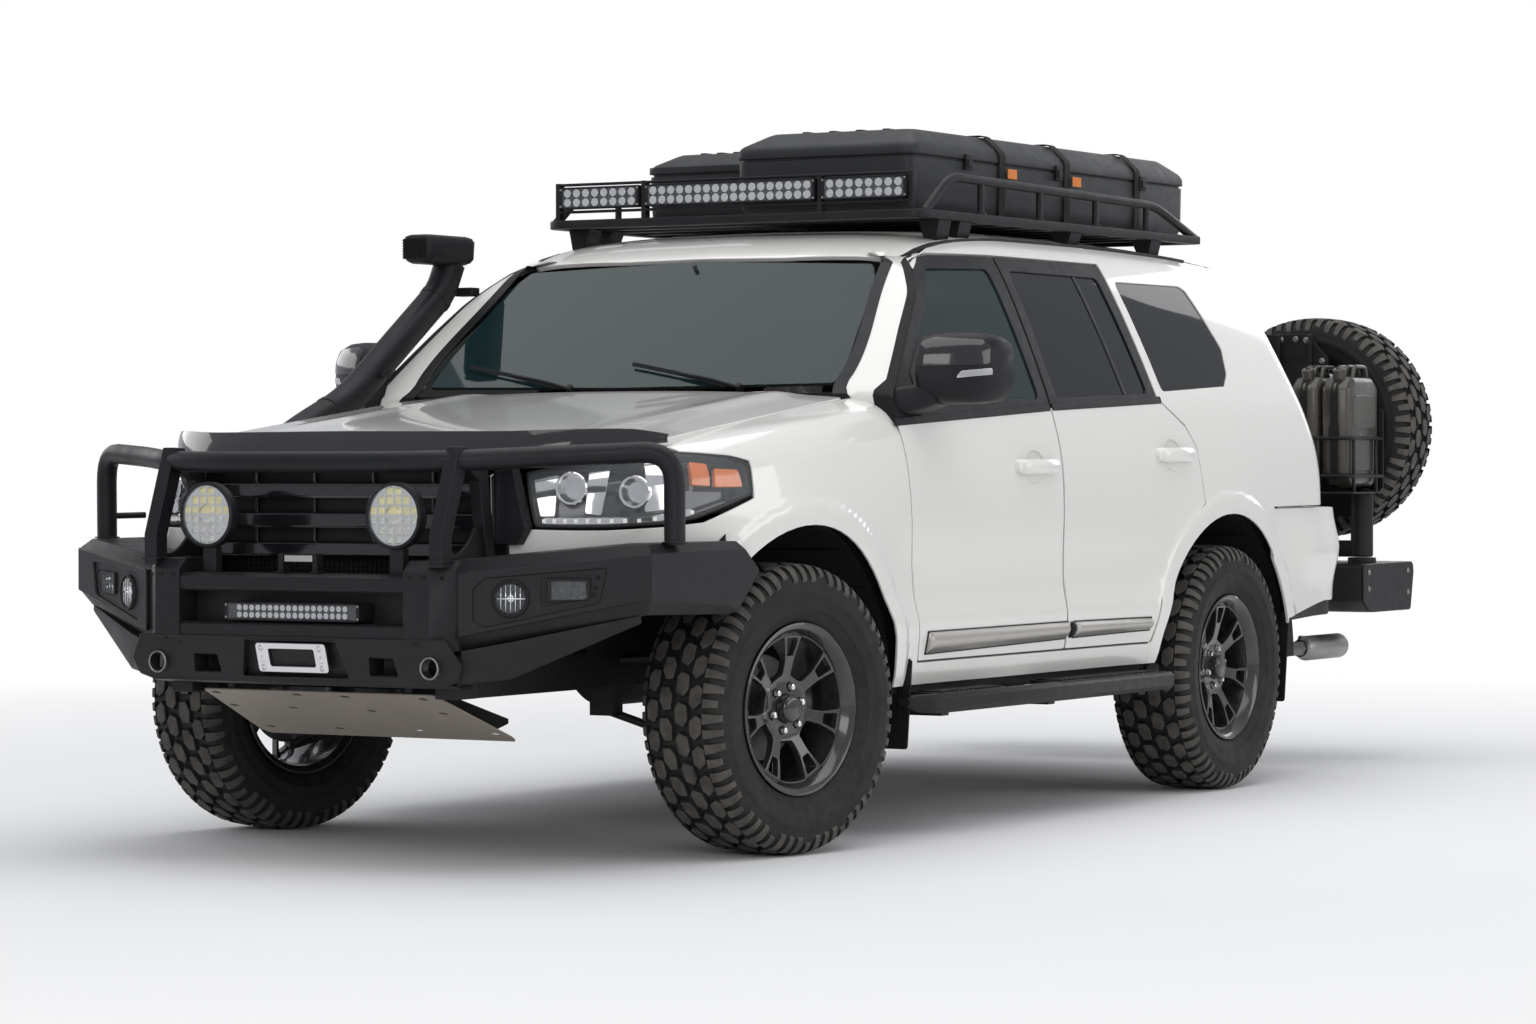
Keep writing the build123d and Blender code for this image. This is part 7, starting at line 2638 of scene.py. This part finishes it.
def pad(half, place, lean=0.0, grooves=()):
    """A stuffed form: crowned and drawn in, with a seam around it and sewn grooves on one face."""
    grid = np.linspace(-1, 1, PAD_CELLS + 1)
    found, points, faces = {}, [], []

    def corner(q):
        key = tuple(np.round(q, 5))
        if key not in found:
            found[key] = len(points)
            points.append(q)
        return found[key]

    for axis in range(3):
        for end in (-1.0, 1.0):
            for i in range(PAD_CELLS):
                for j in range(PAD_CELLS):
                    ring = []
                    for a, b in ((i, j), (i + 1, j), (i + 1, j + 1), (i, j + 1)):
                        q = np.zeros(3)
                        q[axis] = end
                        q[(axis + 1) % 3], q[(axis + 2) % 3] = grid[a], grid[b]
                        ring.append(corner(q))
                    faces.append(ring if end > 0 else ring[::-1])
    q = np.array(points)
    q /= np.sum(np.abs(q) ** 5, axis=1)[:, None] ** 0.2
    x, y, z = q[:, 0].copy(), q[:, 1].copy(), q[:, 2].copy()
    q[:, 0] *= 1 - 0.05 * (1 - y ** 2)
    q[:, 1] *= 1 - 0.04 * (1 - x ** 2)
    q[:, 2] *= 1 + PAD_CROWN * (1 - x ** 2) * (1 - y ** 2)
    pinch = 1 - 0.02 * np.exp(-((z / 0.06) ** 2))
    q[:, 0] *= pinch
    q[:, 1] *= pinch
    q[:, 2] /= 1 + PAD_CROWN
    q *= np.array(half)
    for across, at in grooves:
        line = (x if across else y) - at
        q[:, 2] -= 7 * np.exp(-((line / 0.045) ** 2)) * (z > 0.5)
    turn = math.radians(lean)
    up, back = q[:, 2] * math.cos(turn) + q[:, 1] * math.sin(turn), q[:, 1] * math.cos(turn) - q[:,
        2] * math.sin(turn)
    q = np.stack([q[:, 0], back, up], 1) + np.array(place)
    return Shape().add([tuple(p) for p in q], faces)


def show_pad(name, shape, replaces=()):
    show(shape, name, "vehicle", LEATHER, replaces, smooth=80)


LONG_SEAMS = ((True, -0.32), (True, 0.32))
CROSS_SEAMS = ((False, -0.4), (False, 0.0), (False, 0.4))
for side, sign in SIDES:
    x = sign * 375
    replaces = ["seats"] if side == "left" else ()
    show_pad(f"seat_cushion_{side}", pad((176, 238, 74), (x, 1366, 812), 4, CROSS_SEAMS), replaces)
    show_pad(f"seat_back_{side}", pad((166, 306, 62), (x, 1690, 1118), 103, LONG_SEAMS), ())
    show_pad(f"seat_headrest_{side}", pad((128, 78, 50), (x, 1786, 1468), 100, ()), ())
    for k in (-1, 1):
        show_pad(f"seat_bolster_{side}_{'inner' if k < 0 else 'outer'}",
                 pad((44, 240, 92), (x + k * 212, 1366, 806), 4, ()), ())
        show_pad(f"seat_wing_{side}_{'inner' if k < 0 else 'outer'}",
                 pad((42, 286, 78), (x + k * 200, 1670, 1112), 103, ()), ())
for k, name in ((-1, "right"), (0, "middle"), (1, "left")):
    show_pad(f"bench_cushion_{name}", pad((186, 232, 76), (k * 378, ra(-560), 800), 4, CROSS_SEAMS), ())
    show_pad(f"bench_back_{name}", pad((186, 250, 62), (k * 378, ra(-226), 1052), 104, LONG_SEAMS), ())
    show_pad(f"bench_headrest_{name}", pad((120, 62, 44), (k * 378, ra(-164), 1290), 100, ()), ())


def seat_frames():
    """Slides, side covers, headrest posts and the bench's legs."""
    shape = Shape()
    for x in (-375, 375):
        for k in (-1, 1):
            rail = [(x + k * 190, 1150, 618), (x + k * 190, 1600, 618)]
            shape.join(sweep(rail, rounded([(-16, -14), (16, -14), (16, 14), (-16, 14)], 4)))
            cover = rounded([(1180, 640), (1600, 640), (1640, 700), (1700, 800), (1650, 850),
                             (1560, 770), (1180, 730)], 18)
            shape.join(prism(cover, "X", x + k * 252 - 8, x + k * 252 + 8))
            shape.join(rod((x + k * 62, 1768, 1390), (x + k * 62, 1782, 1440), 7, 16, 1))
        tray = rounded([(x - 200, 1170), (x + 200, 1170), (x + 200, 1600), (x - 200, 1600)], 20)
        shape.join(prism(tray, "Z", 632, 742))
    for x in (-540, -190, 190, 540):
        shape.join(prism([(ra(-760), 604), (ra(-730), 604), (ra(-640), 726), (ra(-360), 726),
                          (ra(-330), 604), (ra(-300), 604),
                          (ra(-320), 744), (ra(-680), 744)], "X", x - 14, x + 14))
    shape.join(prism(rounded([(-560, ra(-780)), (560, ra(-780)), (560, ra(-330)), (-560, ra(-330))],
                             24), "Z", 740, 756))
    for x in (-378, 0, 378):
        for k in (-1, 1):
            shape.join(rod((x + k * 48, ra(-176), 1240), (x + k * 48, ra(-168), 1274), 6, 14, 1))
    return shape


show(seat_frames(), "seat_frames", "vehicle", BLACK_STEEL, bevel=2)


shade = [(-664, 1620), (0, 1640), (664, 1620), (640, 1690), (600, 1714), (0, 1734), (-600, 1714),
         (-640, 1690)]
show(panel(shade, [], sunk(screen_sheet, 8), 1.5, 60, 0.3), "screen_shade", "vehicle", DARK_GLASS)


# Dashboard and steering wheel

def dash_body():
    """The padded top, the face below it, and the knee panel, rounded along their edges."""
    profile = [(704, 905), (704, 1172), (722, 1186), (800, 1222), (850, 1222), (918, 1200), (932, 1186),
               (950, 1106), (956, 1078), (944, 1060), (912, 1046), (908, 1030), (902, 905)]
    rings = []
    for x, grow in ((-822, 0.9), (-808, 0.98), (-780, 1.0), (780, 1.0), (808, 0.98), (822, 0.9)):
        rings.append([(x, 820 + (y - 820) * grow, 1060 + (z - 1060) * grow) for y, z in profile])
    return stacked(rings)


def dash_hood():
    """The hood over the dials."""
    rings = []
    for y, grow in ((846, 0.92), (870, 1.0), (946, 1.0), (962, 0.97)):
        rings.append([(370 + 168 * grow * math.cos(t), y, 1168 + 66 * grow * math.sin(t))
                      for t in np.linspace(0, math.pi, 17)]
                     + [(370 - 150 * grow * math.cos(t), y, 1168 + 50 * grow * math.sin(t))
                        for t in np.linspace(0, math.pi, 17)])
    return stacked(rings)


def dials():
    shape = Shape()
    for x, radius in ((308, 46), (432, 46), (370, 26)):
        shape.join(lathe([(0, 0.5), (0, radius - 4), (-5, radius - 3), (-5, radius), (6, radius)],
                         (x, 944, 1160), (0, 1, 0), 40))
    return shape


def dial_marks():
    shape = Shape()
    for x, radius in ((308, 46), (432, 46)):
        for t in np.linspace(math.radians(-40), math.radians(220), 14):
            a, b = Vector((math.cos(t), 0, math.sin(t))), Vector((x, 946, 1160))
            shape.join(rod(tuple(b + a * (radius - 12)), tuple(b + a * (radius - 6)), 1.2, 6, 0.2))
        needle = Vector((math.cos(2.4), 0, math.sin(2.4)))
        shape.join(rod((x, 948, 1160), tuple(Vector((x, 948, 1160)) + needle * (radius - 12)), 1.4, 6,
                       0.2))
    return shape


def air_vents():
    """Four framed outlets with slats."""
    shape = Shape()
    for x in (-720, -110, 110, 720):
        frame = [(x - 62, 1112), (x + 62, 1112), (x + 62, 1172), (x - 62, 1172)]
        slope = lofted(lambda u, v: (u, 953 - (v - 1106) * 0.225 + 0 * u, v))
        shape.join(panel(rounded(frame, 10), [rounded(inset(frame, 8), 6)], sunk(flipped(slope), -6),
                         10, 60, 2))
        for z in (1128, 1140, 1152):
            shape.join(box(x - 54, x + 54, 940, 952, z - 1.2, z + 1.2))
    return shape


def wheel_place(points):
    """From the steering wheel's own plane to the vehicle."""
    tilt = math.atan2(0.35, 1.0)
    return [(370 + a, 1040 - b * math.sin(tilt) + c * math.cos(tilt),
             1106 + b * math.cos(tilt) + c * math.sin(tilt)) for a, b, c in points]


def steering_rim():
    rim = wheel_place([(176 * math.cos(t), 176 * math.sin(t), 0)
                       for t in np.linspace(0, 2 * math.pi, 49)[:-1]])
    return sweep(rim, circle((0, 0), 15, 14), closed=True)


def steering_middle():
    shape = Shape()
    hub = [(62 * math.cos(t), 58 * math.sin(t)) for t in np.linspace(0, 2 * math.pi, 25)[:-1]]
    shape.join(stacked([wheel_place([(a * k, b * k, c) for a, b in hub])
                        for c, k in ((-24, 0.8), (-14, 1.0), (12, 1.0), (24, 0.86), (28, 0.6))]))
    for start, end, wide in (((-60, 8), (-164, 18), 16), ((60, 8), (164, 18), 16),
                             ((-22, -50), (-62, -156), 13), ((22, -50), (62, -156), 13)):
        way = (np.array(end) - start) / np.linalg.norm(np.array(end) - start)
        across = np.array([-way[1], way[0]])
        rings = []
        for place, k in ((start, 1.2), (end, 0.8)):
            flat = [np.array(place) + across * wide * k, np.array(place) - across * wide * k]
            rings.append(wheel_place([(*flat[0], -6), (*flat[1], -6), (*flat[1], 6), (*flat[0], 6)]))
        shape.join(stacked(rings))
    shape.join(rod((370, 905, 1056), (370, 1020, 1098), 27, 24, 3))
    return shape


def console():
    """The tunnel's cover, the lever with its boot, two cup wells and an armrest."""
    shape = prism(rounded([(-112, 764), (112, 764), (112, 1496), (-112, 1496)], 18), "Z", 606, 812)
    shape.join(prism(rounded([(-86, 1180), (86, 1180), (86, 1490), (-86, 1490)], 22), "Z", 814, 862))
    shape.join(prism(rounded([(-100, 764), (100, 764), (80, 900), (-80, 900)], 14), "Z", 812, 960))
    for y in (1040, 1120):
        shape.join(lathe([(0, 36), (6, 40), (8, 36), (2, 33), (-2, 33)], (-46, y, 812), (0, 0, 1), 32,
                         closed=True))
    for z, half in ((812, 40), (826, 34), (838, 26), (850, 18)):
        shape.join(prism(rounded([(30 - half, 980 - half), (30 + half, 980 - half),
                                  (30 + half, 980 + half), (30 - half, 980 + half)], 8), "Z", z,
                                  z + 10))
    shape.join(rod((30, 980, 850), (30, 996, 920), 7, 16, 1))
    return shape.join(lathe([(-22, 8), (-18, 20), (0, 24), (18, 19), (24, 8), (25, 0.5)],
                            (30, 1002, 940), (0, 0.2, 1), 24))


show(dash_body(), "dash_body", "vehicle", CABIN, ["dashboard"], bevel=4)
show(dash_hood(), "dash_hood", "vehicle", CABIN, bevel=2)
show(dials(), "dials", "vehicle", GLOSS_BLACK)
# The marks take the LED material, so they glow faintly: painted light on print that is no lamp.
show(dial_marks(), "dial_marks", "vehicle", LAMP_LED)
show(air_vents(), "air_vents", "vehicle", BLACK_TRIM)
show(prism(rounded([(-96, 1016), (96, 1016), (96, 1098), (-96, 1098)], 10), "Y", 930, 964),
     "dash_screen", "vehicle", GLOSS_BLACK, bevel=2)
show(prism(rounded([(-700, 930), (-250, 930), (-250, 1030), (-700, 1030)], 14), "Y", 900, 918),
     "glove_box", "vehicle", CABIN, bevel=3)
show(steering_rim(), "steering_rim", "vehicle", LEATHER)
show(steering_middle(), "steering_middle", "vehicle", CABIN, bevel=3)
show(console(), "console", "vehicle", CABIN, bevel=3)


# Engine bay

def engine_cover():
    """A moulded cover with five raised ribs and a stepped edge."""
    shape = stacked([[(x * k, y * k + 20, z)
                      for x, y in rounded([(-210, -330), (210, -330), (230, 230), (-230, 230)], 50, 6)]
                     for z, k in ((1040, 0.98), (1064, 1.0), (1076, 0.985), (1084, 0.93))])
    for x in (-120, -60, 0, 60, 120):
        shape.join(prism(rounded([(x - 14, -250), (x + 14, -250), (x + 14, 190), (x - 14, 190)], 12),
                         "Z", 1082, 1094))
    return shape


def engine_block():
    shape = prism(rounded([(-215, -380), (215, -380), (215, 330), (-215, 330)], 40), "Z", 700, 1000)
    for x in (-215, 215):
        for y in np.linspace(-300, 240, 5):
            shape.join(rod((x * 0.8, y, 960), (x * 1.22, y, 905), 27, 18, 4))
    shape.join(prism(rounded([(-160, -340), (160, -340), (160, 260), (-160, 260)], 30), "Z", 612, 702))
    shape.join(prism(rounded([(-196, -360), (196, -360), (196, 300), (-196, 300)], 30), "Z", 998, 1042))
    return shape


def belt_drive():
    """Pulleys in front of the block."""
    shape = Shape()
    for x, z, radius in ((0, 720, 80), (-130, 880, 48), (130, 900, 42), (10, 900, 60), (-150, 740, 52)):
        groove = [(0, radius - 4), (2, radius), (6, radius - 3), (10, radius), (14, radius - 3),
                  (18, radius), (22, radius - 3),
                  (24, radius), (26, radius - 4), (26, radius * 0.5), (14, radius * 0.45), (10, 10),
                  (0, 10)]
        shape.join(lathe(groove, (x, -408, z), (0, 1, 0), 36, closed=True))
        shape.join(rod((x, -412, z), (x, -378, z), 11, 6, 2))
    return shape


def radiator():
    """The core: upright fins with strips across them."""
    shape = Shape()
    for x in np.linspace(-372, 372, 94):
        shape.join(box(x - 0.8, x + 0.8, -664, -624, 640, 1000))
    for z in np.linspace(652, 988, 22):
        shape.join(box(-376, 376, -660, -628, z - 2, z + 2))
    return shape


def radiator_tanks():
    shape = Shape()
    for low, high in ((612, 648), (996, 1046)):
        shape.join(prism(rounded([(-385, low), (385, low), (385, high), (-385, high)], 12), "Y", -676,
                         -614))
    for sign in (-1, 1):
        shape.join(box(sign * 380 - 8, sign * 380 + 8, -672, -618, 640, 1000))
    shape.join(lathe([(0, 24), (18, 24), (18, 30), (30, 30), (32, 26), (32, 0.5)], (250, -645, 1044),
                     (0, 0, 1), 28))
    return shape


def fan():
    hub = lathe([(0, 0.5), (0, 46), (4, 50), (40, 50), (40, 0.5)], (0, -560, 830), (0, 1, 0), 32)
    for k in range(9):
        turn = 2 * math.pi * k / 9
        rings = []
        for r in (44, 90, 140, 182):
            lean = 0.95 - r * 0.0022
            wide = 24 + r * 0.12
            middle = Vector((r * math.cos(turn), 0, r * math.sin(turn)))
            along = Vector((-math.sin(turn), 0, math.cos(turn)))
            ring = []
            for a, b in ((-1, -1.5), (0, 2.5), (1, -1.5), (1, -4.5), (0, -0.5), (-1, -4.5)):
                offset = along * (a * wide * math.cos(lean)) + Vector((0, a * wide * math.sin(lean) + b,
                    0))
                ring.append(tuple(Vector((0, -540, 830)) + middle + offset))
            rings.append(ring)
        hub.join(stacked(rings))
    return hub


def shroud():
    ring = lathe([(-50, 200), (-50, 206), (20, 200), (20, 194)], (0, -546, 830), (0, 1, 0), 56,
                 closed=True)
    plate = [(-376, 640), (376, 640), (376, 1010), (-376, 1010)]
    return ring.join(flat_plate(plate, [circle((0, 830), 202, 48)], -612, 6))


def flat_plate(outline, holes, y, thick):
    return panel(rounded(outline, 16), [holes[0]], lofted(lambda x, z: (x, y + 0 * x, z)), thick, 60, 1)


def bay_boxes():
    """Fuse box, air filter box and washer tank, each with a lid line and clips."""
    shape = Shape()
    for x_low, x_high, y_low, y_high, z_low, z_high in (
        (330, 520, -160, 130, 840, 1010), (-540, -330, -560, -250, 800, 1020),
        (-520, -380, 150, 330, 860, 1030), (360, 540, 190, 420, 860, 1010),
    ):
        corners = [(x_low, y_low), (x_high, y_low), (x_high, y_high), (x_low, y_high)]
        shape.join(prism(rounded(corners, 22), "Z", z_low, z_high - 52))
        shape.join(prism(rounded(inset(corners, -5), 24), "Z", z_high - 50, z_high - 40))
        shape.join(prism(rounded(corners, 22), "Z", z_high - 38, z_high - 8))
        shape.join(prism(rounded(inset(corners, 14), 16), "Z", z_high - 8, z_high))
        for y in (y_low + 50, y_high - 50):
            shape.join(box(x_low - 6, x_low - 1, y - 14, y + 14, z_high - 70, z_high - 26))
    return shape


def battery():
    shape = prism(rounded([(350, -520), (520, -520), (520, -210), (350, -210)], 8), "Z", 830, 1000)
    shape.join(prism(rounded([(346, -524), (524, -524), (524, -206), (346, -206)], 10), "Z", 1002,
                     1022))
    for y in (-490, -450, -410, -320, -280, -240):
        shape.join(lathe([(0, 15), (5, 15), (6, 12), (6, 0.5)], (435, y, 1022), (0, 0, 1), 20))
    return shape


show(engine_block(), "engine_block", "vehicle", CAST, ["engine"], bevel=5)
show(engine_cover(), "engine_cover", "vehicle", BLACK_TRIM, bevel=3)
show(belt_drive(), "engine_pulleys", "vehicle", STEEL)
show(radiator(), "radiator_core", "vehicle", ALUMINIUM)
show(radiator_tanks(), "radiator_tanks", "vehicle", BLACK_TRIM, bevel=3)
show(fan(), "engine_fan", "vehicle", BLACK_TRIM)
show(shroud(), "fan_shroud", "vehicle", BLACK_TRIM)
show(bay_boxes(), "bay_boxes", "vehicle", BLACK_TRIM, bevel=2)
show(battery(), "battery", "vehicle", CASE_GREY, bevel=2)
hoses = tube([(-150, -300, 1010), (-200, -470, 1020), (-250, -600, 1020)], 24, 60, 6)
hoses.join(tube([(130, -330, 760), (220, -470, 740), (260, -612, 700)], 22, 60, 6))
hoses.join(tube([(-430, -260, 920), (-430, -120, 960), (-300, -40, 990), (-190, -20, 1000)], 38, 80, 6))
hoses.join(tube([(440, -200, 1040), (440, 20, 1046), (400, 160, 1040), (420, 380, 1030)], 9, 40, 4))
show(hoses, "engine_hoses", "vehicle", RUBBER)
booster = lathe([(0, 0.5), (0, 60), (10, 108), (40, 116), (46, 120), (52, 116), (78, 100), (84, 40),
                 (84, 0.5)], (400, 430, 1010), (0, 1, 0), 44)
booster.join(rod((400, 300, 1010), (400, 432, 1010), 22, 20, 3))
show(booster, "brake_booster", "vehicle", BLACK_STEEL)
reservoir = prism(rounded([(366, 300), (434, 300), (434, 372), (366, 372)], 12), "Z", 1040, 1090)
reservoir.join(lathe([(0, 24), (16, 24), (18, 20), (18, 0.5)], (400, 336, 1090), (0, 0, 1), 24))
show(reservoir, "brake_reservoir", "vehicle", LENS, bevel=3)


# Camera, light and ground

CAMERA_PLACE = (7161, -10707, 1109)
CAMERA_YAW = math.radians(-30.474)
CAMERA_PITCH = math.radians(-0.662)
CAMERA_ROLL = math.radians(-0.089)
CAMERA_LENS = 102.878
SENSOR_WIDTH = 36
FARTHEST = 100


def camera():
    view = bpy.data.objects.new("camera", bpy.data.cameras.new("camera"))
    bpy.context.scene.collection.objects.link(view)
    view.data.lens = CAMERA_LENS
    view.data.sensor_width = SENSOR_WIDTH
    view.data.clip_end = FARTHEST
    ahead = Vector((
        math.sin(CAMERA_YAW) * math.cos(CAMERA_PITCH), math.cos(CAMERA_YAW) * math.cos(CAMERA_PITCH),
        math.sin(CAMERA_PITCH),
    ))
    level = Vector((math.cos(CAMERA_YAW), -math.sin(CAMERA_YAW), 0))
    upright = level.cross(ahead)
    right = level * math.cos(CAMERA_ROLL) + upright * math.sin(CAMERA_ROLL)
    up = upright * math.cos(CAMERA_ROLL) - level * math.sin(CAMERA_ROLL)
    x, y, z = CAMERA_PLACE
    place = Vector((x, y + FRONT_AXLE, z)) / 1000
    view.matrix_world = Matrix.Translation(place) @ Matrix((right, up, -ahead)).transposed().to_4x4()
    bpy.context.scene.camera = view


# Each softbox: name, place and target in metres, width and height, power in watts
SOFTBOXES = [
    ("top_softbox", (0.5, -0.5, 6.5), (0, 0, 0.8), (7, 9), 270),
    ("front_softbox", (3.5, -9.5, 3.4), (0, -1.5, 0.9), (5, 3), 120),
    ("left_softbox", (8.5, 1.5, 3.2), (0, 0.3, 0.9), (8, 3), 130),
    ("right_softbox", (-8, 0, 3.6), (0, 0, 1), (8, 3), 110),
    ("rear_softbox", (0, 9, 3.6), (0, 1.5, 1), (6, 3), 100),
]
FADE_STARTS, FADE_ENDS = 3.6, 8.5
FLOOR_REACH = 40.0


def lamp(name, place, target, size, power):
    light = bpy.data.lights.new(name, "AREA")
    light.shape = "RECTANGLE"
    light.size, light.size_y = size
    light.energy = power
    thing = bpy.data.objects.new(name, light)
    bpy.context.scene.collection.objects.link(thing)
    thing.location = place
    thing.rotation_euler = (Vector(target) - Vector(place)).to_track_quat("-Z", "Y").to_euler()


def surroundings():
    world = bpy.data.worlds.new("studio")
    bpy.context.scene.world = world
    world.use_nodes = True
    nodes, links = world.node_tree.nodes, world.node_tree.links
    soft, white = nodes["Background"], nodes.new("ShaderNodeBackground")
    soft.inputs["Color"].default_value = (0.93, 0.95, 1.0, 1)
    soft.inputs["Strength"].default_value = 0.5
    white.inputs["Color"].default_value = (1, 1, 1, 1)
    white.inputs["Strength"].default_value = 1.0
    path = nodes.new("ShaderNodeLightPath")
    choose = nodes.new("ShaderNodeMixShader")
    links.new(path.outputs["Is Camera Ray"], choose.inputs["Fac"])
    links.new(soft.outputs["Background"], choose.inputs[1])
    links.new(white.outputs["Background"], choose.inputs[2])
    links.new(choose.outputs["Shader"], nodes["World Output"].inputs["Surface"])
    bpy.context.scene.view_settings.view_transform = "Standard"
    for softbox in SOFTBOXES:
        lamp(*softbox)


def fading_floor():
    """A plain floor that turns into the white background away from the vehicle."""
    made = finish("floor_paint", (0.86, 0.86, 0.86), 0.8, vary=0.006, patch=0.3, grain=60, bump=0.03)
    nodes, links = made.node_tree.nodes, made.node_tree.links
    place = nodes.new("ShaderNodeTexCoord").outputs["Object"]
    away = nodes.new("ShaderNodeVectorMath")
    away.operation = "LENGTH"
    links.new(place, away.inputs[0])
    share = spread(nodes, links, away.outputs["Value"], FADE_STARTS, FADE_ENDS, 0, 1)
    white = nodes.new("ShaderNodeEmission")
    white.inputs["Color"].default_value = (1, 1, 1, 1)
    seen = nodes.new("ShaderNodeLightPath").outputs["Is Camera Ray"]
    both = nodes.new("ShaderNodeMath")
    both.operation = "MULTIPLY"
    links.new(share, both.inputs[0])
    links.new(seen, both.inputs[1])
    choose = nodes.new("ShaderNodeMixShader")
    links.new(both.outputs["Value"], choose.inputs["Fac"])
    links.new(nodes["Principled BSDF"].outputs["BSDF"], choose.inputs[1])
    links.new(white.outputs["Emission"], choose.inputs[2])
    links.new(choose.outputs["Shader"], nodes["Material Output"].inputs["Surface"])
    return made


def ground():
    mesh = bpy.data.meshes.new("floor")
    r = FLOOR_REACH
    mesh.from_pydata([(-r, -r, 0), (r, -r, 0), (r, r, 0), (-r, r, 0)], [], [(0, 1, 2, 3)])
    mesh.materials.append(fading_floor())
    floor = bpy.data.objects.new("floor", mesh)
    bpy.context.scene.collection.objects.link(floor)


camera()
surroundings()
ground()
